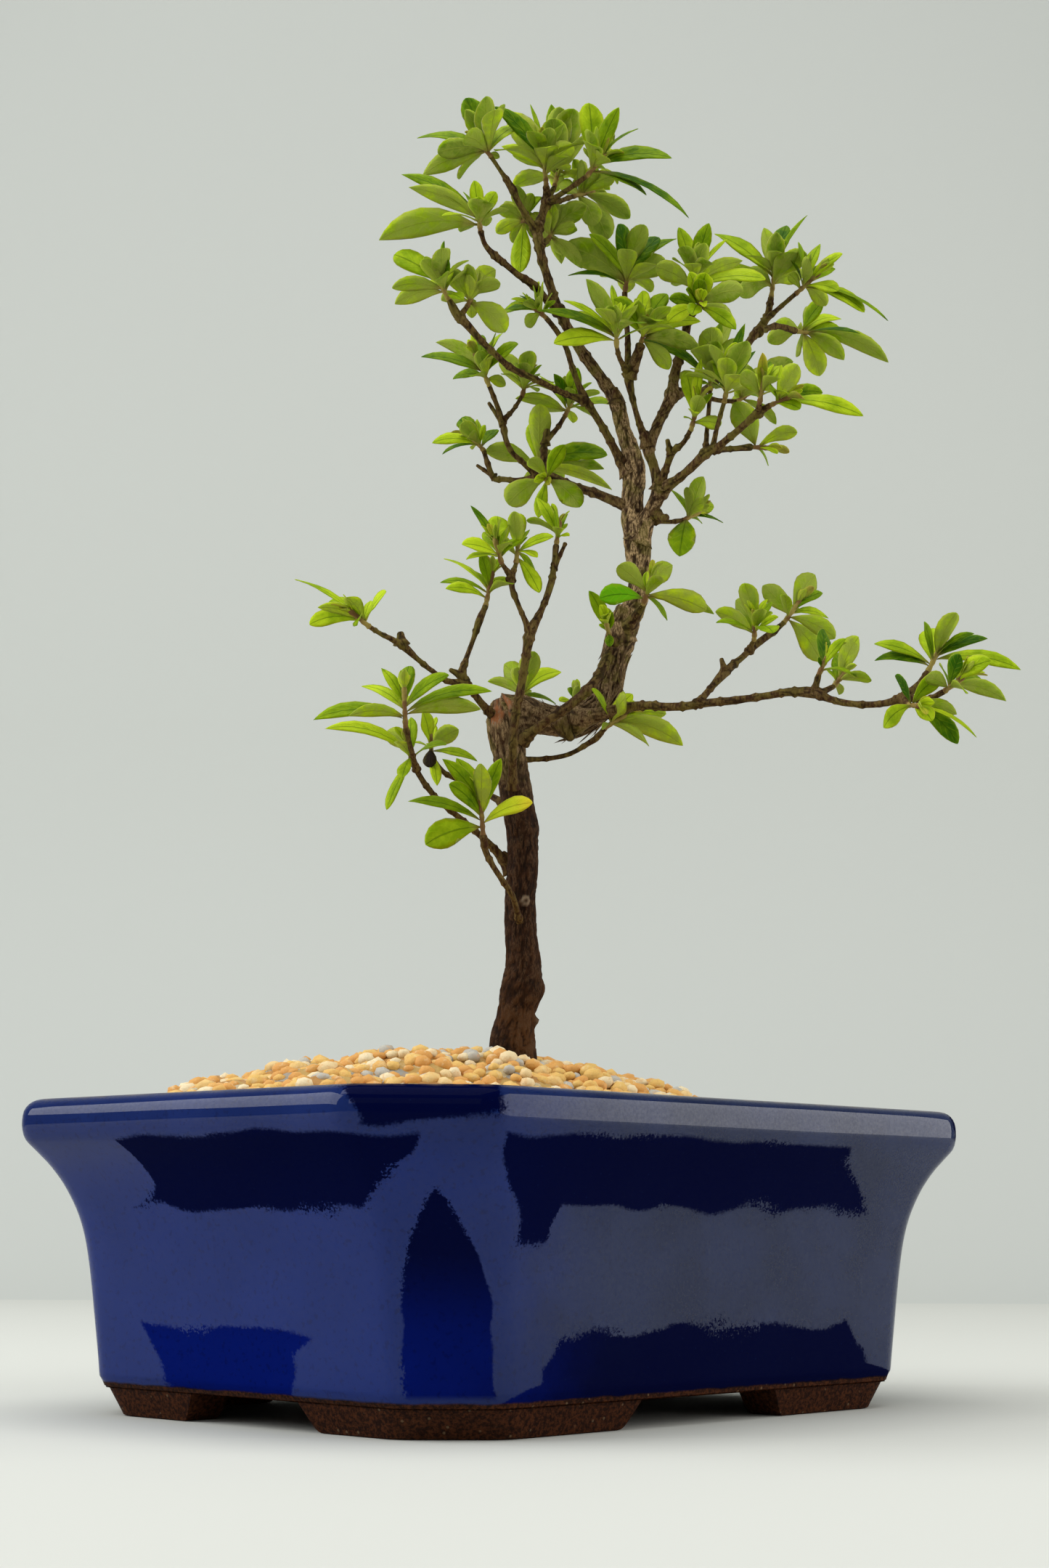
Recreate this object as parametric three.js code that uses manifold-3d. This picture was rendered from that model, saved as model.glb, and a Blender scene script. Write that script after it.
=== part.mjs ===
// Satsuki azalea bonsai, rooted in a glazed rectangular pot with cut corners.
// Millimetres, +Z up. The pot's long side runs along X and its short side along Y.

import * as THREE from 'three';
import { mergeVertices } from 'three/addons/utils/BufferGeometryUtils.js';
import Module from 'manifold-3d';

const wasm = await Module();
wasm.setup();

// Driving dimensions of the pot: half sizes along X and Y, and how much each corner is cut
const potHeight = 90;
const lipOutline = { x: 132.5, y: 95.5, cut: 28 };
const bodyOutline = { x: 106, y: 81.5, cut: 20 };
const footOutline = { x: 101.5, y: 77.5, cut: 21 };
const footHeight = 9.5;
const footWidth = 12;
const footGapAlongX = { table: 37, body: 27 };
const footGapAlongY = { table: 29, body: 19.5 };
const floorTop = 15.5;
const wallThickness = 8;
const lipThickness = 12;
const ridgeRounding = 3;
const drainHole = { x: 52, radius: 8, sides: 16 };
const screen = { size: 26, thickness: 1, hole: 8, rows: 2 };
const gap = 0.3;

// Outside of the wall: height, and the share of the flare from body to lip
const wallProfile = [
  [footHeight - 1.5, -0.06],
  [footHeight, 0],
  [20, 0.05],
  [43, 0.17],
  [55, 0.28],
  [64, 0.45],
  [71, 0.66],
  [76, 0.86],
  [79.5, 0.98],
  [83, 1],
  [87, 0.98],
  [potHeight, 0.87],
];

// Inside of the wall: height, and the thickness left between it and the outside
const insideProfile = [
  [potHeight, lipThickness - 2],
  [86, lipThickness],
  [76, lipThickness],
  [64, wallThickness + 1],
  [floorTop, wallThickness],
];

// Soil mound: an elliptical heap of gravel that falls to the rim
const mound = { x: -14, y: 14, halfX: 110, halfY: 80, low: 86.5, rise: 18 };
const grainPitch = 11;
const grainRise = 3;
const soilBottom = floorTop + screen.thickness + 2 * gap;

// The tree is laid out as it is seen from its front, on the upright plane through
// the pot's centre: across to the right, up from the table, and away from the viewer.
// A point further away is slid along the line of sight, so it keeps its place in the view.
const frontTurn = THREE.MathUtils.degToRad(47);
const across = new THREE.Vector3(Math.cos(frontTurn), -Math.sin(frontTurn), 0);
const away = new THREE.Vector3(Math.sin(frontTurn), Math.cos(frontTurn), 0);
const upward = new THREE.Vector3(0, 0, 1);
const viewer = new THREE.Vector3(-559.5, -528.7, 55.8);
const viewDistance = -viewer.dot(away);
const depthStretch = 1.55;

const bladeThickness = 0.9;
const bladeFold = 0.22;
const bladeArch = 0.22;
const bladeStations = [[0.48, 0.94], [0.82, 0.78]];
const narrowStations = [[0.55, 1]];
const narrowWidth = 4.05;
const stalkRadius = 0.35;
const leafClearance = 0.3;
const leafRootShift = 0.1;
const stemTipRadius = 0.9;
const leastStemRadius = 0.95;
const straightness = 0.6;
const thickTwig = 1.35;
const depthSteps = [0, 3, -3, 6, -6, 9, -9, 12, -12, 16, -16];
const swingSteps = [0, 20, -20, 40, -40, 65, -65];
const extraLeaves = 1;

const colours = {
  glaze: 0x2a3c86,
  mesh: 0x22262a,
  gravel: 0xd9a45a,
  bark: 0x5a4236,
  leaf: 0x7fa52c,
};

// Every woody shoot: points of [across, up, away, radius], and where it bears leaves,
// the end of its green stem and its leaves. A leaf is [tip across, tip up, width, turn]:
// turn 1 shows its upper face to the front, 0 its edge and -1 its underside.
const drawnShoots = [
  {
    name: 'trunk',
    sides: 9,
    points: [
      [2.8, 62, 0, 6.0], [2.4, 80, 0, 7.0], [2.2, 96, 0, 7.5], [2.0, 104, 0, 7.2], [1.7, 110, 0, 6.9],
      [2.6, 119, 0, 5.8], [4.2, 127, 0, 6.3], [4.9, 134, 0, 5.6], [4.1, 144, 0, 5.1], [4.0, 154, 0, 4.8],
      [4.7, 165, 0, 4.9], [4.4, 175, 0, 5.0], [3.6, 181, 0, 5.1], [2.1, 190, 0, 5.1], [0.2, 200, 0, 5.3],
      [-1.0, 208, 0, 5.8], [-1.8, 214, 0.5, 5.4], [-2.2, 218.5, 1, 3.8],
    ],
  },
  {
    name: 'elbow',
    sides: 7,
    points: [
      [-1, 212, 1, 4.6], [5, 214.3, 2, 4.3], [10, 213.4, 2, 4.0], [15, 212, 3, 4.3], [20, 211.4, 3, 4.7],
      [25, 213.5, 3, 4.7], [29.3, 217.3, 3, 4.5], [31.8, 223, 3, 4.2], [33.3, 230, 3, 4.1], [35, 237, 3, 4.7],
      [37.5, 244, 3, 4.3], [40.6, 251, 3, 3.7], [41.8, 259, 3, 3.6], [41.3, 266, 3, 4.0], [41, 272, 3, 4.4],
      [39.8, 279, 4, 3.8], [39.6, 285, 4, 3.5], [40.1, 291, 4, 3.6], [39.6, 297, 4, 3.7], [38.6, 302, 4, 3.0],
      [37, 307, 4, 2.5], [35.7, 312.5, 4, 2.5], [34.3, 318, 3, 2.6], [30.5, 324, 2, 1.9], [25.5, 331, 0, 1.8],
      [21, 338, -2, 1.7], [17.3, 345, -4, 1.6], [14.5, 352, -5, 1.5], [12.2, 359, -6, 1.4], [10.2, 366, -7, 1.4],
      [9, 372, -8, 1.6], [8.5, 378, -8, 1.7],
    ],
  },
  { name: 'elbow_knob', points: [[16.5, 211, 1, 2.4], [19.5, 206.8, 0, 1.6]] },
  { name: 'pruned_stub', sides: 7, points: [[35.6, 238, 3, 3.2], [35.7, 243, 2, 3.2], [36.2, 248, 1, 2.5]] },
  { name: 'leader_stub', points: [[34.4, 317, 2, 1.8], [34.2, 322, 1, 0.7]] },
  {
    name: 'crown_left',
    points: [[8.6, 376, -8, 1.3], [5, 381, -10, 1.1], [2, 386.5, -12, 1.0], [0, 391, -14, 1.3], [-3.4, 396.5, -15, 0.7],
      [-6.6, 401.5, -16, 0.7]],
    stem: [-9.8, 405.8, -16],
    leaves: [[-15.5, 422.5, 7, 0.8], [-31.5, 408.2, 5.5, 0.4], [-24.5, 403, 6, -0.6], [-29.5, 395, 6, -0.8],
      [2.5, 413, 5, 0.5], [-4, 401.5, 4.5, -0.6]],
  },
  {
    name: 'crown_mid',
    points: [[8.6, 377, -8, 1.4], [10.3, 382, -7, 1.3], [11.6, 387, -6, 1.6], [11.4, 392, -9, 0.8]],
    stem: [10.4, 404, -11],
    leaves: [[-6, 419.5, 6, 0.6], [-2, 417, 8, -0.7], [-3.5, 405.5, 4.8, 0.7], [20.5, 406, 8.5, -0.9]],
  },
  {
    name: 'crown_mid_back',
    points: [[11.6, 386.5, -6, 1.2], [14, 391, -2, 0.8]],
    stem: [16, 400.5, 2],
    leaves: [[13, 420.5, 5, 0.9], [24, 418.5, 6, 0.7], [27, 411.5, 3.5, -0.5], [21, 407, 6, 0.5]],
  },
  {
    name: 'crown_right',
    points: [[11.4, 385.5, -6, 1.3], [15, 388, -9, 0.9], [20, 391.5, -12, 0.8], [24.5, 395, -14, 0.8]],
    stem: [29.5, 401, -15],
    leaves: [[25.5, 421, 8, 0.7], [35.5, 419.5, 5, 0.8], [31, 413.5, 10, -0.95], [53, 401.5, 6.5, 0.6],
      [58.5, 380.5, 5, 0.35], [44.5, 388.5, 5, 0.35]],
  },
  {
    name: 'crown_right_low',
    points: [[13, 386.5, -8, 0.9], [16, 386.5, -4, 0.8], [20, 388, 0, 0.8]],
    stem: [26, 389.5, 3],
    leaves: [[39, 380.5, 6, -0.4], [31.5, 373, 9, -0.9], [27.5, 378, 8, -0.8]],
  },
  {
    name: 'leader_right_low',
    points: [[9.2, 370, -8, 1.1], [12, 373, -3, 0.8]],
    stem: [14, 376.5, 0],
    leaves: [[24.8, 384.8, 7, -0.7], [21, 377.5, 6, -0.7], [17, 367.5, 4.5, -0.4], [23.3, 363, 4.5, -0.5]],
  },
  {
    name: 'leader_left_low',
    points: [[8, 377, -8, 1.0], [5, 379.5, -4, 0.7]],
    stem: [3.2, 379.4, -2],
    leaves: [[-4.6, 383.5, 4.5, -0.5], [9, 388, 5, 0.6], [3, 361.5, 6.5, 0.7]],
  },
  {
    name: 'crown_far_left',
    points: [[15.5, 348.5, -5, 1.4], [11.5, 352.5, -9, 1.2], [7, 357.5, -12, 1.4], [2, 361, -15, 1.0], [-2, 364.5, -17, 1.0],
      [-5, 367, -19, 1.2], [-8.5, 371, -20, 0.8], [-10, 375.5, -21, 0.8]],
    stem: [-11, 383, -21],
    leaves: [[-36.5, 395.5, 5.5, 0.45], [-34, 391, 5, -0.5], [-12.5, 393.5, 4.5, 0.7], [-5, 389.5, 6, 0.7],
      [-43.5, 372.5, 8, -0.7]],
  },
  {
    name: 'left_lead',
    points: [[38.5, 293.5, 4, 2.2], [35.3, 298.5, 3, 1.5], [31.5, 306, 1, 1.3], [27.5, 313, -1, 1.2], [24, 319, -3, 1.3],
      [21.8, 324, -4, 1.0], [19.8, 330, -5, 0.9], [18, 336, -6, 0.9], [15, 341.5, -9, 0.9], [11.5, 346, -11, 0.8]],
    stem: [7.5, 349.5, -12],
    leaves: [[-1.5, 348.8, 4.5, 0.5], [3, 353.5, 4.5, 0.4], [5, 343, 4.5, -0.5], [14.5, 352, 4, 0.4]],
  },
  {
    name: 'long_left',
    points: [[24, 318, -3, 1.3], [18, 320, -6, 1.0], [12, 323, -9, 1.0], [6, 326, -12, 1.0], [0, 329, -15, 1.0],
      [-5, 333.5, -18, 1.0], [-10, 338.5, -20, 1.1], [-14, 343.3, -22, 1.3], [-17.5, 347, -23, 1.5],
      [-20, 351.5, -24, 1.0]],
    stem: [-24.5, 360, -25],
    leaves: [[-38.5, 367.5, 7.5, 0.85], [-39, 356, 4.5, -0.4], [-38, 350.5, 5, -0.7], [-15.8, 352, 7, 0.6],
      [-20.5, 366, 5, 0.5]],
  },
  {
    name: 'long_left_inner',
    points: [[-16.8, 346, -23, 1.1], [-14.5, 349.5, -20, 0.8]],
    stem: [-11.5, 355.5, -18],
    leaves: [[-5, 362.5, 6.5, -0.6], [-5, 357.5, 4, 0.3], [-1.8, 341, 7.5, -0.6], [-14, 364.5, 5.5, -0.5],
      [-21, 362.5, 6.5, -0.6]],
  },
  {
    name: 'low_left',
    points: [[40, 281.5, 4, 2.0], [34, 284, 4, 1.6], [28, 286.5, 5, 1.5], [22, 288.5, 7, 1.4], [16, 291, 9, 1.4],
      [11.5, 292.7, 11, 1.6], [8, 292, 12, 1.2], [3, 291, 14, 0.9], [-2, 291.3, 16, 0.9], [-5.3, 291.8, 17, 1.0],
      [-7.2, 296.5, 17, 0.8], [-8.4, 300.5, 17, 0.8]],
    stem: [-11.5, 304.3, 17],
    leaves: [[-25.3, 303.3, 4.5, 0.6], [-16.5, 311.3, 5.5, 0.8], [-4, 308, 4, 0.7]],
  },
  { name: 'low_left_stub', points: [[-5, 292, 17, 0.8], [-10.5, 295.8, 18, 0.6]] },
  {
    name: 'low_left_riser',
    points: [[10.2, 292.5, 11, 1.4], [10.9, 298, 12, 1.2], [11.3, 303.5, 13, 1.1], [15.2, 308.5, 14, 0.8],
      [17.6, 312.5, 15, 0.7]],
    stem: [20, 317.8, 16],
    leaves: [[9, 326.5, 4, 0.4], [22, 329, 6, 0.4], [1.5, 318.5, 4, -0.5], [32.5, 316.5, 5, 0.4],
      [14, 327, 3.5, 0.8]],
  },
  { name: 'low_left_riser_stub', points: [[11.3, 303, 13, 1.1], [12, 307.5, 13, 1.0]] },
  {
    name: 'low_left_fork',
    points: [[8.5, 293, 12, 1.2], [4, 297, 10, 0.9], [0.5, 300.5, 9, 0.9], [-1.5, 305, 8, 0.9], [-2.4, 310, 8, 1.0],
      [-4.5, 316.5, 7, 0.8], [-6.8, 322.5, 6, 0.8]],
    stem: [-11, 332.3, 4],
    leaves: [[-29.3, 332.5, 5.5, 0.5], [-24.5, 337.5, 4.5, -0.4], [-18.8, 325, 4.8, 0.6],
      [-1.6, 322.8, 4, -0.6], [-13, 340.5, 3.5, 0.4], [2.5, 337, 5.5, 0.5]],
  },
  { name: 'low_left_fork_stub', points: [[-2.3, 309.5, 8, 0.8], [-6.9, 316.8, 9, 0.6]] },
  {
    name: 'low_left_fork_right',
    points: [[-2.4, 311, 8, 0.9], [1, 314.8, 10, 0.7], [3.6, 319, 12, 0.7]],
    stem: [5, 324.5, 12],
    leaves: [[6.3, 334.8, 6.5, -0.7], [-3.5, 333.5, 6, -0.7]],
  },
  {
    name: 'low_left_bunch',
    points: [[8.5, 292.6, 12, 1.0], [8.4, 294.5, 15, 0.8]],
    stem: [9.8, 297, 19],
    leaves: [[7, 310, 6, 0.7], [-8, 300.5, 6, -0.5], [31.5, 299.5, 8.5, 0.6], [30.5, 294.8, 4.5, -0.6],
      [33, 287.8, 4, -0.4]],
  },
  {
    name: 'low_left_hanging',
    points: [[12.5, 291.6, 10, 1.0], [12.2, 291.5, 7, 0.7]],
    stem: [11.8, 291.3, 4.5],
    leaves: [[-0.5, 282.8, 9.5, -0.9], [22.5, 282, 9, -0.9], [6, 298, 5, -0.4]],
  },
  {
    name: 'second_stem',
    sides: 6,
    points: [[41, 270, 3, 3.0], [43.8, 277.5, 2, 2.6], [46.4, 283, 1, 2.3], [48.2, 288.5, 0, 2.4], [46.3, 296, -1, 1.5],
      [44.8, 301.5, -2, 1.9], [47.2, 308.5, -1, 1.7], [49.8, 314, 0, 1.7], [52.3, 319.5, 0, 2.0], [53.2, 326, 0, 1.6],
      [55, 333, -1, 1.5], [57, 341, -2, 1.4], [58.3, 348, -3, 1.3], [59.2, 353.5, -4, 1.2]],
    stem: [60.7, 363, -5],
    leaves: [[60, 373.2, 10.5, -0.95], [55, 377.5, 6, 0.6], [65, 379, 6, 0.6], [47.3, 363.5, 8.5, -0.7],
      [83.5, 359.5, 7, 0.4], [76, 366, 5, -0.5]],
  },
  {
    name: 'second_stem_low',
    points: [[58, 346, -3, 1.2], [61, 349, -8, 0.7]],
    stem: [62, 351, -12],
    leaves: [[76, 355.5, 8.5, -0.9], [57.2, 356, 5, 0.6], [72, 345.5, 6, -0.7]],
  },
  { name: 'knot', points: [[48.3, 288, 0, 2.2], [48.6, 292.7, -1, 1.0]] },
  {
    name: 'mid_lead',
    points: [[44.6, 302.5, -2, 1.6], [41.6, 311, -4, 1.0], [39.8, 318, -6, 0.9], [38.5, 325, -7, 1.5], [38.2, 332, -6, 1.1],
      [38.1, 340, -4, 0.9], [37.4, 348, -2, 0.9], [37.2, 354.5, -1, 0.9]],
    stem: [39, 365.5, 0],
    leaves: [[17, 370.8, 9, -0.6], [25.5, 375, 6, 0.5], [18.5, 360.5, 3.5, 0.2], [35, 378.5, 8, 0.6],
      [48.5, 374, 8.5, 0.6], [51, 365.5, 9, -0.95], [54.5, 373.5, 4, 0.6]],
  },
  { name: 'mid_stub', points: [[44.5, 303, -2, 1.7], [43.6, 306.5, -3, 1.5]] },
  {
    name: 'mid_dark',
    points: [[38.6, 326, -7, 1.6], [40.6, 331.5, -9, 1.7], [42.2, 336.5, -10, 1.3]],
    stem: [43.8, 342.8, -11],
    leaves: [[33.6, 352.5, 6.5, 0.8], [43, 355.5, 5.5, 0.6], [51, 354.5, 6, 0.6], [61.5, 335.5, 5.5, -0.5],
      [41, 330.3, 6, -0.6], [51.5, 328.5, 5, -0.7], [58.5, 340, 4.5, 0.4], [52.5, 348, 4.5, -0.5]],
  },
  {
    name: 'mid_yellow',
    points: [[38.3, 327, -7, 1.2], [35.6, 332, -13, 0.8], [34.6, 336, -16, 0.7]],
    stem: [34.4, 343.5, -18],
    leaves: [[8.5, 348.5, 5, 0.5], [14, 337.2, 6.5, 0.7], [18.5, 347.3, 6, 0.6], [17, 352, 3.5, 0.3],
      [24.5, 359.5, 5.5, -0.5]],
  },
  {
    name: 'back_right',
    points: [[52.4, 319.8, 0, 1.7], [56.5, 321, 4, 1.5], [61, 320.5, 8, 1.4], [66, 324, 11, 1.3], [73, 331.5, 13, 1.3],
      [79, 340, 14, 1.3], [83.6, 346.8, 14, 1.2], [85, 353, 13, 1.0]],
    stem: [87, 367, 12],
    leaves: [[66.5, 375.3, 7.5, 0.5], [90.5, 378.3, 6, 0.6], [83, 377.5, 5, -0.5], [97, 368.5, 8, -0.8],
      [96, 361, 6, -0.6], [76.5, 362.5, 5, -0.6]],
  },
  {
    name: 'back_right_low',
    points: [[60.5, 320.3, 8, 1.0], [67, 318.3, 10, 0.8], [73, 317.8, 11, 0.8]],
    stem: [78, 321, 12],
    leaves: [[76, 331, 8.5, -0.8], [92, 331.5, 7, -0.8], [84.5, 328, 6, -0.7], [69.5, 327.5, 4.5, 0.5]],
  },
  {
    name: 'far_fork',
    points: [[82.5, 345, 14, 1.0], [88.5, 350.5, 11, 0.8], [93, 354.5, 9, 0.7]],
    stem: [99.5, 360.5, 7],
    leaves: [[101.5, 372, 4.5, 0.4], [108.8, 368.5, 4.5, 0.6], [91, 361.5, 8, -0.8],
      [115.5, 348.3, 6.5, 0.4]],
  },
  {
    name: 'far_right',
    points: [[80.5, 341.5, 14, 1.2], [86.5, 343.5, 20, 1.0], [92.5, 342, 25, 1.2]],
    stem: [98.5, 341, 27],
    leaves: [[123, 331.2, 5.5, -0.6], [108, 346, 5, 0.5], [108.5, 332, 5.5, -0.8], [100.5, 326.5, 7, -0.8],
      [84, 337.8, 6, -0.6], [102, 352, 7, 0.5], [86, 344.3, 4.5, -0.6]],
  },
  {
    name: 'small_riser',
    points: [[48.6, 290, -1, 1.4], [50.7, 296, -3, 1.1], [52.4, 300.6, -4, 1.3], [56, 303.8, -6, 0.8], [58.4, 308, -8, 0.8]],
    stem: [60.5, 316, -10],
    leaves: [[57, 328, 5.5, 0.6], [62, 332.5, 3.5, 0.5], [68.3, 309.8, 4.8, -0.7]],
  },
  { name: 'small_riser_stub', points: [[52, 300, -4, 1.0], [50.9, 304.5, -5, 0.7]] },
  {
    name: 'right_arm',
    points: [[48.6, 288, 0, 2.0], [54, 291.5, -4, 1.5], [59, 296, -7, 1.4], [63.5, 300.6, -10, 1.6], [67, 302.3, -12, 1.3],
      [72, 306.5, -15, 1.1], [76.5, 310.5, -17, 1.1], [80.3, 314, -19, 1.3], [84, 316.4, -21, 0.9]],
    stem: [89, 318.6, -23],
    leaves: [[114.5, 313, 5.5, 0.6], [94, 315.3, 4, 0.6], [92.5, 324.3, 4.5, 0.6], [93.5, 330.5, 6, -0.8]],
  },
  {
    name: 'right_arm_upper',
    points: [[80.3, 313.6, -19, 1.1], [80.8, 317, -22, 0.8]],
    stem: [82, 323.5, -24],
    leaves: [[84.5, 331.5, 4, 0.7], [75, 327.5, 7.5, -0.8], [82, 334.5, 3.5, 0.7], [88, 330, 4, 0.6]],
  },
  {
    name: 'right_arm_first',
    points: [[63.2, 300.4, -10, 1.0], [63.7, 308, -7, 0.7], [64.4, 316, -5, 0.7], [64.8, 321, -4, 0.7]],
    stem: [65.2, 330, -4],
    leaves: [[42, 338.7, 5, 0.4], [59.3, 338.7, 5, 0.45], [68.5, 344.8, 4.5, 0.6], [73, 346, 4.5, -0.5],
      [61.3, 324, 3.5, 0.5]],
  },
  {
    name: 'right_arm_second',
    points: [[65.3, 301.3, -11, 1.0], [67, 309, -12, 0.7], [69.2, 317, -13, 0.7]],
    stem: [71.5, 327.5, -14],
    leaves: [[73.5, 338, 5, 0.8], [79.8, 335, 3.5, 0.6], [76.5, 344.5, 3.5, 0.6], [66, 333.5, 4.5, 0.5]],
  },
  {
    name: 'right_arm_stub',
    points: [[66, 301.6, -11, 1.1], [72, 301.8, -9, 0.9], [77.6, 302.4, -8, 1.2]],
    stem: [82.5, 302.2, -7],
    leaves: [[72.5, 317.5, 10, -0.8], [93, 307.5, 4.5, -0.5]],
  },
  { name: 'twin_stub', points: [[46.8, 279.8, 1, 1.4], [50, 278.6, -2, 1.1]] },
  {
    name: 'twin_twig',
    points: [[47, 277.8, 1, 1.0], [51.5, 277.3, 3, 0.7], [55.5, 277.9, 4, 0.7]],
    stem: [59.5, 279.8, 5],
    leaves: [[54.5, 265.8, 8.5, 0.75], [62.5, 292.5, 5.5, -0.6], [65.8, 282.3, 4.5, -0.6]],
  },
  {
    name: 'front_stem',
    points: [[1.4, 190, -3.5, 1.4], [1.3, 199, -6.6, 1.3], [1.6, 208, -8.5, 1.3], [2.6, 216, -9.5, 1.3], [4, 224, -10, 1.3],
      [5.3, 232, -11, 1.3], [6.8, 240.5, -12, 1.7], [10.5, 248.5, -12, 1.0], [13.2, 256.2, -11, 1.1], [14.3, 263, -10, 0.9],
      [14.9, 269, -10, 1.0]],
    stem: [15.8, 275.5, -10],
    leaves: [[8.6, 285.3, 4.5, 0.6]],
  },
  { name: 'front_stem_stub', points: [[14.2, 261.5, -10, 0.8], [17.8, 269.8, -8, 0.6]] },
  {
    name: 'front_stem_left',
    points: [[6.9, 240, -12, 1.2], [4, 247, -13, 0.8], [1.2, 254, -14, 0.9], [0.2, 259, -14, 1.0], [-2.3, 263, -15, 0.7]],
    stem: [-4.3, 269.5, -16],
    leaves: [[-12.7, 282.5, 3.5, 0.3], [-4, 279, 6.5, 0.85], [-15.4, 269.5, 5, 0.6],
      [4.5, 271.5, 3.5, 0.5]],
  },
  {
    name: 'front_stem_right',
    points: [[0.4, 257.8, -14, 1.0], [2, 263, -12, 0.7]],
    stem: [2.8, 271.5, -11],
    leaves: [[2.5, 280, 5, 0.85], [14.2, 272.2, 4, 0.5], [9.6, 253.6, 4.5, 0.75]],
  },
  {
    name: 'left_arm',
    points: [[-4, 212.5, 0, 1.6], [-8.5, 217.3, -4, 1.2], [-12, 222, -8, 1.1], [-14.8, 226.5, -11, 1.5], [-13.6, 232, -11, 0.8],
      [-11.2, 239, -11, 0.8], [-9.5, 244.5, -11, 1.2], [-7.7, 249, -11, 0.8]],
    stem: [-5.8, 258.5, -11],
    leaves: [[-20.5, 254.8, 4, 0.5], [-9.5, 266.8, 4, 0.6], [-0.5, 258.5, 4, 0.5], [-5, 265, 3.5, 0.5]],
  },
  { name: 'left_arm_stub', points: [[-14.8, 226.3, -11, 1.2], [-18.5, 228.2, -12, 0.7]] },
  {
    name: 'far_left_arm',
    points: [[-13.8, 224.3, -10, 1.2], [-19.5, 224.6, -14, 0.9], [-24, 227.6, -18, 0.8], [-29, 231.6, -22, 0.8],
      [-33.5, 235.8, -25, 1.2], [-37, 238, -28, 0.9], [-41, 240, -31, 0.7], [-44.5, 242.2, -34, 0.7]],
    stem: [-49.5, 246.3, -36],
    leaves: [[-69, 257.8, 3.2, 0.2], [-63.8, 242.8, 5, 0.75], [-61.3, 248.5, 3.5, -0.4],
      [-52, 252, 5, -0.5]],
  },
  { name: 'far_left_stub', points: [[-34.2, 236.5, -25, 1.3], [-34.6, 239.8, -25, 1.1]] },
  {
    name: 'lower_left',
    points: [[1, 164, 2, 1.8], [-5, 171.5, 0, 1.2], [-11, 177, -3, 1.0], [-17, 182, -6, 0.9], [-22.3, 186.5, -9, 0.9],
      [-26.4, 191.5, -12, 0.9], [-30, 197.5, -15, 0.9]],
    stem: [-32, 203.5, -17],
    leaves: [[-38.3, 183, 4, 0.4], [-33.5, 193.2, 4, 0.6], [-38.5, 208.5, 5.5, -0.7],
      [-58.3, 209, 4.5, 0.5]],
  },
  {
    name: 'lower_left_top',
    points: [[-29, 196, -15, 0.9], [-31, 203, -20, 0.8], [-32.6, 209.5, -22, 0.8]],
    stem: [-33.2, 220.5, -23],
    leaves: [[-32, 229.5, 5, 0.9], [-40.7, 228.8, 3.5, 0.6], [-47, 222.8, 4, 0.5], [-19, 226.5, 5, 0.6],
      [-5.3, 221.3, 4.5, 0.5], [-62, 211.8, 5.5, 0.6], [-8.8, 215.5, 5, -0.5], [-51, 213, 4, -0.5]],
  },
  {
    name: 'dry_bud_twig',
    points: [[1, 184, 2, 1.4], [-8, 189, 8, 0.9], [-14, 192, 8, 0.8], [-20, 194.8, 6, 0.8], [-23.7, 199, 5, 0.8]],
    stem: [-24.8, 206, 4],
    leaves: [[-27.5, 215, 5, 0.5], [-15.8, 209, 6, -0.6], [-9.8, 198.7, 4, 0.4], [-22.5, 190.8, 3.5, 0.6]],
  },
  {
    name: 'trunk_twig',
    points: [[4, 148, -3.5, 1.2], [1.8, 155, -6.5, 0.9], [-1.2, 160, -8.5, 0.9], [-4.5, 165, -10, 0.9], [-7, 170, -11, 1.0],
      [-7.8, 174.5, -12, 1.2]],
    stem: [-8.8, 188.5, -14],
    leaves: [[-21, 199.5, 4.5, 0.7], [-16.5, 199.8, 6, 0.6], [-2.3, 199.8, 4.5, 0.8], [-8.5, 198, 6, -0.5],
      [-31.7, 185.8, 4.5, 0.5], [7.7, 185.5, 5.5, 0.5], [-18.8, 191.3, 5, 0.7], [-26, 172, 9, 0.9]],
  },
  { name: 'lower_left_stub', points: [[1, 167, 2, 1.4], [-1.3, 169.5, 1, 0.7]] },
  {
    name: 'behind_elbow',
    points: [[5, 213.5, 4, 1.2], [4.5, 218.8, 7, 0.8]],
    stem: [4.4, 221.8, 8],
    leaves: [[-1.6, 230.3, 7, -0.6], [-6.8, 224.5, 3.5, -0.4], [16.6, 227.8, 5.5, 0.6]],
  },
  {
    name: 'behind_elbow_low',
    points: [[19, 213.5, 5, 1.1], [20.5, 217.3, 8, 0.7]],
    stem: [21, 219, 9],
    leaves: [[16, 218.3, 4, 0.4], [19.3, 222.8, 4, 0.5], [27, 219.5, 4.5, 0.5]],
  },
  {
    name: 'brace',
    points: [[4.5, 205.5, -2, 1.6], [10, 210.3, -5.5, 1.4], [15, 213.8, -6, 1.5], [20, 217.5, -6, 1.5], [25, 222, -4.5, 1.6],
      [28.5, 226.5, -2.5, 1.6], [31, 231.5, 0, 1.7], [33, 236.5, 2, 1.5]],
  },
  {
    name: 'under_twig',
    points: [[3.5, 199.3, 1, 1.0], [11, 199.6, 2, 0.8], [17, 200.5, 1, 0.75], [21, 202, 0, 0.8], [25, 204.5, -1, 0.9],
      [27.6, 206.2, -1.5, 1.1], [30.4, 209.5, -3, 0.8]],
    stem: [35.5, 213, -5],
    leaves: [[39.3, 220.7, 5.5, 0.6], [50, 214.2, 6, -0.6], [55.2, 204, 6.5, -0.6]],
  },
  {
    name: 'mid_trunk_shoot',
    points: [[38, 242.5, 1, 2.0], [40.5, 246, -3, 1.6], [42.5, 249.5, -6, 1.1]],
    stem: [45, 257, -8],
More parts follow.
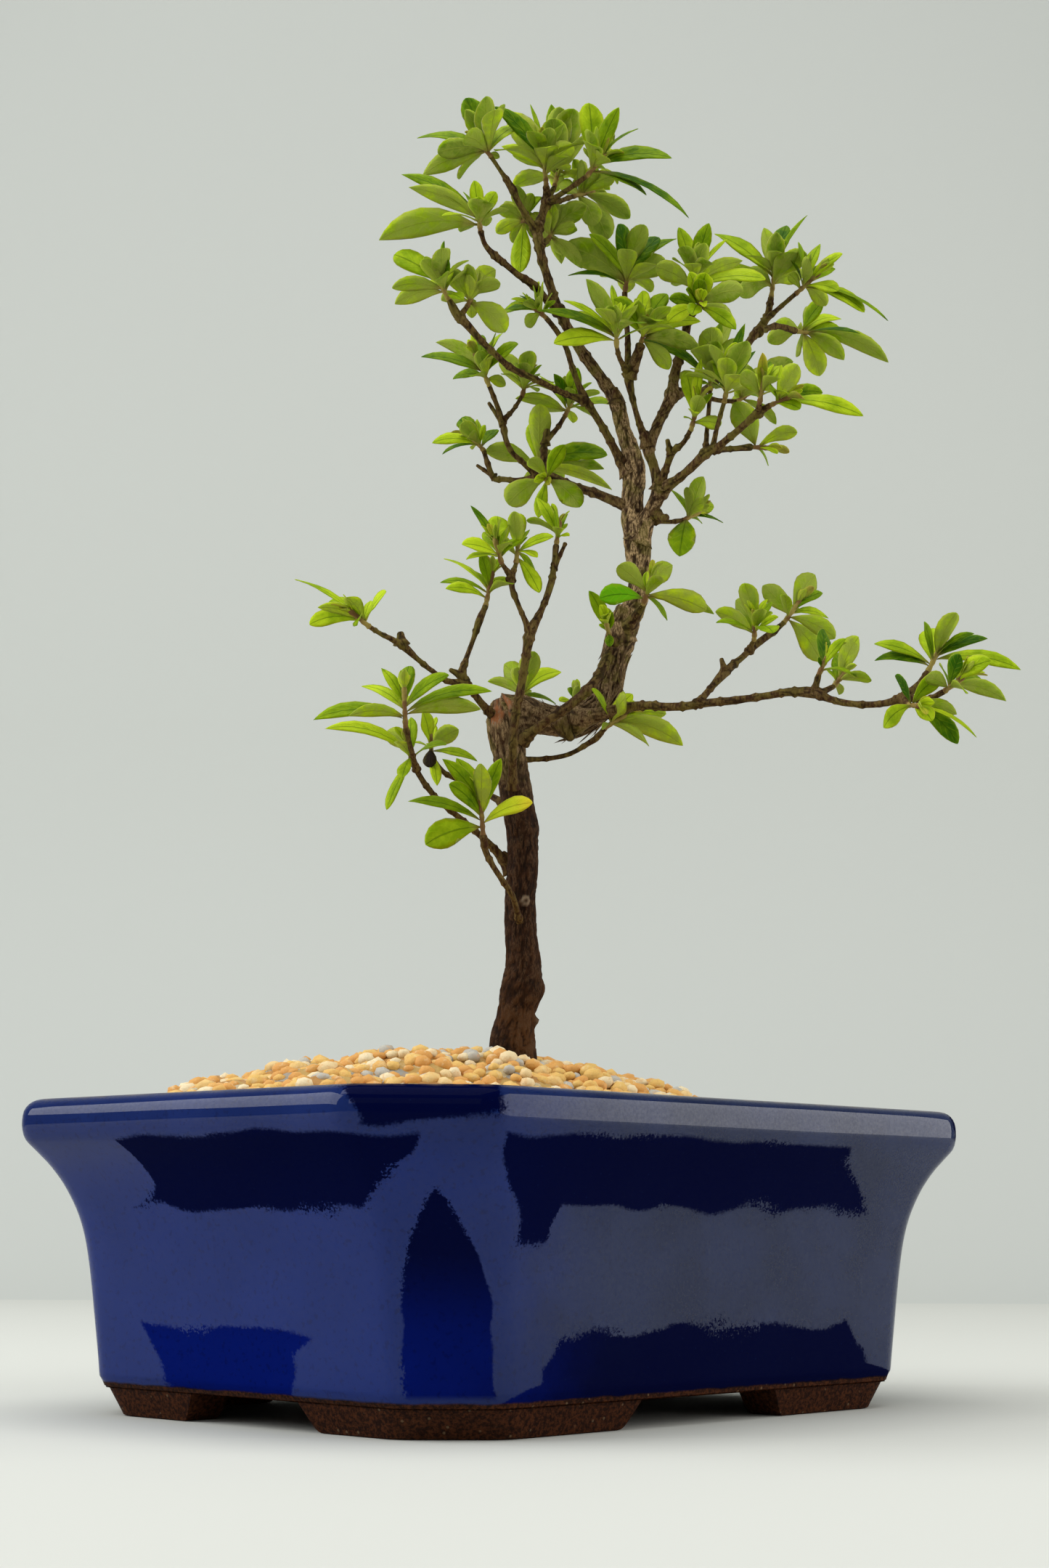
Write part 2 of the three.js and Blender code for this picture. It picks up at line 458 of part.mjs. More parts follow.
    leaves: [[34.8, 262.8, 6.5, -0.7], [28.8, 251.8, 9.5, 0.9], [52.3, 263, 7, -0.6],
      [63, 248.2, 6.5, -0.5], [65.5, 246.8, 4, -0.7]],
  },
  {
    name: 'mid_trunk_left',
    points: [[34, 237, 1.5, 1.5], [32.2, 239, -3, 0.8]],
    stem: [31.3, 242.5, -6],
    leaves: [[30, 249, 4, 0.6]],
  },
  {
    name: 'long_right',
    points: [[22, 212.3, 0, 2.6], [31, 214.5, -4, 2.0], [38, 216.4, -8, 1.6], [44, 217, -11, 1.4], [50, 216.6, -13, 1.3],
      [56, 216.8, -15, 1.3], [62, 217.8, -17, 1.3], [72, 218.8, -20, 1.2], [82, 220.3, -22, 1.1], [89, 221.5, -24, 1.3],
      [97, 221.3, -26, 1.7], [102, 219.3, -27, 1.1], [108, 217.9, -29, 1.0], [115, 217.6, -31, 1.0], [121, 218.4, -33, 1.1],
      [125.5, 220.2, -34, 1.5], [130, 224, -33, 0.9], [133, 228, -33, 0.9]],
    stem: [137.3, 236, -33],
    leaves: [[116.3, 237.3, 4.5, 0.5], [116.3, 231.8, 4, 0.6], [132.5, 244.8, 3.5, 0.4],
      [134, 242.3, 7, 0.8], [142.8, 247.8, 6, -0.5], [152.7, 239.2, 4, 0.5], [163, 229, 5, 0.6]],
  },
  {
    name: 'long_right_end',
    points: [[125, 219.8, -34, 1.2], [133, 219.5, -37, 0.9], [138, 221.8, -39, 0.9]],
    stem: [143, 225.5, -40],
    leaves: [[143.8, 234, 5.5, 0.6], [153.5, 232, 6, 0.5], [132.5, 226.5, 5.5, -0.6],
      [158, 218.8, 4.5, -0.6]],
  },
  {
    name: 'long_right_low',
    points: [[124.5, 219.6, -34, 1.1], [127, 217.6, -38, 0.7]],
    stem: [129.5, 217.3, -41],
    leaves: [[134.3, 212.3, 6.5, 0.9], [142.2, 214.5, 4, -0.7], [122.8, 227, 4, 0.5]],
  },
  {
    name: 'right_sub',
    points: [[60, 217.6, -17, 1.2], [64, 222.5, -15, 1.0], [68.6, 227.8, -13, 1.5], [74, 232.6, -10, 1.0], [79.5, 237.6, -8, 1.1],
      [84, 241, -6, 1.1], [87.5, 244, -5, 0.8]],
    stem: [92, 250, -4],
    leaves: [[98, 260, 7, -0.7], [100.3, 254, 4.5, 0.5], [102, 245.6, 3.5, 0.4], [81, 256.3, 6, -0.6],
      [104, 239, 5.5, -0.6], [99.5, 231.5, 7, -0.8]],
  },
  {
    name: 'right_sub_mid',
    points: [[76.5, 234.8, -9, 1.0], [78, 238.3, -12, 0.7]],
    stem: [78.5, 244, -14],
    leaves: [[75.3, 257.2, 6, -0.6], [72.3, 251.5, 5.5, -0.6], [65.8, 247.6, 5.5, -0.4],
      [84, 251, 3.5, 0.5]],
  },
  { name: 'right_sub_stub', points: [[68.8, 228, -13, 1.1], [67.7, 232, -13, 0.7]] },
  {
    name: 'long_right_first',
    points: [[97, 221.8, -26, 1.1], [98.5, 227, -27, 0.7]],
    stem: [100.8, 231.8, -28],
    leaves: [[107.5, 239, 3.5, 0.5]],
  },
  {
    name: 'long_right_second',
    points: [[98.5, 221, -26, 1.1], [103, 223.3, -23, 0.8]],
    stem: [106, 226.8, -22],
    leaves: [[111.5, 239.7, 6, -0.7], [105.5, 234.8, 4, 0.6]],
  },
];

// A repeatable draw between 0 and 1 for any whole number
function draw(number) {
  const wave = Math.sin(number * 12.9898 + 4.1414) * 43758.5453;
  return wave - Math.floor(wave);
}

// A place on the upright plane, slid along the line of sight to its depth
function place([side, height, depth]) {
  const onPlane = across.clone().multiplyScalar(side).addScaledVector(upward, height);
  return viewer.clone().add(onPlane.sub(viewer).multiplyScalar(1 + depth / viewDistance));
}

// The drawn depths are stretched alike, so that the crown is full from the side too
function deepen(shoot) {
  const stretched = ([side, height, depth, ...radius]) => [side, height, depth * depthStretch, ...radius];
  const points = shoot.points.map(stretched);
  return shoot.stem ? { ...shoot, points, stem: stretched(shoot.stem) } : { ...shoot, points };
}

function solidFrom(geometry) {
  const bare = geometry.clone();
  bare.deleteAttribute('normal');
  bare.deleteAttribute('uv');
  const merged = mergeVertices(bare, 1e-4);
  return new wasm.Manifold(new wasm.Mesh({
    numProp: 3,
    vertProperties: new Float32Array(merged.attributes.position.array),
    triVerts: new Uint32Array(merged.index.array),
  }));
}

function geometryFrom(solid) {
  const { numProp, numVert, vertProperties, triVerts } = solid.getMesh();
  const positions = new Float32Array(numVert * 3);
  for (let i = 0; i < numVert; i += 1) {
    positions.set(vertProperties.subarray(numProp * i, numProp * i + 3), 3 * i);
  }
  const geometry = new THREE.BufferGeometry();
  geometry.setAttribute('position', new THREE.BufferAttribute(positions, 3));
  geometry.setIndex(new THREE.BufferAttribute(new Uint32Array(triVerts), 1));
  geometry.computeVertexNormals();
  return geometry;
}

// Skins a stack of rings with the same number of points each, counter-clockwise as seen
// from the far end, and closes both ends flat or joins the last ring to the first
function loft(rings, joined = false) {
  const count = rings[0].length;
  const triangles = [];
  const strips = joined ? rings.length : rings.length - 1;
  for (let r = 0; r < strips; r += 1) {
    const next = (r + 1) % rings.length;
    for (let i = 0; i < count; i += 1) {
      const j = (i + 1) % count;
      const [a, b, c, d] = [r * count + i, r * count + j, next * count + j, next * count + i];
      triangles.push(a, b, c, a, c, d);
    }
  }
  const end = (rings.length - 1) * count;
  for (let i = 1; i < count - 1 && !joined; i += 1) {
    triangles.push(0, i + 1, i, end, end + i, end + i + 1);
  }
  const geometry = new THREE.BufferGeometry().setFromPoints(rings.flat());
  geometry.setIndex(triangles);
  return geometry;
}

// The pot's plan: a rectangle with cut corners, whose eight upright ridges are rounded off
function potRing({ x, y, cut }, height) {
  const corners = [
    [x, cut - y], [x, y - cut], [x - cut, y], [cut - x, y],
    [-x, y - cut], [-x, cut - y], [cut - x, -y], [x - cut, -y],
  ].map(([side, depth]) => new THREE.Vector3(side, depth, height));
  return corners.flatMap((corner, i) => [corners[(i + 7) % 8], corners[(i + 1) % 8]].map(
    (other) => corner.clone().add(other.clone().sub(corner).setLength(ridgeRounding)),
  ));
}

// The same plan moved inwards, which shortens the cut corners too
function inset({ x, y, cut }, distance) {
  return { x: x - distance, y: y - distance, cut: cut - distance * (2 - Math.SQRT2) };
}

function wallOutline(height) {
  const above = wallProfile.findIndex(([level]) => level >= height);
  const [low, high] = [wallProfile[Math.max(above - 1, 0)], wallProfile[above]];
  const span = high[0] - low[0];
  const share = span > 0 ? THREE.MathUtils.mapLinear(height, low[0], high[0], low[1], high[1]) : high[1];
  return {
    x: THREE.MathUtils.lerp(bodyOutline.x, lipOutline.x, share),
    y: THREE.MathUtils.lerp(bodyOutline.y, lipOutline.y, share),
    cut: THREE.MathUtils.lerp(bodyOutline.cut, lipOutline.cut, share),
  };
}

// A bar with sloping sides that runs right under the pot and parts two feet
function footGapBar({ table, body }, reach) {
  const outline = new THREE.Shape([
    new THREE.Vector2(-table - 1, -1),
    new THREE.Vector2(table + 1, -1),
    new THREE.Vector2(body, footHeight),
    new THREE.Vector2(-body, footHeight),
  ]);
  const bar = new THREE.ExtrudeGeometry(outline, { depth: 2 * reach, bevelEnabled: false });
  return bar.translate(0, 0, -reach).rotateX(Math.PI / 2);
}

function makePot() {
  const outside = wallProfile.map(([height]) => potRing(wallOutline(height), height));
  const inside = insideProfile.map(([height, thickness]) => (
    potRing(inset(wallOutline(height), thickness), height)
  ));
  const footInside = inset(footOutline, footWidth);
  const rootedHeight = footHeight + 1;
  const feet = loft([
    potRing(footOutline, 0),
    potRing(inset(wallOutline(rootedHeight), 1.2), rootedHeight),
    potRing(footInside, rootedHeight),
    potRing(footInside, 0),
  ], true);
  const acrossGap = footGapBar(footGapAlongX, lipOutline.y);
  const alongGap = footGapBar(footGapAlongY, lipOutline.x).rotateZ(Math.PI / 2);
  let pot = solidFrom(feet)
    .subtract(solidFrom(acrossGap))
    .subtract(solidFrom(alongGap))
    .add(solidFrom(loft([...outside, ...inside])));
  for (const side of [-1, 1]) {
    const hole = new THREE.CylinderGeometry(
      drainHole.radius, drainHole.radius, 2 * floorTop, drainHole.sides,
    );
    hole.rotateX(Math.PI / 2).translate(side * drainHole.x, 0, floorTop);
    pot = pot.subtract(solidFrom(hole));
  }
  return pot;
}

function makeScreen(side) {
  const slab = new THREE.BoxGeometry(screen.size, screen.size, screen.thickness);
  let plate = solidFrom(slab.translate(side * drainHole.x, 0, floorTop + gap + screen.thickness / 2));
  const pitch = screen.size / (screen.rows + 1);
  const middleRow = (screen.rows - 1) / 2;
  for (let cell = 0; cell < screen.rows ** 2; cell += 1) {
    const x = side * drainHole.x + ((cell % screen.rows) - middleRow) * pitch;
    const y = (Math.floor(cell / screen.rows) - middleRow) * pitch;
    const hole = new THREE.BoxGeometry(screen.hole, screen.hole, 4 * floorTop);
    plate = plate.subtract(solidFrom(hole.translate(x, y, 0)));
  }
  return plate;
}

function moundHeight(x, y) {
  const distance = ((x - mound.x) / mound.halfX) ** 2 + ((y - mound.y) / mound.halfY) ** 2;
  return mound.low + mound.rise * Math.max(0, 1 - distance);
}

// Gravel larger than life: on a net of triangles every third knot is the top of a grain
function makeSoil(trunk) {
  const columns = Math.ceil((2 * lipOutline.x) / grainPitch) + 2;
  const rowPitch = grainPitch * Math.sqrt(0.75);
  const rows = Math.ceil((2 * lipOutline.y) / rowPitch) + 2;
  const points = [];
  const triangles = [];
  for (let row = 0; row <= rows; row += 1) {
    for (let column = 0; column <= columns; column += 1) {
      const knot = points.length;
      const isTop = (column + 2 * row + Math.floor(row / 2)) % 3 === 0;
      const x = (column - columns / 2 + (row % 2) / 2 + 0.3 * (draw(knot) - 0.5)) * grainPitch;
      const y = (row - rows / 2 + 0.3 * (draw(knot + 0.5) - 0.5)) * rowPitch;
      const rise = isTop ? grainRise * (0.6 + 0.8 * draw(knot + 0.25)) : 0;
      points.push(new THREE.Vector3(x, y, moundHeight(x, y) + rise - grainRise / 2));
    }
  }
  const width = columns + 1;
  for (let row = 0; row < rows; row += 1) {
    for (let column = 0; column < columns; column += 1) {
      const [a, b] = [row * width + column, row * width + column + 1];
      const [c, d] = [a + width, b + width];
      triangles.push(...(row % 2 ? [a, b, d, a, d, c] : [a, b, c, b, d, c]));
    }
  }
  const rim = [];
  for (let i = 0; i < columns; i += 1) {
    rim.push(i);
  }
  for (let i = 0; i < rows; i += 1) {
    rim.push(i * width + columns);
  }
  for (let i = columns; i > 0; i -= 1) {
    rim.push(rows * width + i);
  }
  for (let i = rows; i > 0; i -= 1) {
    rim.push(i * width);
  }
  const foot = points.length;
  rim.forEach((knot) => points.push(points[knot].clone().setZ(0)));
  points.push(new THREE.Vector3(0, 0, 0));
  rim.forEach((knot, i) => {
    const j = (i + 1) % rim.length;
    triangles.push(knot, foot + i, foot + j, knot, foot + j, rim[j]);
    triangles.push(foot + j, foot + i, points.length - 1);
  });
  const heap = new THREE.BufferGeometry().setFromPoints(points);
  heap.setIndex(triangles);
  const form = insideProfile.map(([height, thickness]) => (
    potRing(inset(wallOutline(height), thickness + gap), height)
  )).reverse();
  form[0].forEach((point) => point.setZ(soilBottom));
  const above = form[form.length - 1].map((point) => point.clone().setZ(potHeight + 3 * mound.rise));
  return solidFrom(heap).intersect(solidFrom(loft([...form, above]))).subtract(trunk);
}

// A tapering stem through centres and radii, its rings carried along without twist
function stemGeometry(centres, radii, sides) {
  const directions = centres.map((centre, i) => {
    const from = centres[Math.max(i - 1, 0)];
    const to = centres[Math.min(i + 1, centres.length - 1)];
    return to.clone().sub(from).normalize();
  });
  const sideways = new THREE.Vector3(0.31, 0.83, 0.46);
  const rings = centres.map((centre, i) => {
    sideways.addScaledVector(directions[i], -sideways.dot(directions[i])).normalize();
    const turned = directions[i].clone().cross(sideways);
    return Array.from({ length: sides }, (_, k) => {
      const angle = (2 * Math.PI * k) / sides;
      return centre.clone()
        .addScaledVector(sideways, radii[i] * Math.cos(angle))
        .addScaledVector(turned, radii[i] * Math.sin(angle));
    });
  });
  return loft(rings);
}

// A wooden shoot, skipping the points that its neighbours already put in line
function woodGeometry({ points, sides }, extraRadius = 0) {
  const kept = [points[0]];
  for (let i = 1; i < points.length - 1; i += 1) {
    const before = kept[kept.length - 1];
    const [here, after] = [points[i], points[i + 1]];
    const share = (here[1] - before[1]) / (after[1] - before[1]);
    const steady = share > 0 && share < 1 && [0, 2, 3].every((k) => (
      Math.abs(here[k] - before[k] - share * (after[k] - before[k])) < straightness
    ));
    if (!steady) {
      kept.push(here);
    }
  }
  kept.push(points[points.length - 1]);
  const thickest = Math.max(...kept.map((point) => point[3]));
  const around = sides ?? (thickest > thickTwig ? 5 : 3);
  return stemGeometry(kept.map(place), kept.map((point) => point[3] + extraRadius), around);
}

// The green end of a shoot starts a gap beyond the wood and tapers to its bud
function greenStem({ points, stem }) {
  const [before, last] = points.slice(-2).map(place);
  const heading = last.clone().sub(before).normalize();
  const radius = Math.max(leastStemRadius, points[points.length - 1][3]);
  const tip = place(stem);
  const slant = heading.angleTo(tip.clone().sub(last));
  const start = last.clone().addScaledVector(heading, gap + radius * Math.sin(slant));
  return { centres: [start, tip], radii: [radius, stemTipRadius] };
}

function alongStem({ centres }, share) {
  const reach = share * (centres.length - 1);
  const step = Math.min(Math.floor(reach), centres.length - 2);
  return centres[step].clone().lerp(centres[step + 1], reach - step);
}

// A blade's points are three at the stalk's end, four (top, right, keel, left) at each
// station and one at the tip; both faces are split alike
function bladeTriangles(stations) {
  const triangles = [0, 2, 1, 0, 1, 4, 0, 4, 3, 1, 5, 4, 1, 2, 5, 2, 6, 5, 2, 0, 6, 0, 3, 6];
  const last = 3 + 4 * (stations - 1);
  for (let ring = 3; ring < last; ring += 4) {
    const strip = [0, 1, 5, 0, 5, 4, 1, 2, 5, 2, 6, 5, 2, 3, 7, 2, 7, 6, 3, 0, 7, 0, 4, 7];
    triangles.push(...strip.map((corner) => ring + corner));
  }
  for (let i = 0; i < 4; i += 1) {
    triangles.push(last + i, last + ((i + 1) % 4), last + 4);
  }
  return triangles;
}

// One leaf blade along an arched midrib, folded a little up along it, with a wedge-shaped
// stalk end and a pointed tip. It can start part of the way out and be swollen all round.
function bladeGeometry({ base, tip, width, face }, startAt = 0, swelling = 0) {
  const chord = tip.clone().sub(base);
  const length = chord.length();
  chord.normalize();
  const lift = upward.clone().addScaledVector(chord, -upward.dot(chord));
  const control = base.clone().lerp(tip, 0.5).addScaledVector(lift, bladeArch * length);
  const midrib = new THREE.QuadraticBezierCurve3(base, control, tip);
  const side = chord.clone().cross(face).normalize();
  const ringAt = (at, corners) => {
    const centre = midrib.getPoint(at);
    const heading = midrib.getTangent(at);
    const normal = side.clone().cross(heading).normalize();
    const edgeway = heading.clone().cross(normal);
    return corners.map(([sideways, rise]) => (
      centre.clone().addScaledVector(edgeway, sideways).addScaledVector(normal, rise)
    ));
  };
  const stalk = Math.max(stalkRadius, startAt * width / 2) + swelling;
  const points = ringAt(startAt, [[0, stalkRadius + swelling], [stalk, -stalkRadius / 2], [-stalk, -stalkRadius / 2]]);
  const stations = width > narrowWidth ? bladeStations : narrowStations;
  for (const [at, share] of stations) {
    const reach = share * width / 2 + swelling;
    const half = bladeThickness / 2 + swelling;
    points.push(...ringAt(at, [[0, half], [reach, bladeFold * reach], [0, -half], [-reach, bladeFold * reach]]));
  }
  points.push(tip.clone().addScaledVector(midrib.getTangent(1), swelling));
  const geometry = new THREE.BufferGeometry().setFromPoints(points);
  geometry.setIndex(bladeTriangles(stations.length));
  return geometry;
}

// The upper face's direction: turn 1 shows it to the front, 0 shows an edge, -1 the underside
function turnedFace(chord, turn) {
  const front = away.clone().negate();
  front.addScaledVector(chord, -front.dot(chord)).normalize();
  const level = chord.clone().cross(front);
  level.multiplyScalar(level.z < 0 ? -1 : 1);
  const angle = turn * Math.PI / 2;
  return level.multiplyScalar(Math.cos(angle)).addScaledVector(front, Math.sin(angle));
}

// How far along the green stem, seen from the front, the foot of a leaf's tip lies
function alongSight({ points, stem }, [tipAcross, tipUp]) {
  const [startAcross, startUp] = points[points.length - 1];
  const [run, rise] = [stem[0] - startAcross, stem[1] - startUp];
  return ((tipAcross - startAcross) * run + (tipUp - startUp) * rise) / (run * run + rise * rise);
}

// A leaf read from the front view. The lower its tip, the lower it leaves the stem. Its
// depth isn't seen, so it leans by its natural length, and further steps of depth are there
// for where another shoot is in the way.
function seenLeafChoices(shoot, leaf, seed) {
  const [tipAcross, tipUp, width, turn] = leaf;
  const start = shoot.points[shoot.points.length - 1];
  const lower = shoot.leaves.filter((other) => alongSight(shoot, other) < alongSight(shoot, leaf));
  const share = THREE.MathUtils.lerp(0.45, 0.97, (lower.length + 0.5) / shoot.leaves.length);
  const from = [0, 1, 2].map((k) => THREE.MathUtils.lerp(start[k], shoot.stem[k], share));
  const shown = Math.hypot(tipAcross - from[0], tipUp - from[1]);
  const natural = 14 + 8 * draw(seed);
  const hidden = Math.sqrt(Math.max(0, natural ** 2 - shown ** 2)) * (1 - 0.75 * Math.abs(turn));
  const lean = Math.min(hidden, 0.7 * shown) * (draw(seed + 0.5) < 0.5 ? -1 : 1);
  return depthSteps.map((step) => (
    { share, tip: place([tipAcross, tipUp, from[2] + lean + step]), width, turn }
  ));
}

// Leaves that the front view hides stand out to the back and the front of the stem in turn
function hiddenLeafChoices(green, order, seed) {
  const share = 0.6 + 0.35 * draw(seed);
  const base = alongStem(green, share);
  const axis = green.centres[1].clone().sub(green.centres[0]).normalize();
  const outward = away.clone().multiplyScalar(order % 2 ? -1 : 1);
  outward.addScaledVector(axis, -outward.dot(axis)).normalize();
  const tilt = THREE.MathUtils.degToRad(52 + 30 * draw(seed + 0.3));
  const length = 11 + 6 * draw(seed + 0.6);
  return swingSteps.map((step) => {
    const swing = THREE.MathUtils.degToRad(step + 40 * (draw(seed + 0.8) - 0.5));
    const direction = axis.clone().multiplyScalar(Math.cos(tilt))
      .addScaledVector(outward.clone().applyAxisAngle(axis, swing), Math.sin(tilt));
    const face = axis.clone().addScaledVector(direction, -axis.dot(direction)).normalize();
    return { share, tip: base.clone().addScaledVector(direction, length), width: 0.38 * length, face };
  });
}

function boxed(geometry) {
  geometry.computeBoundingBox();
  return { solid: solidFrom(geometry), box: geometry.boundingBox };
}

function meets(one, others) {
  return others.some((other) => (
    one.box.intersectsBox(other.box) && !one.solid.intersect(other.solid).isEmpty()
  ));
}

// Takes the first choice that is clear of the wood, of every other shoot's leaves and
// stems, and of the open part of its own shoot's leaves; a leaf with none is left out
function pickLeaf(choices, spray, sprays, wood) {
  const others = sprays.filter((other) => other !== spray).flatMap((other) => other.bodies);
  for (const choice of choices) {
    const axisPoint = alongStem(spray.green, choice.share);
    const chord = choice.tip.clone().sub(axisPoint).normalize();
    const base = axisPoint.addScaledVector(chord, leafRootShift);
    const leaf = { ...choice, base, face: choice.face ?? turnedFace(chord, choice.turn) };
    const swollen = boxed(bladeGeometry(leaf, 0, leafClearance));
    const open = boxed(bladeGeometry(leaf, 0.3));
    if (!meets(swollen, wood) && !meets(swollen, others) && !meets(open, spray.open)) {
      spray.bodies.push(boxed(bladeGeometry(leaf)));
      spray.open.push(open);
      return;
    }
  }
}

function makeSprays(shoots, wood) {
  const sprays = shoots.filter(({ stem }) => stem).map((shoot) => {
    const green = greenStem(shoot);
    const stem = boxed(stemGeometry(green.centres, green.radii, 3));
    return { shoot, green, bodies: [stem], open: [] };
  });
  sprays.forEach((spray, s) => {
    spray.shoot.leaves.forEach((leaf, i) => {
      pickLeaf(seenLeafChoices(spray.shoot, leaf, 40 * s + i), spray, sprays, wood);
    });
  });
  sprays.forEach((spray, s) => {
    for (let i = 0; i < (spray.shoot.extra ?? extraLeaves); i += 1) {
      pickLeaf(hiddenLeafChoices(spray.green, i, 40 * s + 20 + i), spray, sprays, wood);
    }
  });
  return sprays;
}

function named(name, solid, colour, roughness) {
  const material = new THREE.MeshStandardMaterial({ color: colour, roughness, metalness: 0 });
  const mesh = new THREE.Mesh(geometryFrom(solid), material);
  mesh.name = name;
  return mesh;
}

function fused(bodies) {
  return bodies.map(({ solid }) => solid).reduce((whole, next) => whole.add(next));
}

const shoots = drawnShoots.map(deepen);
const bonsai = new THREE.Group();
const trunkHole = solidFrom(woodGeometry(shoots[0], gap + 0.05));
const limbs = shoots.map((shoot) => boxed(woodGeometry(shoot)));
bonsai.add(named('pot', makePot(), colours.glaze, 0.12));
bonsai.add(named('drain_screen_left', makeScreen(-1), colours.mesh, 0.6));
bonsai.add(named('drain_screen_right', makeScreen(1), colours.mesh, 0.6));
bonsai.add(named('soil', makeSoil(trunkHole), colours.gravel, 0.9));
bonsai.add(named('wood', fused(limbs), colours.bark, 0.85));
for (const spray of makeSprays(shoots, limbs)) {
  bonsai.add(named(`spray_${spray.shoot.name}`, fused(spray.bodies), colours.leaf, 0.45));
}

// The whole stands with the middle of its box's underside at the origin
const bounds = new THREE.Box3().setFromObject(bonsai);
const middle = bounds.getCenter(new THREE.Vector3());
bonsai.position.set(-middle.x, -middle.y, -bounds.min.z);
bonsai.updateMatrixWorld(true);

export default bonsai;
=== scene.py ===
"""A satsuki azalea bonsai in a blue glazed pot with cut corners, dressed around its frame.

Shapes are worked out in millimetres, in the pot's own frame: the middle of the plane its
feet stand on is the origin, X runs along its long side and Z up. A mesh gets its place
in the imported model's frame, in metres, only when it is made.
"""

import logging
import math
from dataclasses import dataclass, field
from enum import Enum

import bpy
import numpy as np
from mathutils import Matrix, Vector
from mathutils.bvhtree import BVHTree


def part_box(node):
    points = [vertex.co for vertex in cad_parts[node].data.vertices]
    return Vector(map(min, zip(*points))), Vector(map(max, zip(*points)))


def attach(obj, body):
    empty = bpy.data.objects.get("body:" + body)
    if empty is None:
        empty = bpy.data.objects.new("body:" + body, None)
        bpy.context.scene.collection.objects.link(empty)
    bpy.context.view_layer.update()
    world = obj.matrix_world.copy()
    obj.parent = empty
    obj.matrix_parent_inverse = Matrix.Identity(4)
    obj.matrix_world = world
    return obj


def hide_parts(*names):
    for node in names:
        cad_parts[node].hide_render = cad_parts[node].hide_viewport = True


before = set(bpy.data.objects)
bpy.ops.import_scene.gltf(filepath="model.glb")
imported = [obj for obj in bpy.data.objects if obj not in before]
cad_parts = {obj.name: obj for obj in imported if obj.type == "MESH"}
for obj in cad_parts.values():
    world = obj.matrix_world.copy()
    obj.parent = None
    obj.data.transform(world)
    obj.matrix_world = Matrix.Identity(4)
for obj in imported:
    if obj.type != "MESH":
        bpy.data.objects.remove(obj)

Array = np.ndarray
Colour = tuple[float, float, float]
Pair = tuple[float, float]

logger = logging.getLogger("bonsai")
MILLIMETRE = 0.001
THINNEST_TWIG = 0.45
GOLDEN_ANGLE = math.radians(137.5)


class Slot(Enum):
    """Names for the kinds of finish of the new pieces."""

    GLAZE = "glaze"
    GRAVEL = "gravel"
    BARK = "bark"
    LEAF = "leaf"


class Carving(Enum):
    """What a carving tool does to a mesh."""

    CUT_OUT = "DIFFERENCE"
    ADD = "UNION"


def unit(vectors: Array) -> Array:
    """Each vector divided by its length, v / |v|."""
    return vectors / np.maximum(np.linalg.norm(vectors, axis=-1, keepdims=True), 1e-9)


def smooth_step(low: float, high: float, values: Array) -> Array:
    """0 below low, 1 above high and s * s * (3 - 2 s) between them."""
    share = np.clip((values - low) / (high - low), 0, 1)
    return share * share * (3 - 2 * share)


def draw(number: float | Array) -> float | Array:
    """A number from 0 to 1, always the same for the same argument: sin(12.9898 n + 4.1414)
    times 43758.5453, less its whole part."""
    value = np.sin(number * 12.9898 + 4.1414) * 43758.5453
    return value - np.floor(value)


def ranged(limits: Pair, chance: float | Array) -> float | Array:
    """The least value plus chance times the most that can come on top of it."""
    return limits[0] + limits[1] * chance


def rotated(vectors: Array, axis: Array, angle: float | Array) -> Array:
    """Vectors turned about a unit axis: v cos a + (axis x v) sin a + axis (axis . v)(1 - cos a)."""
    angle = np.asarray(angle)[..., None]
    along = np.sum(vectors * axis, axis=-1, keepdims=True)
    return (vectors * np.cos(angle) + np.cross(axis, vectors) * np.sin(angle)
            + axis * along * (1 - np.cos(angle)))


def spline(knots: Array, spacing: float) -> Array:
    """A Catmull-Rom curve through the knots.

    Between knots b and c, with a before and d after, it is
    (2b + (c - a) t + (2a - 5b + 4c - d) t^2 + (3b - a - 3c + d) t^3) / 2.

    Args:
        knots: Rows of a position and any further values, all carried along alike.
        spacing: About how far apart the points come, measured on the first three columns.

    Returns:
        The curve's rows, the first and last knot among them.
    """
    padded = np.vstack([2 * knots[0] - knots[1], knots, 2 * knots[-1] - knots[-2]])
    lengths = np.linalg.norm(np.diff(knots[:, :3], axis=0), axis=1)
    counts = np.maximum(np.ceil(lengths / spacing).astype(int), 1)
    span = np.repeat(np.arange(len(counts)), counts)
    t = ((np.arange(counts.sum()) - np.repeat(np.cumsum(counts) - counts, counts))
         / np.repeat(counts, counts))[:, None]
    a, b, c, d = (padded[span + k] for k in range(4))
    curve = (2 * b + (c - a) * t + (2 * a - 5 * b + 4 * c - d) * t ** 2
             + (3 * b - a - 3 * c + d) * t ** 3) / 2
    return np.vstack([curve, knots[-1]])


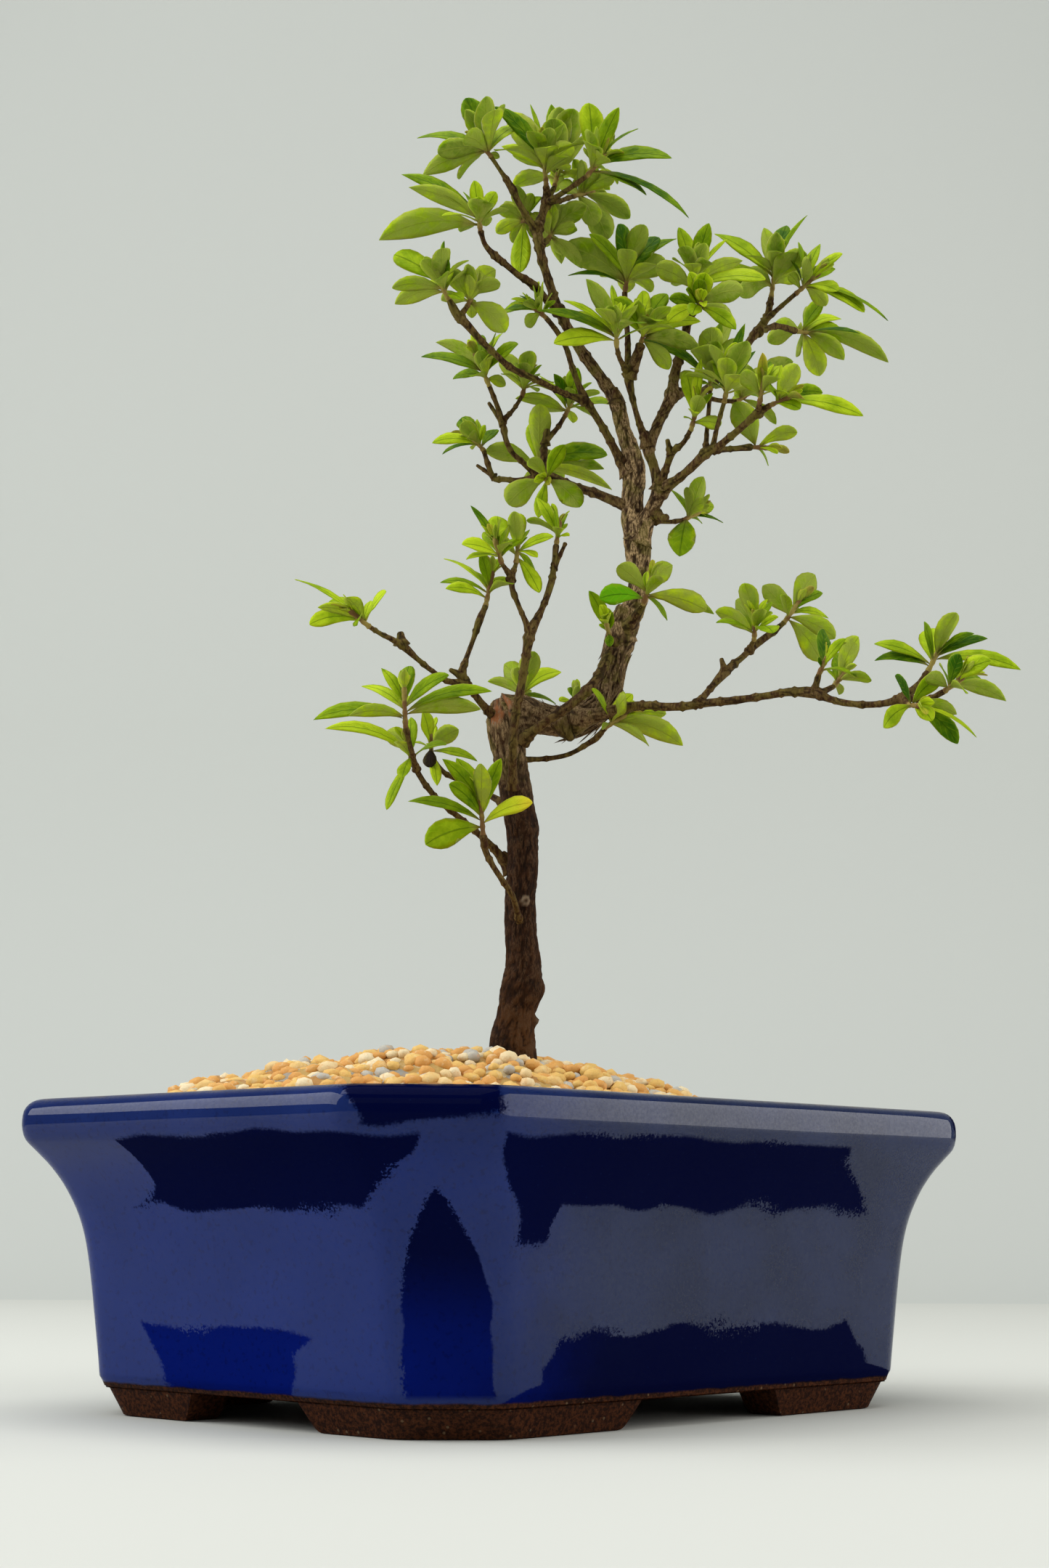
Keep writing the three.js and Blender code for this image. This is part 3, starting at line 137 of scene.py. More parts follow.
class Noise:
    """Repeatable noise in space: hashed numbers at whole coordinates, blended between them."""

    def __init__(self, seed: int) -> None:
        """Keeps the seed that sets this noise apart from others."""
        self.seed = np.uint64(seed)

    def _hashed(self, cells: Array) -> Array:
        """Numbers from 0 to 1 for whole coordinates, mixed by multiplying and shifting bits."""
        cells = cells.astype(np.int64).view(np.uint64) & np.uint64(0xFFFFFFFF)
        mixed = (cells[..., 0] * np.uint64(374761393) + cells[..., 1] * np.uint64(668265263)
                 + cells[..., 2] * np.uint64(2246822519) + self.seed * np.uint64(3266489917))
        mixed = ((mixed ^ (mixed >> np.uint64(15))) * np.uint64(2654435761)) & np.uint64(0xFFFFFFFF)
        mixed = ((mixed ^ (mixed >> np.uint64(13))) * np.uint64(1274126177)) & np.uint64(0xFFFFFFFF)
        return (mixed ^ (mixed >> np.uint64(16))).astype(float) / 2.0 ** 32

    def at(self, points: Array) -> Array:
        """Noise from -1 to 1 at points, one feature about as large as a step of one."""
        cell = np.floor(points)
        share = points - cell
        share = share * share * (3 - 2 * share)
        total = np.zeros(points.shape[:-1])
        for corner in np.ndindex(2, 2, 2):
            offset = np.array(corner)
            weight = np.prod(np.where(offset == 1, share, 1 - share), axis=-1)
            total += weight * self._hashed(cell + offset)
        return 2 * total - 1

    def layered(self, points: Array, octaves: int = 3) -> Array:
        """Noise with finer noise on it: the sum of noise(2^k p) / 2^k, kept about -1 to 1."""
        total = sum(self.at(points * 2 ** k + 17.3 * k) / 2 ** k for k in range(octaves))
        return total / (2 - 2.0 ** (1 - octaves))

    def ridged(self, points: Array, octaves: int = 3) -> Array:
        """Sharp crests at 1 and broad hollows towards 0: 1 - |layered noise| squared."""
        return (1 - np.abs(self.layered(points, octaves))) ** 2


@dataclass
class Surface:
    """Points in millimetres and the faces between them, with values marked on both.

    Attributes:
        points: Rows of x, y, z.
        faces: Arrays of corner numbers, each with faces of one corner count.
        marks: Named numbers, one for each point.
        face_marks: Named numbers, one for each face in order.
        uv: Pattern coordinates of each point, where the surface has them.
    """

    points: Array
    faces: list[Array]
    marks: dict[str, Array] = field(default_factory=dict)
    face_marks: dict[str, Array] = field(default_factory=dict)
    uv: Array | None = None

    def face_count(self) -> int:
        """How many faces there are."""
        return sum(len(group) for group in self.faces)


def joined(surfaces: list[Surface]) -> Surface:
    """Puts surfaces into one, filling marks that one of them lacks with 0."""
    starts = np.cumsum([0] + [len(s.points) for s in surfaces])
    names = sorted({name for s in surfaces for name in s.marks})
    face_names = sorted({name for s in surfaces for name in s.face_marks})
    has_uv = any(s.uv is not None for s in surfaces)
    return Surface(
        np.vstack([s.points for s in surfaces]),
        [group + start for s, start in zip(surfaces, starts) for group in s.faces],
        {name: np.concatenate([s.marks.get(name, np.zeros(len(s.points))) for s in surfaces])
         for name in names},
        {name: np.concatenate([s.face_marks.get(name, np.zeros(s.face_count()))
                               for s in surfaces]) for name in face_names},
        np.vstack([s.uv if s.uv is not None else np.zeros((len(s.points), 2))
                   for s in surfaces]) if has_uv else None,
    )


def skin(rings: Array, marks: dict[str, Array] | None = None,
         face_marks: dict[str, Array] | None = None, uv: Array | None = None) -> Surface:
    """Skins stacks of rings into closed bodies.

    Every body's first and last ring shrink to one point each, at their mean. Faces look
    outwards where the rings run anticlockwise as seen from the last ring.

    Args:
        rings: Bodies x rings x points round each ring x 3.
        marks: Named values, bodies x rings x points.
        face_marks: Named values for the columns of faces round a ring.
        uv: Bodies x rings x points x 2.

    Returns:
        The bodies as one surface.
    """
    bodies, count, around = rings.shape[:3]
    inner = (count - 2) * around
    size = inner + 2

    def flat(values: Array) -> Array:
        """Values of all points, the two poles of each body last."""
        values = values.reshape(bodies, count, around, -1)
        poles = values[:, [0, -1]].mean(axis=2)
        whole = np.concatenate([values[:, 1:-1].reshape(bodies, inner, -1), poles], axis=1)
        return whole.reshape(bodies * size, -1)

    start = (np.arange(bodies) * size)[:, None, None]
    row = (np.arange(count - 3) * around)[None, :, None]
    here = np.arange(around)[None, None, :]
    there = (here + 1) % around
    quads = np.stack([start + row + here, start + row + there,
                      start + row + around + there, start + row + around + here], axis=-1)
    last = (count - 3) * around
    foot = np.stack(np.broadcast_arrays(start + inner, start + there, start + here), axis=-1)
    head = np.stack(np.broadcast_arrays(
        start + inner + 1, start + last + here, start + last + there), axis=-1)
    columns = {name: np.asarray(values) for name, values in (face_marks or {}).items()}
    return Surface(
        flat(rings),
        [quads.reshape(-1, 4), foot.reshape(-1, 3), head.reshape(-1, 3)],
        {name: flat(np.broadcast_to(values, rings.shape[:3]))[:, 0]
         for name, values in (marks or {}).items()},
        {name: np.tile(values, bodies * (count - 1)) for name, values in columns.items()},
        flat(uv) if uv is not None else None,
    )


def capped(rings: Array) -> Surface:
    """Skins one stack of rings, rings x points x 3, closing its ends at their means."""
    ends = [np.broadcast_to(rings[end].mean(axis=0), rings.shape[1:]) for end in (0, -1)]
    return skin(np.stack([ends[0], *rings, ends[1]])[None])


def band(rings: Array) -> Surface:
    """Skins a closed run of rings, whose last joins its first: rings x points x 3."""
    count, around = rings.shape[:2]
    here = np.arange(around)
    there = (here + 1) % around
    row = (np.arange(count) * around)[:, None]
    above = (np.roll(np.arange(count), -1) * around)[:, None]
    quads = np.stack([row + here, row + there, above + there, above + here], axis=-1)
    return Surface(rings.reshape(-1, 3), [quads.reshape(-1, 4)])


class Workshop:
    """Makes scene objects of surfaces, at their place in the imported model's frame."""

    def __init__(self) -> None:
        """Finds how far the pot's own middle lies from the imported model's origin."""
        low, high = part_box("pot")
        middle = np.array((low + high) / 2)
        self.shift = np.array([middle[0], middle[1], low[2]])

    def node_points(self, name: str) -> Array:
        """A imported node's points, in the pot's millimetres."""
        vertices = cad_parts[name].data.vertices
        flat = np.empty(3 * len(vertices))
        vertices.foreach_get("co", flat)
        return (flat.reshape(-1, 3) - self.shift) / MILLIMETRE

    def mesh(self, name: str, surface: Surface) -> bpy.types.Mesh:
        """Writes a surface into a new mesh.

        Args:
            name: The mesh's name.
            surface: The surface, in the pot's millimetres.

        Returns:
            The mesh, smooth and in metres, with the surface's marks.
        """
        mesh = bpy.data.meshes.new(name)
        corners = np.concatenate([group.ravel() for group in surface.faces])
        sizes = np.concatenate([np.full(len(g), g.shape[1]) for g in surface.faces])
        mesh.vertices.add(len(surface.points))
        mesh.loops.add(len(corners))
        mesh.polygons.add(len(sizes))
        places = surface.points * MILLIMETRE + self.shift
        mesh.vertices.foreach_set("co", places.ravel().astype(np.float32))
        mesh.polygons.foreach_set("loop_start", (np.cumsum(sizes) - sizes).astype(np.int32))
        mesh.loops.foreach_set("vertex_index", corners.astype(np.int32))
        mesh.update(calc_edges=True)
        mesh.shade_smooth()
        for domain, named in (("POINT", surface.marks), ("FACE", surface.face_marks)):
            for mark, values in named.items():
                attribute = mesh.attributes.new(mark, "FLOAT", domain)
                attribute.data.foreach_set("value", values.astype(np.float32))
        if surface.uv is not None:
            layer = mesh.uv_layers.new(name="UVMap")
            layer.data.foreach_set("uv", surface.uv[corners].ravel().astype(np.float32))
        return mesh

    def place(self, name: str, mesh: bpy.types.Mesh, material: bpy.types.Material,
              slot: Slot) -> bpy.types.Object:
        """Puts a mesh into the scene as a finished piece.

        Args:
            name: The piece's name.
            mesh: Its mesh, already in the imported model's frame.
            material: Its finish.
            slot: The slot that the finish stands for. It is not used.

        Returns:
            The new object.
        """
        mesh.materials.clear()
        mesh.materials.append(material)
        piece = bpy.data.objects.new(name, mesh)
        bpy.context.scene.collection.objects.link(piece)
        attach(piece, "root")
        logger.info("%s: %d faces", name, len(mesh.polygons))
        return piece

    def carve(self, base: bpy.types.Mesh, tool: bpy.types.Mesh, carving: Carving) -> bpy.types.Mesh:
        """Cuts a tool out of a base mesh, or adds it, and clears both away.

        Args:
            base: The mesh to work on.
            tool: The mesh to cut out or add.
            carving: Which of the two.

        Returns:
            The new mesh.
        """
        holder = bpy.data.objects.new("carved", base)
        cutter = bpy.data.objects.new("cutter", tool)
        for item in (holder, cutter):
            bpy.context.scene.collection.objects.link(item)
        modifier = holder.modifiers.new("carve", "BOOLEAN")
        modifier.operation = carving.value
        modifier.solver = "EXACT"
        modifier.object = cutter
        graph = bpy.context.evaluated_depsgraph_get()
        result = bpy.data.meshes.new_from_object(holder.evaluated_get(graph))
        for item in (holder, cutter):
            bpy.data.objects.remove(item)
        for mesh in (base, tool):
            bpy.data.meshes.remove(mesh)
        return result


def dress(node_name: str, material: bpy.types.Material) -> None:
    """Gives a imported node, kept as it is, its finish."""
    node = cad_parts[node_name]
    if node.material_slots:
        node.material_slots[0].material = material
    else:
        node.data.materials.append(material)
    logger.info("%s: packed node kept", node_name)


class Value:
    """One socket of a shader, on which arithmetic makes Math nodes."""

    def __init__(self, graph: "Graph", socket: bpy.types.NodeSocket) -> None:
        """Keeps the socket and the graph it belongs to."""
        self.graph = graph
        self.socket = socket

    def __add__(self, other: "Value | float") -> "Value":
        """This plus other."""
        return self.graph.math("ADD", self, other)

    def __radd__(self, other: float) -> "Value":
        """Other plus this."""
        return self.graph.math("ADD", other, self)

    def __sub__(self, other: "Value | float") -> "Value":
        """This minus other."""
        return self.graph.math("SUBTRACT", self, other)

    def __rsub__(self, other: float) -> "Value":
        """Other minus this."""
        return self.graph.math("SUBTRACT", other, self)

    def __mul__(self, other: "Value | float") -> "Value":
        """This times other."""
        return self.graph.math("MULTIPLY", self, other)

    def __rmul__(self, other: float) -> "Value":
        """Other times this."""
        return self.graph.math("MULTIPLY", other, self)

    def size(self) -> "Value":
        """This without its sign."""
        return self.graph.math("ABSOLUTE", self)

    def at_least(self, other: "Value | float") -> "Value":
        """The larger of this and other."""
        return self.graph.math("MAXIMUM", self, other)

    def at_most(self, other: "Value | float") -> "Value":
        """The smaller of this and other."""
        return self.graph.math("MINIMUM", self, other)

    def wave(self) -> "Value":
        """The sine of this."""
        return self.graph.math("SINE", self)

    def step(self, low: float, high: float) -> "Value":
        """0 up to low, 1 from high on, and smooth between; low may be the larger."""
        node = self.graph.node("ShaderNodeMapRange", {"interpolation_type": "SMOOTHSTEP"},
                               {0: self, 1: low, 2: high, 3: 0.0, 4: 1.0})
        return Value(self.graph, node.outputs[0])


class Graph:
    """A material's nodes, added one by one."""

    def __init__(self, name: str) -> None:
        """Starts a material with an empty tree."""
        self.material = bpy.data.materials.new(name)
        self.material.use_nodes = True
        self.tree = self.material.node_tree
        self.tree.nodes.clear()

    def node(self, kind: str, settings: dict[str, object] | None = None,
             inputs: dict[str | int, object] | None = None) -> bpy.types.Node:
        """Adds a node.

        Args:
            kind: Its type.
            settings: Its properties by name.
            inputs: Its inputs by name or number: a Value is linked, all else is set.

        Returns:
            The node.
        """
        node = self.tree.nodes.new(kind)
        for name, setting in (settings or {}).items():
            setattr(node, name, setting)
        for key, given in (inputs or {}).items():
            if isinstance(given, Value):
                self.tree.links.new(given.socket, node.inputs[key])
            elif isinstance(given, tuple) and node.inputs[key].type == "RGBA":
                node.inputs[key].default_value = (*given, 1.0)
            else:
                node.inputs[key].default_value = given
        return node

    def math(self, operation: str, *terms: Value | float) -> Value:
        """A Math node's result."""
        node = self.node("ShaderNodeMath", {"operation": operation}, dict(enumerate(terms)))
        return Value(self, node.outputs[0])

    def mix(self, share: Value | float, first: Value | Colour, second: Value | Colour) -> Value:
        """The colour share of the way from first to second."""
        node = self.node("ShaderNodeMix", {"data_type": "RGBA"}, {0: share, 6: first, 7: second})
        return Value(self, node.outputs[2])

    def coated(self, colour: Value | Colour, *coats: tuple[Value | float, Value | Colour]) -> Value:
        """A colour with others laid over it in turn, each given by its share and the colour."""
        for share, coat in coats:
            colour = self.mix(share, colour, coat)
        return colour

    def tinted(self, colour: Value, factor: Value | float) -> Value:
        """A colour with its lightness multiplied by a factor."""
        node = self.node("ShaderNodeVectorMath", {"operation": "SCALE"}, {0: colour, "Scale": factor})
        return Value(self, node.outputs[0])

    def place(self, stretch: Colour = (1.0, 1.0, 1.0)) -> Value:
        """Where a point is in the object, in millimetres, stretched by factors along x, y, z."""
        where = self.node("ShaderNodeTexCoord").outputs["Object"]
        scale = tuple(1 / (MILLIMETRE * factor) for factor in stretch)
        node = self.node("ShaderNodeMapping", None, {"Vector": Value(self, where), "Scale": scale})
        return Value(self, node.outputs[0])

    def part(self, vector: Value, axis: int) -> Value:
        """One of a vector's three numbers."""
        return Value(self, self.node("ShaderNodeSeparateXYZ", None, {0: vector}).outputs[axis])

    def mark(self, name: str) -> Value:
        """A number marked on the mesh."""
        return Value(self, self.node("ShaderNodeAttribute", {"attribute_name": name}).outputs["Fac"])

    def pattern(self) -> tuple[Value, Value]:
        """The two pattern coordinates."""
        uv = Value(self, self.node("ShaderNodeUVMap", {"uv_map": "UVMap"}).outputs[0])
        return self.part(uv, 0), self.part(uv, 1)

    def noise(self, where: Value, size: float, detail: float = 2.0, roughness: float = 0.5,
              distortion: float = 0.0) -> Value:
        """Soft noise from about 0.3 to 0.7 with features of a size in millimetres."""
        node = self.node("ShaderNodeTexNoise", None, {
            "Vector": where, "Scale": 1 / size, "Detail": detail, "Roughness": roughness,
            "Distortion": distortion})
        return Value(self, node.outputs[0])

    def spots(self, where: Value, size: float) -> tuple[Value, Value]:
        """Cells of a size in millimetres: the distance to each one's middle, and its number."""
        node = self.node("ShaderNodeTexVoronoi", None, {"Vector": where, "Scale": 1 / size})
        return Value(self, node.outputs["Distance"]), self.part(Value(self, node.outputs["Color"]), 0)

    def bump(self, height: Value, depth: float = 1.0) -> Value:
        """A normal from a height, of which 1 stands for a depth in millimetres."""
        inputs = {"Height": height, "Distance": depth * MILLIMETRE, "Strength": 1.0}
        return Value(self, self.node("ShaderNodeBump", None, inputs).outputs[0])

    def shaded(self, **inputs: object) -> bpy.types.Material:
        """Ends the graph in one principled shader.

        Args:
            inputs: The shader's inputs, with _ for each space in their names.

        Returns:
            The finished material.
        """
        named = {key.replace("_", " "): given for key, given in inputs.items()}
        shader = self.node("ShaderNodeBsdfPrincipled", None, named)
        out = self.node("ShaderNodeOutputMaterial")
        self.tree.links.new(shader.outputs[0], out.inputs["Surface"])
        return self.material


@dataclass(frozen=True)
class GlazeFinish:
    """Deep cobalt glaze over brown clay, bare at the feet and breaking thin at the lip.

    Dark reflections are painted in: the glaze is dark and dull in a band under the lip, in
    one above the feet and down the cut corners. Elsewhere it lies even, under a bright glassy
    skin. Light is painted too: one end of the pot is a brighter, purer blue, most of all low down.
    """

    middle: Pair
    deep: Colour = (0.0004, 0.0012, 0.023)
    cobalt: Colour = (0.0012, 0.0075, 0.044)
    milky: Colour = (0.0045, 0.0130, 0.062)
    azure: Colour = (0.0035, 0.0185, 0.150)
    lapis: Colour = (0.0006, 0.0060, 0.120)
    thin: Colour = (0.110, 0.080, 0.065)
    clay: Colour = (0.072, 0.023, 0.009)
    clay_dark: Colour = (0.016, 0.006, 0.004)
    grog: Colour = (0.240, 0.160, 0.090)
    bare_to: float = 9.6
    lip_top: float = 90.0
    corner_body: float = 24.5
    corner_lean: float = 12.5
    corner_half: float = 26.0
    upper_band: Pair = (59.0, 78.0)
    upper_far_inset: float = 21.0
    upper_flare: float = 1.7
    lobe_depth: float = 9.0
    lobe_reach: Pair = (19.0, 12.0)
    lower_band: float = 26.0
    lower_slope: float = 0.9
    lower_short_inset: float = 24.5
    flame_half: float = 16.0
    flame_straight: float = 30.0
    flame_rise: float = 34.0
    # Where along X the painted light of the brighter end fades in.
    painted_lit_span: Pair = (-45.0, -115.0)

    def painted_dark_reflection(self, graph: Graph, where: Value, height: Value, ragged: Value) -> Value:
        """Where dark reflections are painted: two bands along the faces and a flame down each cut corner.

        |x| - |y| runs along the wall from the middle of a long side to the middle of a
        short one. A corner's middle lies on it at corner_body + corner_lean (z / lip_top)^2.
        A band is a range of heights times a least distance from the corner, which changes
        with height and is larger at a face's far end. On a long side the upper band has a
        lobe that hangs down by the corner, and the lower one spreads towards the feet. With
        r = (z - flame_straight) / flame_rise, the flame narrows by 8 r^2 (r + 1).

        Args:
            graph: The material's nodes.
            where: The point in the object.
            height: Its height above the floor.
            ragged: Noise in millimetres that frays the edges.

        Returns:
            1 where a dark reflection is painted, 0 elsewhere.
        """
        x = graph.part(where, 0) - self.middle[0]
        y = graph.part(where, 1) - self.middle[1]
        lean = height * height * (self.corner_lean / self.lip_top ** 2)
        along = x.size() - y.size() - self.corner_body - lean
        short_side = along.step(-1, 1)
        far = (x + y).step(-130, -90)
        off_corner = along.size()
        beside = off_corner + ragged - self.corner_half
        low, high = self.upper_band
        above = (height - low).at_least(0)
        level = height + ragged * 0.55
        far_end = (far * (self.upper_far_inset + above * self.upper_flare)
                   + far * short_side * (1 + above))
        ends = beside - far_end + above * (1 - far) * short_side * 1.3
        hanging = beside.step(*self.lobe_reach) * (1 - short_side) * (1 - far) * self.lobe_depth
        under_lip = (level + hanging).step(low - 0.5, low + 0.7) * ends.step(1.0, 2.5)
        under_lip = under_lip * (height + ragged * 0.3).step(high + 0.6, high - 0.8)
        shorter = short_side * (self.lower_short_inset - far * 10.5) + (1 - short_side) * far * 2
        spread = (16 - height) * (self.lower_slope - short_side * 1.5)
        spread = spread + (14 - height).at_least(0) * (1 - short_side) * 3
        above_feet = (level.step(self.lower_band + 1.0, self.lower_band - 0.2)
                      * (beside - shorter + spread).step(7.0, 8.5))
        rise = ((height - self.flame_straight) * (1 / self.flame_rise)).at_least(0)
        narrowing = rise * rise * (rise + 1) * 8
        flame = (off_corner + ragged * 0.35 - self.flame_half + narrowing).step(0.6, -0.6)
        flame = flame * height.step(self.bare_to + 0.4, self.bare_to + 2.4)
        lip_corner = (off_corner + ragged - self.corner_half).step(2.5, 0) * level.step(80.5, 82.0)
        bands = under_lip.at_least(above_feet)
        return bands.at_least(flame).at_least(lip_corner)

    def make(self) -> bpy.types.Material:
        """Builds the material from the height above the floor and layered noise."""
        graph = Graph("cobalt_glaze")
        where = graph.place()
        height = graph.part(where, 2)
        drift = graph.noise(where, 30, 3)
        fine = graph.noise(where, 1.5, 2)
        speckle, _ = graph.spots(where, 2.3)
        pinhole, chance = graph.spots(where, 7.5)
        wander = graph.noise(where, 9, 2) - 0.5
        bulge = graph.noise(graph.place((2.2, 2.2, 1.0)), 13, 1) - 0.5
        torn = graph.noise(where, 24, 1).step(0.50, 0.62)
        streaks = (graph.noise(graph.place((4.0, 4.0, 0.8)), 2.4, 3, 0.6) - 0.5) * (2.0 + torn * 7)
        peel = graph.noise(where, 0.8, 3, 0.7)
        fray = (peel - 0.5) * (6 + torn * 16)
        # Painted dark reflections: dark bands under the lip, above the feet and down the cut corners, with
        # less coat there.
        painted_dark_reflection = self.painted_dark_reflection(graph, where, height, bulge * 17 + streaks + fray)
        # Painted light: one end is a brighter, purer blue, most of all low down, and its painted dark
        # reflections turn a brighter blue low down.
        painted_lit_end = (graph.part(where, 0) - self.middle[0] + wander * 20).step(*self.painted_lit_span)
        painted_light_blue = painted_lit_end * (0.6 + drift * 0.6) * (height.step(88, 68) * 0.6 + 0.4)
        dark = graph.mix(painted_lit_end * height.step(50, 20), self.deep, self.lapis)
        edge = (height + wander * 0.8).step(self.lip_top - 0.9, self.lip_top + 0.1)
        colour = graph.coated(
            self.cobalt, (drift.step(0.38, 0.64), self.milky), (painted_light_blue, self.azure), (painted_dark_reflection * 0.94, dark),
            (speckle.step(0.16, 0.05) * fine.step(0.45, 0.6) * 0.4, self.milky),
            (fine.step(0.56, 0.70) * 0.3, self.deep),
            (edge * graph.noise(where, 5, 3).step(0.36, 0.60) * 0.8, self.thin))
        grit = graph.noise(where, 1.1, 4, 0.7)
        grog_far, grog_kind = graph.spots(where, 2.2)
        grog = grog_far.step(0.26, 0.12) * grog_kind.step(0.80, 0.86)
        glazed = (height + wander * 1.4).step(self.bare_to - 0.35, self.bare_to + 0.35)
        colour = graph.mix(glazed, graph.coated(self.clay_dark, (grit.step(0.38, 0.66), self.clay),
                                                (grog * 0.4, self.grog)), colour)
        pit = pinhole.step(0.075, 0.03) * chance.step(0.70, 0.74)
        relief = (graph.noise(where, 34, 1) * 0.9 + graph.noise(where, 4.2, 1) * 0.07
                  + fine * 0.012 - pit * 0.10) * glazed
        relief = relief + (1 - glazed) * (grit * 0.35 + grog * 0.15)
        return graph.shaded(
            Base_Color=colour,
            Roughness=0.55,
            Specular_IOR_Level=0.0,
            Coat_IOR=1.55,
            Coat_Roughness=0.025,
            # Less coat on the painted dark reflections and on the end painted brighter.
            Coat_Weight=(glazed * (0.66 - painted_lit_end * 0.24) * (1 - painted_dark_reflection * 0.94) * (0.5 + peel)
                         + (1 - glazed) * 0.10),
            Normal=graph.bump(relief),
        )


@dataclass(frozen=True)
class ScreenFinish:
    """Black moulded plastic with a fine grain."""

    base: Colour = (0.016, 0.019, 0.023)
    dusty: Colour = (0.060, 0.052, 0.042)

    def make(self) -> bpy.types.Material:
        """Builds the material: dust in blotches over a fine grain."""
        graph = Graph("screen_plastic")
        where = graph.place()
        dust = graph.noise(where, 6, 3)
        return graph.shaded(
            Base_Color=graph.mix(dust.step(0.45, 0.7) * 0.7, self.base, self.dusty),
            Roughness=0.5 + dust * 0.3,
            Normal=graph.bump(graph.noise(where, 0.5, 2), 0.04),
        )


@dataclass(frozen=True)
class GravelFinish:
    """Weathered gravel: golden, orange, cream and a few grey grains."""

    golden: Colour = (0.74, 0.47, 0.130)
    orange: Colour = (0.67, 0.33, 0.080)
    cream: Colour = (0.80, 0.67, 0.42)
    grey: Colour = (0.46, 0.44, 0.38)
    brown: Colour = (0.33, 0.20, 0.085)

    def make(self, by_mark: bool) -> bpy.types.Material:
        """Builds the material.

        Args:
            by_mark: Whether each grain's tint is marked on the mesh, or comes from cells.

        Returns:
            The material.
        """
        graph = Graph("gravel_grains" if by_mark else "gravel_bed")
        where = graph.place()
        tint = graph.mark("tint") if by_mark else graph.spots(where, 4.6)[1]
        cloud = graph.noise(where, 2.4, 3, 0.6)
        fine = graph.noise(where, 0.55, 3, 0.65)
        colour = graph.coated(
            self.orange, (tint.step(0.22, 0.42), self.golden), (tint.step(0.62, 0.82), self.cream),
            (tint.step(0.90, 0.92), self.grey), (cloud.step(0.54, 0.72) * 0.4, self.cream),
            (cloud.step(0.48, 0.34) * 0.4, self.orange), (fine.step(0.60, 0.72) * 0.45, self.brown))
        # The bed shows only between the grains; its colour is darkened to 0.6, painted shade between them.
        if not by_mark:
            colour = graph.tinted(colour, 0.6)
        relief = cloud * 0.30 + fine * 0.12
        return graph.shaded(
            Base_Color=colour,
            Roughness=0.45 + cloud * 0.35,
            Specular_IOR_Level=0.3,
            Normal=graph.bump(relief),
        )


@dataclass(frozen=True)
class BarkFinish:
    """Dark reddish bark on the trunk, greyer and more fibrous above the elbow.

    Ridges are lighter than the bark between them and the fissures are painted darker, painted
    shade; algae tint the upper limbs olive, and twigs are brown.
    """

    umber: Colour = (0.012, 0.005, 0.002)
    red_brown: Colour = (0.042, 0.016, 0.006)
    rust: Colour = (0.115, 0.046, 0.012)
    low_ridge: Colour = (0.085, 0.044, 0.020)
    grey_brown: Colour = (0.150, 0.096, 0.045)
    high_ridge: Colour = (0.530, 0.360, 0.180)
    olive: Colour = (0.140, 0.122, 0.018)
    young: Colour = (0.128, 0.082, 0.024)
    sawn: Colour = (0.270, 0.098, 0.036)
    scar: Colour = (0.230, 0.165, 0.105)
    elbow_at: float = 205.0
    crown_at: float = 255.0

    def make(self) -> bpy.types.Material:
        """Builds the material from the marked fissures, girth, cuts and scars."""
        graph = Graph("azalea_bark")
        where = graph.place()
        upright = graph.place((1.0, 1.0, 2.6))
        height = graph.part(where, 2)
        fissure = graph.mark("fissure")
        girth = graph.mark("girth")
        streak = graph.noise(upright, 1.0, 4, 0.65)
        blotch = graph.noise(where, 7, 3, 0.6)
        fine = graph.noise(upright, 0.42, 3, 0.7)
        ridge = (1 - fissure).step(0.40, 0.95) * fine.step(0.40, 0.62)
        low = graph.coated(
            self.umber, (streak.step(0.36, 0.66), self.red_brown),
            (height.step(150, 112) * blotch.step(0.44, 0.60) * 0.5, self.rust),
            (ridge * 0.7, self.low_ridge))
        high = graph.coated(
            self.red_brown, (streak.step(0.34, 0.60), self.grey_brown),
            (ridge * height.step(self.elbow_at + 10, self.crown_at).at_least(0.45), self.high_ridge),
            (blotch.step(0.52, 0.62) * 0.45, self.olive))
        young = graph.coated(
            self.red_brown, (streak.step(0.36, 0.62), self.young),
            (blotch.step(0.48, 0.60) * height.step(170, 240) * 0.5, self.olive))
        old = graph.mix(height.step(self.elbow_at - 22, self.elbow_at), low, high)
        rough = blotch.step(0.34, 0.62).at_least(height.step(self.elbow_at - 5, self.elbow_at + 10))
        cut = graph.mix(streak.step(0.46, 0.66), self.sawn, self.scar)
        # Painted shade: where the bark is rough its fissures are painted dark umber.
        colour = graph.coated(
            young, (girth.step(0.17, 0.42), old), (fissure.step(0.45, 1.0) * rough * 0.78, self.umber),
            (graph.mark("sawn"), cut), (graph.mark("scar"), self.scar))
        relief = streak * 0.45 + fine * 0.25
        return graph.shaded(
            Base_Color=colour,
            Roughness=0.62 + streak * 0.26,
            Specular_IOR_Level=0.08,
            Normal=graph.bump(relief * (0.35 + girth * 0.9)),
        )


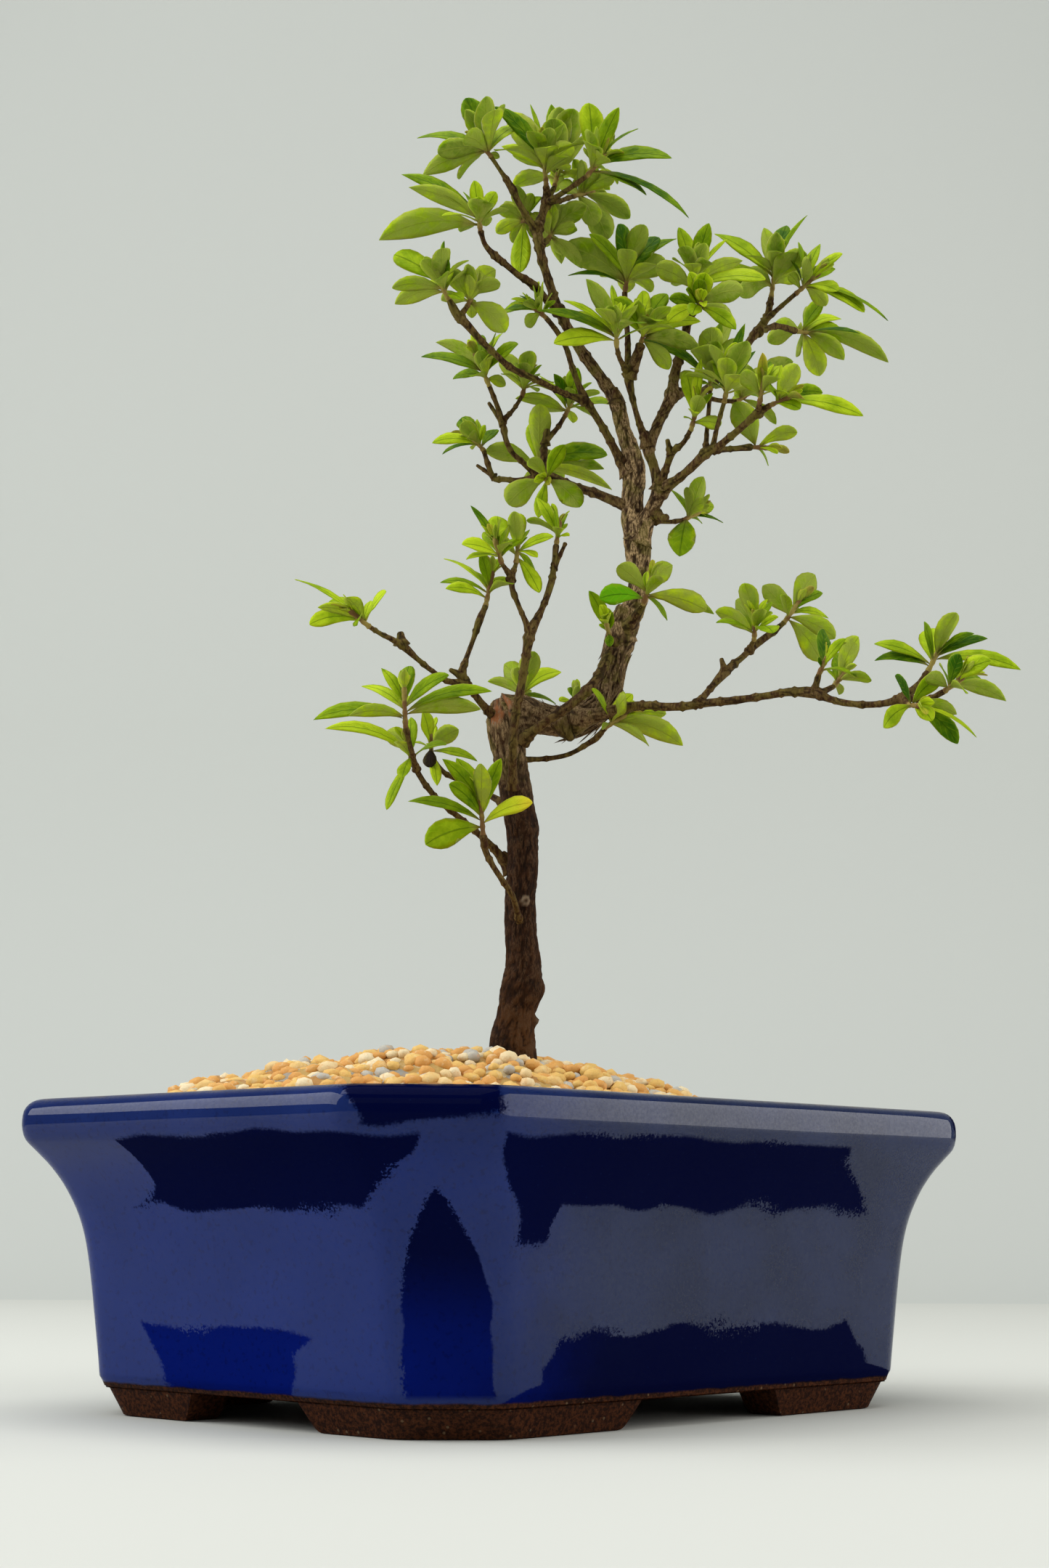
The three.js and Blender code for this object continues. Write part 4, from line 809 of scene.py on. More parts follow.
@dataclass(frozen=True)
class LeafFinish:
    """Small azalea leaves: yellow-green above, dull olive below, with a sunken midrib.

    It reads the marks tone (0 dark to 1 fresh, more for a vivid leaf), yellowed, dried (1
    for dry, more for withered) and twig (1 on the green stems and buds), and the face mark
    underside.
    """

    dark: Colour = (0.030, 0.096, 0.001)
    green: Colour = (0.198, 0.302, 0.002)
    fresh: Colour = (0.450, 0.580, 0.014)
    margin: Colour = (0.400, 0.460, 0.050)
    below: Colour = (0.296, 0.345, 0.050)
    yellow: Colour = (0.700, 0.540, 0.030)
    dry: Colour = (0.300, 0.105, 0.045)
    withered: Colour = (0.022, 0.013, 0.007)
    vivid: Colour = (0.090, 0.380, 0.002)
    stem: Colour = (0.300, 0.230, 0.060)
    stem_red: Colour = (0.170, 0.090, 0.034)
    veins: float = 6.0

    def make(self) -> bpy.types.Material:
        """Builds the material from the leaf's own coordinates and marks."""
        graph = Graph("azalea_leaf")
        where = graph.place()
        side, along = graph.pattern()
        off_rib = (side - 0.5).size() * 2
        tone = graph.mark("tone")
        below = graph.mark("underside")
        cloud = graph.noise(where, 5.5, 3, 0.6)
        fine = graph.noise(where, 0.5, 3, 0.6)
        level = tone + (cloud - 0.5) * 0.9
        rib = off_rib.step(0.09, 0.015)
        phase = along * self.veins - off_rib * 1.6 + cloud * 0.8
        vein = (phase * (2 * math.pi)).wave().step(0.6, 1.0)
        vein = vein * off_rib.step(0.9, 0.6) * off_rib.step(0.04, 0.18)
        above = graph.coated(
            self.dark, (level.step(0.05, 0.55), self.green), (level.step(0.45, 1.0), self.fresh),
            (tone.step(1.25, 1.35) * 0.85, self.vivid), (vein * 0.12, self.fresh),
            (rib * 0.5, self.dark), (off_rib.step(0.88, 1.0) * 0.45, self.margin))
        under = graph.coated(self.below, (cloud.step(0.42, 0.72), above),
                             (rib.at_least(vein * 0.3) * 0.5, self.margin))
        dried = graph.mark("dried")
        twig = graph.mix(cloud.step(0.42, 0.58), self.stem, self.stem_red)
        colour = graph.coated(
            above, (below * 0.85, under),
            (graph.mark("yellowed") * (0.35 + cloud).at_most(1), self.yellow),
            (dried.at_most(1), self.dry), (dried.step(1.0, 1.2), self.withered),
            (graph.mark("twig"), twig))
        colour = graph.tinted(colour, 0.86 + fine * 0.28)
        relief = fine * 0.05 - vein * 0.06 - rib * 0.16 + cloud * 0.25
        return graph.shaded(
            Base_Color=colour,
            Roughness=0.45 + below * 0.20 + fine * 0.14,
            Specular_IOR_Level=0.05,
            Subsurface_Weight=0.22,
            Subsurface_Radius=(0.7, 1.0, 0.1),
            Subsurface_Scale=0.0012,
            Normal=graph.bump(relief),
        )


@dataclass(frozen=True)
class StudioFinish:
    """Matt pale paint of the floor and the backdrop."""

    name: str
    colour: Colour
    glow: float = 0.0
    cloud_size: float = 700.0
    cloudiness: Pair = (0.97, 1.03)

    def make(self) -> bpy.types.Material:
        """Builds the material: one soft colour with hardly visible cloudiness."""
        graph = Graph(self.name)
        cloud = graph.noise(graph.place(), self.cloud_size, 1)
        return graph.shaded(
            Base_Color=graph.mix(cloud, *(tuple(channel * factor for channel in self.colour)
                                          for factor in self.cloudiness)),
            Roughness=0.9,
            Specular_IOR_Level=0.1,
            Emission_Color=self.colour,
            Emission_Strength=self.glow,
        )


@dataclass(frozen=True)
class Layout:
    """How the tree was laid out: on the upright plane through the pot's middle, seen from its front.

    A drawn place is [across, up, away]: to the right, up from the floor, and away from
    the viewer. One further away is slid along the line of sight, so it looks the same
    from the viewer's place.
    """

    viewer: tuple[float, float, float] = (-559.5, -528.7, 55.8)
    turn: float = 47.0
    depth_stretch: float = 1.55

    @property
    def across(self) -> Array:
        """The direction to the viewer's right."""
        return np.array([math.cos(math.radians(self.turn)), -math.sin(math.radians(self.turn)), 0])

    @property
    def away(self) -> Array:
        """The level direction away from the viewer."""
        return np.array([math.sin(math.radians(self.turn)), math.cos(math.radians(self.turn)), 0])

    @property
    def upward(self) -> Array:
        """The direction up."""
        return np.array([0.0, 0.0, 1.0])

    def place(self, drawn: Array) -> Array:
        """A drawn place in space: viewer + (on the plane - viewer)(1 + away / distance)."""
        drawn = np.asarray(drawn, float)
        viewer = np.array(self.viewer)
        plane = drawn[..., :1] * self.across + drawn[..., 1:2] * self.upward
        share = 1 + drawn[..., 2:3] / -(viewer @ self.away)
        return viewer + (plane - viewer) * share

    def deepened(self, drawn: Array) -> Array:
        """Drawn places with their depth stretched, which fills out the crown from the side."""
        deeper = np.array(drawn, float)
        deeper[..., 2] *= self.depth_stretch
        return deeper


@dataclass(frozen=True)
class Plan:
    """The pot's plan at one height: half sizes along X and Y, and how much the corners are cut."""

    x: float
    y: float
    cut: float

    def toward(self, other: "Plan", share: Array) -> Array:
        """Rows of x, y, cut at shares of the way from this plan to another."""
        here, there = np.array([self.x, self.y, self.cut]), np.array([other.x, other.y, other.cut])
        return here + np.asarray(share)[:, None] * (there - here)


def plan_rings(sizes: Array, insets: Array, heights: Array, rounding: float = 4.5,
               parts_along: tuple[int, int] = (14, 4)) -> Array:
    """Rings round a rectangle with cut corners, with each of its eight ridges rounded.

    A plan moved in by d has x - d, y - d and cut - d (2 - sqrt 2). Each ridge is the
    curve (1-t)^2 a + 2t(1-t) corner + t^2 b between the points a and b beside the corner.

    Args:
        sizes: Rows of half sizes x, y and the cut.
        insets: How far each ring is moved in.
        heights: Each ring's height.
        rounding: How far a ridge's rounding reaches from its corner.
        parts_along: How many parts a side is in, and how many a cut corner.

    Returns:
        Rings x points x 3.
    """
    x, y = sizes[:, 0] - insets, sizes[:, 1] - insets
    cut = sizes[:, 2] - insets * (2 - math.sqrt(2))
    half = np.stack([x, cut - y, x, y - cut, x - cut, y, cut - x, y], axis=-1).reshape(-1, 4, 2)
    corners = np.concatenate([half, -half], axis=1)
    before = corners + unit(np.roll(corners, 1, axis=1) - corners) * rounding
    after = corners + unit(np.roll(corners, -1, axis=1) - corners) * rounding
    t = np.linspace(0, 1, 6)[:, None]
    columns = []
    for ridge in range(corners.shape[1]):
        a, corner, b = (side[:, ridge][:, None] for side in (before, corners, after))
        columns.append((1 - t) ** 2 * a + 2 * t * (1 - t) * corner + t ** 2 * b)
        parts = parts_along[ridge % 2]
        s = (np.arange(1, parts) / parts)[:, None]
        columns.append(b + s * (before[:, (ridge + 1) % 8][:, None] - b))
    flat = np.concatenate(columns, axis=1)
    level = np.broadcast_to(np.asarray(heights, float)[:, None, None], (*flat.shape[:2], 1))
    return np.concatenate([flat, level], axis=2)


@dataclass
class Pot:
    """The fired pot: a flared wall with a rolled lip, a drained floor and four feet.

    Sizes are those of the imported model. The wall is a closed profile of rows
    [height, share of the flare from body to lip, inset].
    """

    workshop: Workshop
    lip: Plan = Plan(132.5, 95.5, 28.0)
    body: Plan = Plan(106.0, 81.5, 20.0)
    foot: Plan = Plan(101.5, 77.5, 21.0)
    foot_width: float = 12.0
    foot_height: float = 9.5
    gap_along_x: Pair = (37.0, 27.0)
    gap_along_y: Pair = (29.0, 19.5)
    hole_at: float = 52.0
    hole_radius: float = 8.0
    hole_facets: int = 48
    drill: Pair = (2.0, 25.0)
    profile_step: float = 2.2
    waviness: float = 0.28
    wave_length: float = 42.0
    wavy_above: Pair = (9.0, 16.0)
    foot_round: tuple[Pair, ...] = ((0.0, 1.1), (0.35, 0.35), (1.1, 0.0))
    foot_joint: Pair = (1.0, 1.2)
    sharp_from: float = 38.0
    outside: tuple[tuple[float, float, float], ...] = (
        (8.0, -0.06, 30.0), (8.0, -0.06, 3.0), (8.0, -0.06, 0.6), (8.4, -0.05, 0.1), (10.0, 0.0, 0.55),
        (11.2, 0.01, 0.05), (20.0, 0.05, 0.0), (43.0, 0.17, 0.0), (55.0, 0.28, 0.0), (64.0, 0.45, 0.0),
        (70.5, 0.64, 0.0), (75.0, 0.82, 0.0), (78.2, 0.95, 0.0), (81.0, 0.992, 0.0), (83.8, 1.0, 0.0),
        (86.4, 0.985, 0.0), (88.4, 0.94, 0.2), (89.6, 0.90, 1.2), (90.0, 0.87, 2.8),
    )
    inside: tuple[tuple[float, float, float], ...] = (
        (90.0, 0.87, 5.5), (89.6, 0.88, 8.8), (88.2, 0.93, 11.2), (86.0, 0.98, 12.0), (76.0, 0.86, 12.0),
        (64.0, 0.45, 9.0), (43.0, 0.17, 8.5), (18.0, 0.04, 8.0), (15.5, 0.03, 10.5), (15.5, 0.03, 40.0),
    )

    def wall(self) -> Surface:
        """The wall and floor as one closed shell, from the underside's middle to the floor's."""
        knots = np.array(self.outside + self.inside)
        reach = self.lip.x - self.body.x
        spaced = np.column_stack([knots[:, 0], knots[:, 1] * reach - knots[:, 2],
                                  np.zeros(len(knots)), knots[:, 1], knots[:, 2]])
        profile = spline(spaced, self.profile_step)
        height, share = profile[:, 0], profile[:, 3]
        inset = np.maximum(profile[:, 4], 0)
        rings = plan_rings(self.body.toward(self.lip, share), inset, height)
        outward = unit(rings * np.array([1.0, 1.0, 0.0]))
        wave = Noise(5).layered(rings / self.wave_length, 2) * self.waviness
        rings += outward * (wave * smooth_step(*self.wavy_above, rings[..., 2]))[..., None]
        return capped(rings)

    def feet(self) -> Surface:
        """One band under the wall, to be parted into four feet, its lower edges rounded.

        It goes into the wall by foot_joint's first number, and in from its face by the second.
        """
        root = self.foot_height + self.foot_joint[0]
        steps = self.foot_round
        heights = [z for z, _ in steps] + [root, root] + [z for z, _ in reversed(steps)]
        foot = np.array([self.foot.x, self.foot.y, self.foot.cut])
        top = self.body.toward(self.lip, np.array([0.0]))[0]
        sizes = np.array([foot] * 3 + [top] + [foot] * 4)
        inner = self.foot_width
        insets = np.array([d for _, d in steps] + [self.foot_joint[1], inner]
                          + [inner - d for _, d in reversed(steps)])
        return band(plan_rings(sizes, insets, np.array(heights)))

    def gap_bar(self, floor: float, body: float, reach: float, turned: bool) -> Surface:
        """A bar that cuts an arched gap between two feet, right under the pot.

        Its half width at height z is body + (floor - body)(1/2 + asin(1 - 2z/h) / pi), which
        rounds the feet below and arches the gap above.

        Args:
            floor: The gap's half width on the floor.
            body: Its half width under the body.
            reach: Half the bar's length.
            turned: Whether it runs along X instead of along Y.

        Returns:
            The bar.
        """
        rise = (1 - np.cos(np.linspace(0, math.pi, 13))) / 2
        half = body + (floor - body) * (0.5 + np.arcsin(1 - 2 * rise) / math.pi)
        height = rise * self.foot_height
        right = np.column_stack([np.append(half[0] + 0.4, half), np.append(-1.0, height)])
        left = right[::-1] * np.array([-1.0, 1.0])
        outline = np.vstack([right, left])
        ends = np.array([-reach, reach])
        bar = capped(np.stack([np.column_stack([outline[:, 0], np.full(len(outline), end), outline[:, 1]])
                               for end in ends[::-1]]))
        if turned:
            bar.points = bar.points[:, [1, 0, 2]] * np.array([1.0, -1.0, 1.0])
        return bar

    def drain(self, side: int) -> Surface:
        """A round bar that drills one drain hole."""
        angle = np.linspace(0, 2 * math.pi, self.hole_facets, endpoint=False)
        circle = np.column_stack([side * self.hole_at + self.hole_radius * np.cos(angle),
                                  self.hole_radius * np.sin(angle)])
        return capped(np.stack([np.column_stack([circle, np.full(len(circle), z)]) for z in self.drill]))

    def build(self) -> bpy.types.Object:
        """Joins feet and wall, drills the floor and gives the pot its glaze."""
        shop = self.workshop
        feet = shop.mesh("feet", self.feet())
        for floor, body, reach, turned in ((*self.gap_along_x, self.lip.y, False),
                                           (*self.gap_along_y, self.lip.x, True)):
            bar = shop.mesh("gap", self.gap_bar(floor, body, reach, turned))
            feet = shop.carve(feet, bar, Carving.CUT_OUT)
        whole = shop.carve(shop.mesh("wall", self.wall()), feet, Carving.ADD)
        for side in (-1, 1):
            whole = shop.carve(whole, shop.mesh("drain", self.drain(side)), Carving.CUT_OUT)
        whole.shade_smooth()
        whole.set_sharp_from_angle(angle=math.radians(self.sharp_from))
        finish = GlazeFinish(tuple(shop.shift[:2] / MILLIMETRE))
        piece = shop.place("glazed_pot", whole, finish.make(), Slot.GLAZE)
        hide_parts("pot")
        return piece


@dataclass
class DrainScreens:
    """The two packed screens over the drain holes, kept as they are."""

    finish: ScreenFinish = ScreenFinish()

    def build(self) -> None:
        """Gives both screens their plastic."""
        material = self.finish.make()
        for side in ("left", "right"):
            dress(f"drain_screen_{side}", material)


@dataclass
class Gravel:
    """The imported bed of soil, and loose grains laid over it one by one.

    Grains lie on a net of triangles, each a round lump of two by two facets on the six
    sides of a cube, and are sunk into the bed by a share of their size.
    """

    workshop: Workshop
    finish: GravelFinish = GravelFinish()
    pitch: float = 4.7
    least: float = 4.2
    most: float = 6.6
    jitter: float = 0.6
    breadth: Pair = (0.74, 0.22)
    height: Pair = (0.62, 0.26)
    centre_at: float = 0.30
    sunk: float = 0.10
    uneven: float = 1.3
    sink_outside: float = 1.7
    mound: Pair = (35.0, 75.0)
    dented: float = 0.20
    tilted: float = 1.1
    bed: Plan = Plan(119.0, 82.0, 27.0)
    lowest_bed: float = 60.0
    trunk_at: Pair = (1.4, -1.6)
    trunk_room: float = 7.8

    def knots(self) -> Array:
        """Where grains go: a jittered net of triangles inside the rim and outside the trunk."""
        row_pitch = self.pitch * math.sqrt(0.75)
        columns = int(2 * self.bed.x / self.pitch) + 2
        rows = int(2 * self.bed.y / row_pitch) + 2
        row, column = np.divmod(np.arange(rows * columns), columns)
        number = np.arange(rows * columns).astype(float)
        x = (column - columns / 2 + (row % 2) / 2 + self.jitter * (draw(number + 0.1) - 0.5)) * self.pitch
        y = (row - rows / 2 + self.jitter * (draw(number + 0.4) - 0.5)) * row_pitch
        inside = ((np.abs(x) < self.bed.x) & (np.abs(y) < self.bed.y)
                  & (np.abs(x) + np.abs(y) < self.bed.x + self.bed.y - self.bed.cut))
        keep = inside & (self.off_trunk(x, y) > self.trunk_room)
        return np.column_stack([x[keep], y[keep]])

    def off_trunk(self, x: Array, y: Array) -> Array:
        """How far places are from the trunk's middle."""
        return np.hypot(x - self.trunk_at[0], y - self.trunk_at[1])

    def bed_heights(self, spots: Array) -> tuple[Array, Array]:
        """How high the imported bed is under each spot, and which spots it lies under."""
        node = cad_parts["soil"].data
        tree = BVHTree.FromPolygons([v.co[:] for v in node.vertices],
                                    [p.vertices[:] for p in node.polygons])
        down = Vector((0, 0, -1))
        above = 0.2
        hits = [tree.ray_cast(Vector((*(spot * MILLIMETRE + self.workshop.shift[:2]), above)), down)[0]
                for spot in spots]
        found = np.array([hit is not None for hit in hits])
        heights = np.array([hit.z / MILLIMETRE if hit is not None else 0.0 for hit in hits])
        return heights, found & (heights > self.lowest_bed)

    def unit_grain(self) -> tuple[Array, Array]:
        """A cube of 26 points and 24 faces, its points moved out onto a ball."""
        knots = np.array([knot for knot in np.ndindex(3, 3, 3) if knot != (1, 1, 1)])
        points = unit(knots - 1.0)
        index = {tuple(knot): i for i, knot in enumerate(knots)}
        quads = []
        for axis in range(3):
            for level in (0, 2):
                for u, v in np.ndindex(2, 2):
                    square = [np.insert(np.array(c), axis, level)
                              for c in ((u, v), (u + 1, v), (u + 1, v + 1), (u, v + 1))]
                    numbers = [index[tuple(corner)] for corner in square]
                    flipped = (axis == 1) != (level == 0)
                    quads.append(numbers[::-1] if flipped else numbers)
        return points, np.array(quads)

    def grains(self) -> Surface:
        """All grains: lumps stretched, turned and dented at random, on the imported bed."""
        spots = self.knots()
        heights, found = self.bed_heights(spots)
        spots, heights = spots[found], heights[found]
        count = len(spots)
        number = np.arange(count).astype(float)
        chance = np.column_stack([draw(number * 1.7 + k * 0.37 + 3) for k in range(9)])
        size = self.least + (self.most - self.least) * chance[:, 0] ** 1.6
        form, quads = self.unit_grain()
        stretch = np.column_stack([np.ones(count), ranged(self.breadth, chance[:, 1]),
                                   ranged(self.height, chance[:, 2])])
        local = form[None] * (stretch * size[:, None] / 2)[:, None]
        dents = Noise(11).at(form[None] * 1.15 + chance[:, None, 3:6] * 50)
        local = local * (1 + self.dented * dents)[..., None]
        tilt = (chance[:, 6] - 0.5) * self.tilted
        local = rotated(local, np.array([1.0, 0.0, 0.0]), np.broadcast_to(tilt[:, None], local.shape[:2]))
        turn = chance[:, 7] * 2 * math.pi
        local = rotated(local, np.array([0.0, 0.0, 1.0]), np.broadcast_to(turn[:, None], local.shape[:2]))
        out = self.off_trunk(spots[:, 0], spots[:, 1])
        lift = (size * (self.centre_at - self.sunk) + self.uneven * (chance[:, 8] - 0.4)
                - self.sink_outside * smooth_step(*self.mound, out))
        centres = np.column_stack([spots, heights + lift])
        points = (local + centres[:, None]).reshape(-1, 3)
        faces = (quads[None] + (np.arange(count) * len(form))[:, None, None]).reshape(-1, 4)
        tint = np.repeat(draw(number + 0.71), len(form))
        return Surface(points, [faces], {"tint": tint})

    def build(self) -> bpy.types.Object:
        """Dresses the bed and lays the grains."""
        dress("soil", self.finish.make(False))
        mesh = self.workshop.mesh("gravel_grains", self.grains())
        return self.workshop.place("gravel_grains", mesh, self.finish.make(True), Slot.GRAVEL)


@dataclass(frozen=True)
class Shoot:
    """One woody shoot as drawn from the front.

    Attributes:
        name: Its name, which its leafy end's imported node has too.
        points: Rows of [across, up, away, radius] along it.
        stem: Where its green end stops, if it bears leaves.
        leaves: Rows of [tip across, tip up, width, turn], where turn 1 shows the upper
            face to the front, 0 an edge and -1 the underside.
        small_leaves: The same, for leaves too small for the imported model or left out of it.
    """

    name: str
    points: tuple[tuple[float, ...], ...]
    stem: tuple[float, ...] = ()
    leaves: tuple[tuple[float, ...], ...] = ()
    small_leaves: tuple[tuple[float, ...], ...] = ()


def read_shoots(drawing: str) -> tuple[Shoot, ...]:
    """Reads drawn shoots from text.

    Args:
        drawing: For each shoot its name, a colon, and up to four lists with bars between them:
            points, stem, leaves and small leaves. Rows end with commas, a shoot with a semicolon.

    Returns:
        The shoots in order.
    """
    def rows(text: str) -> tuple[tuple[float, ...], ...]:
        """The rows of numbers of one list."""
        return tuple(tuple(map(float, row.split())) for row in text.split(",") if row.strip())

    shoots = []
    for entry in filter(str.strip, drawing.split(";")):
        name, drawn = entry.split(":")
        points, stem, leaves, small = map(rows, (drawn + "|||").split("|")[:4])
        shoots.append(Shoot(name.strip(), points, stem[0] if stem else (), leaves, small))
    return tuple(shoots)


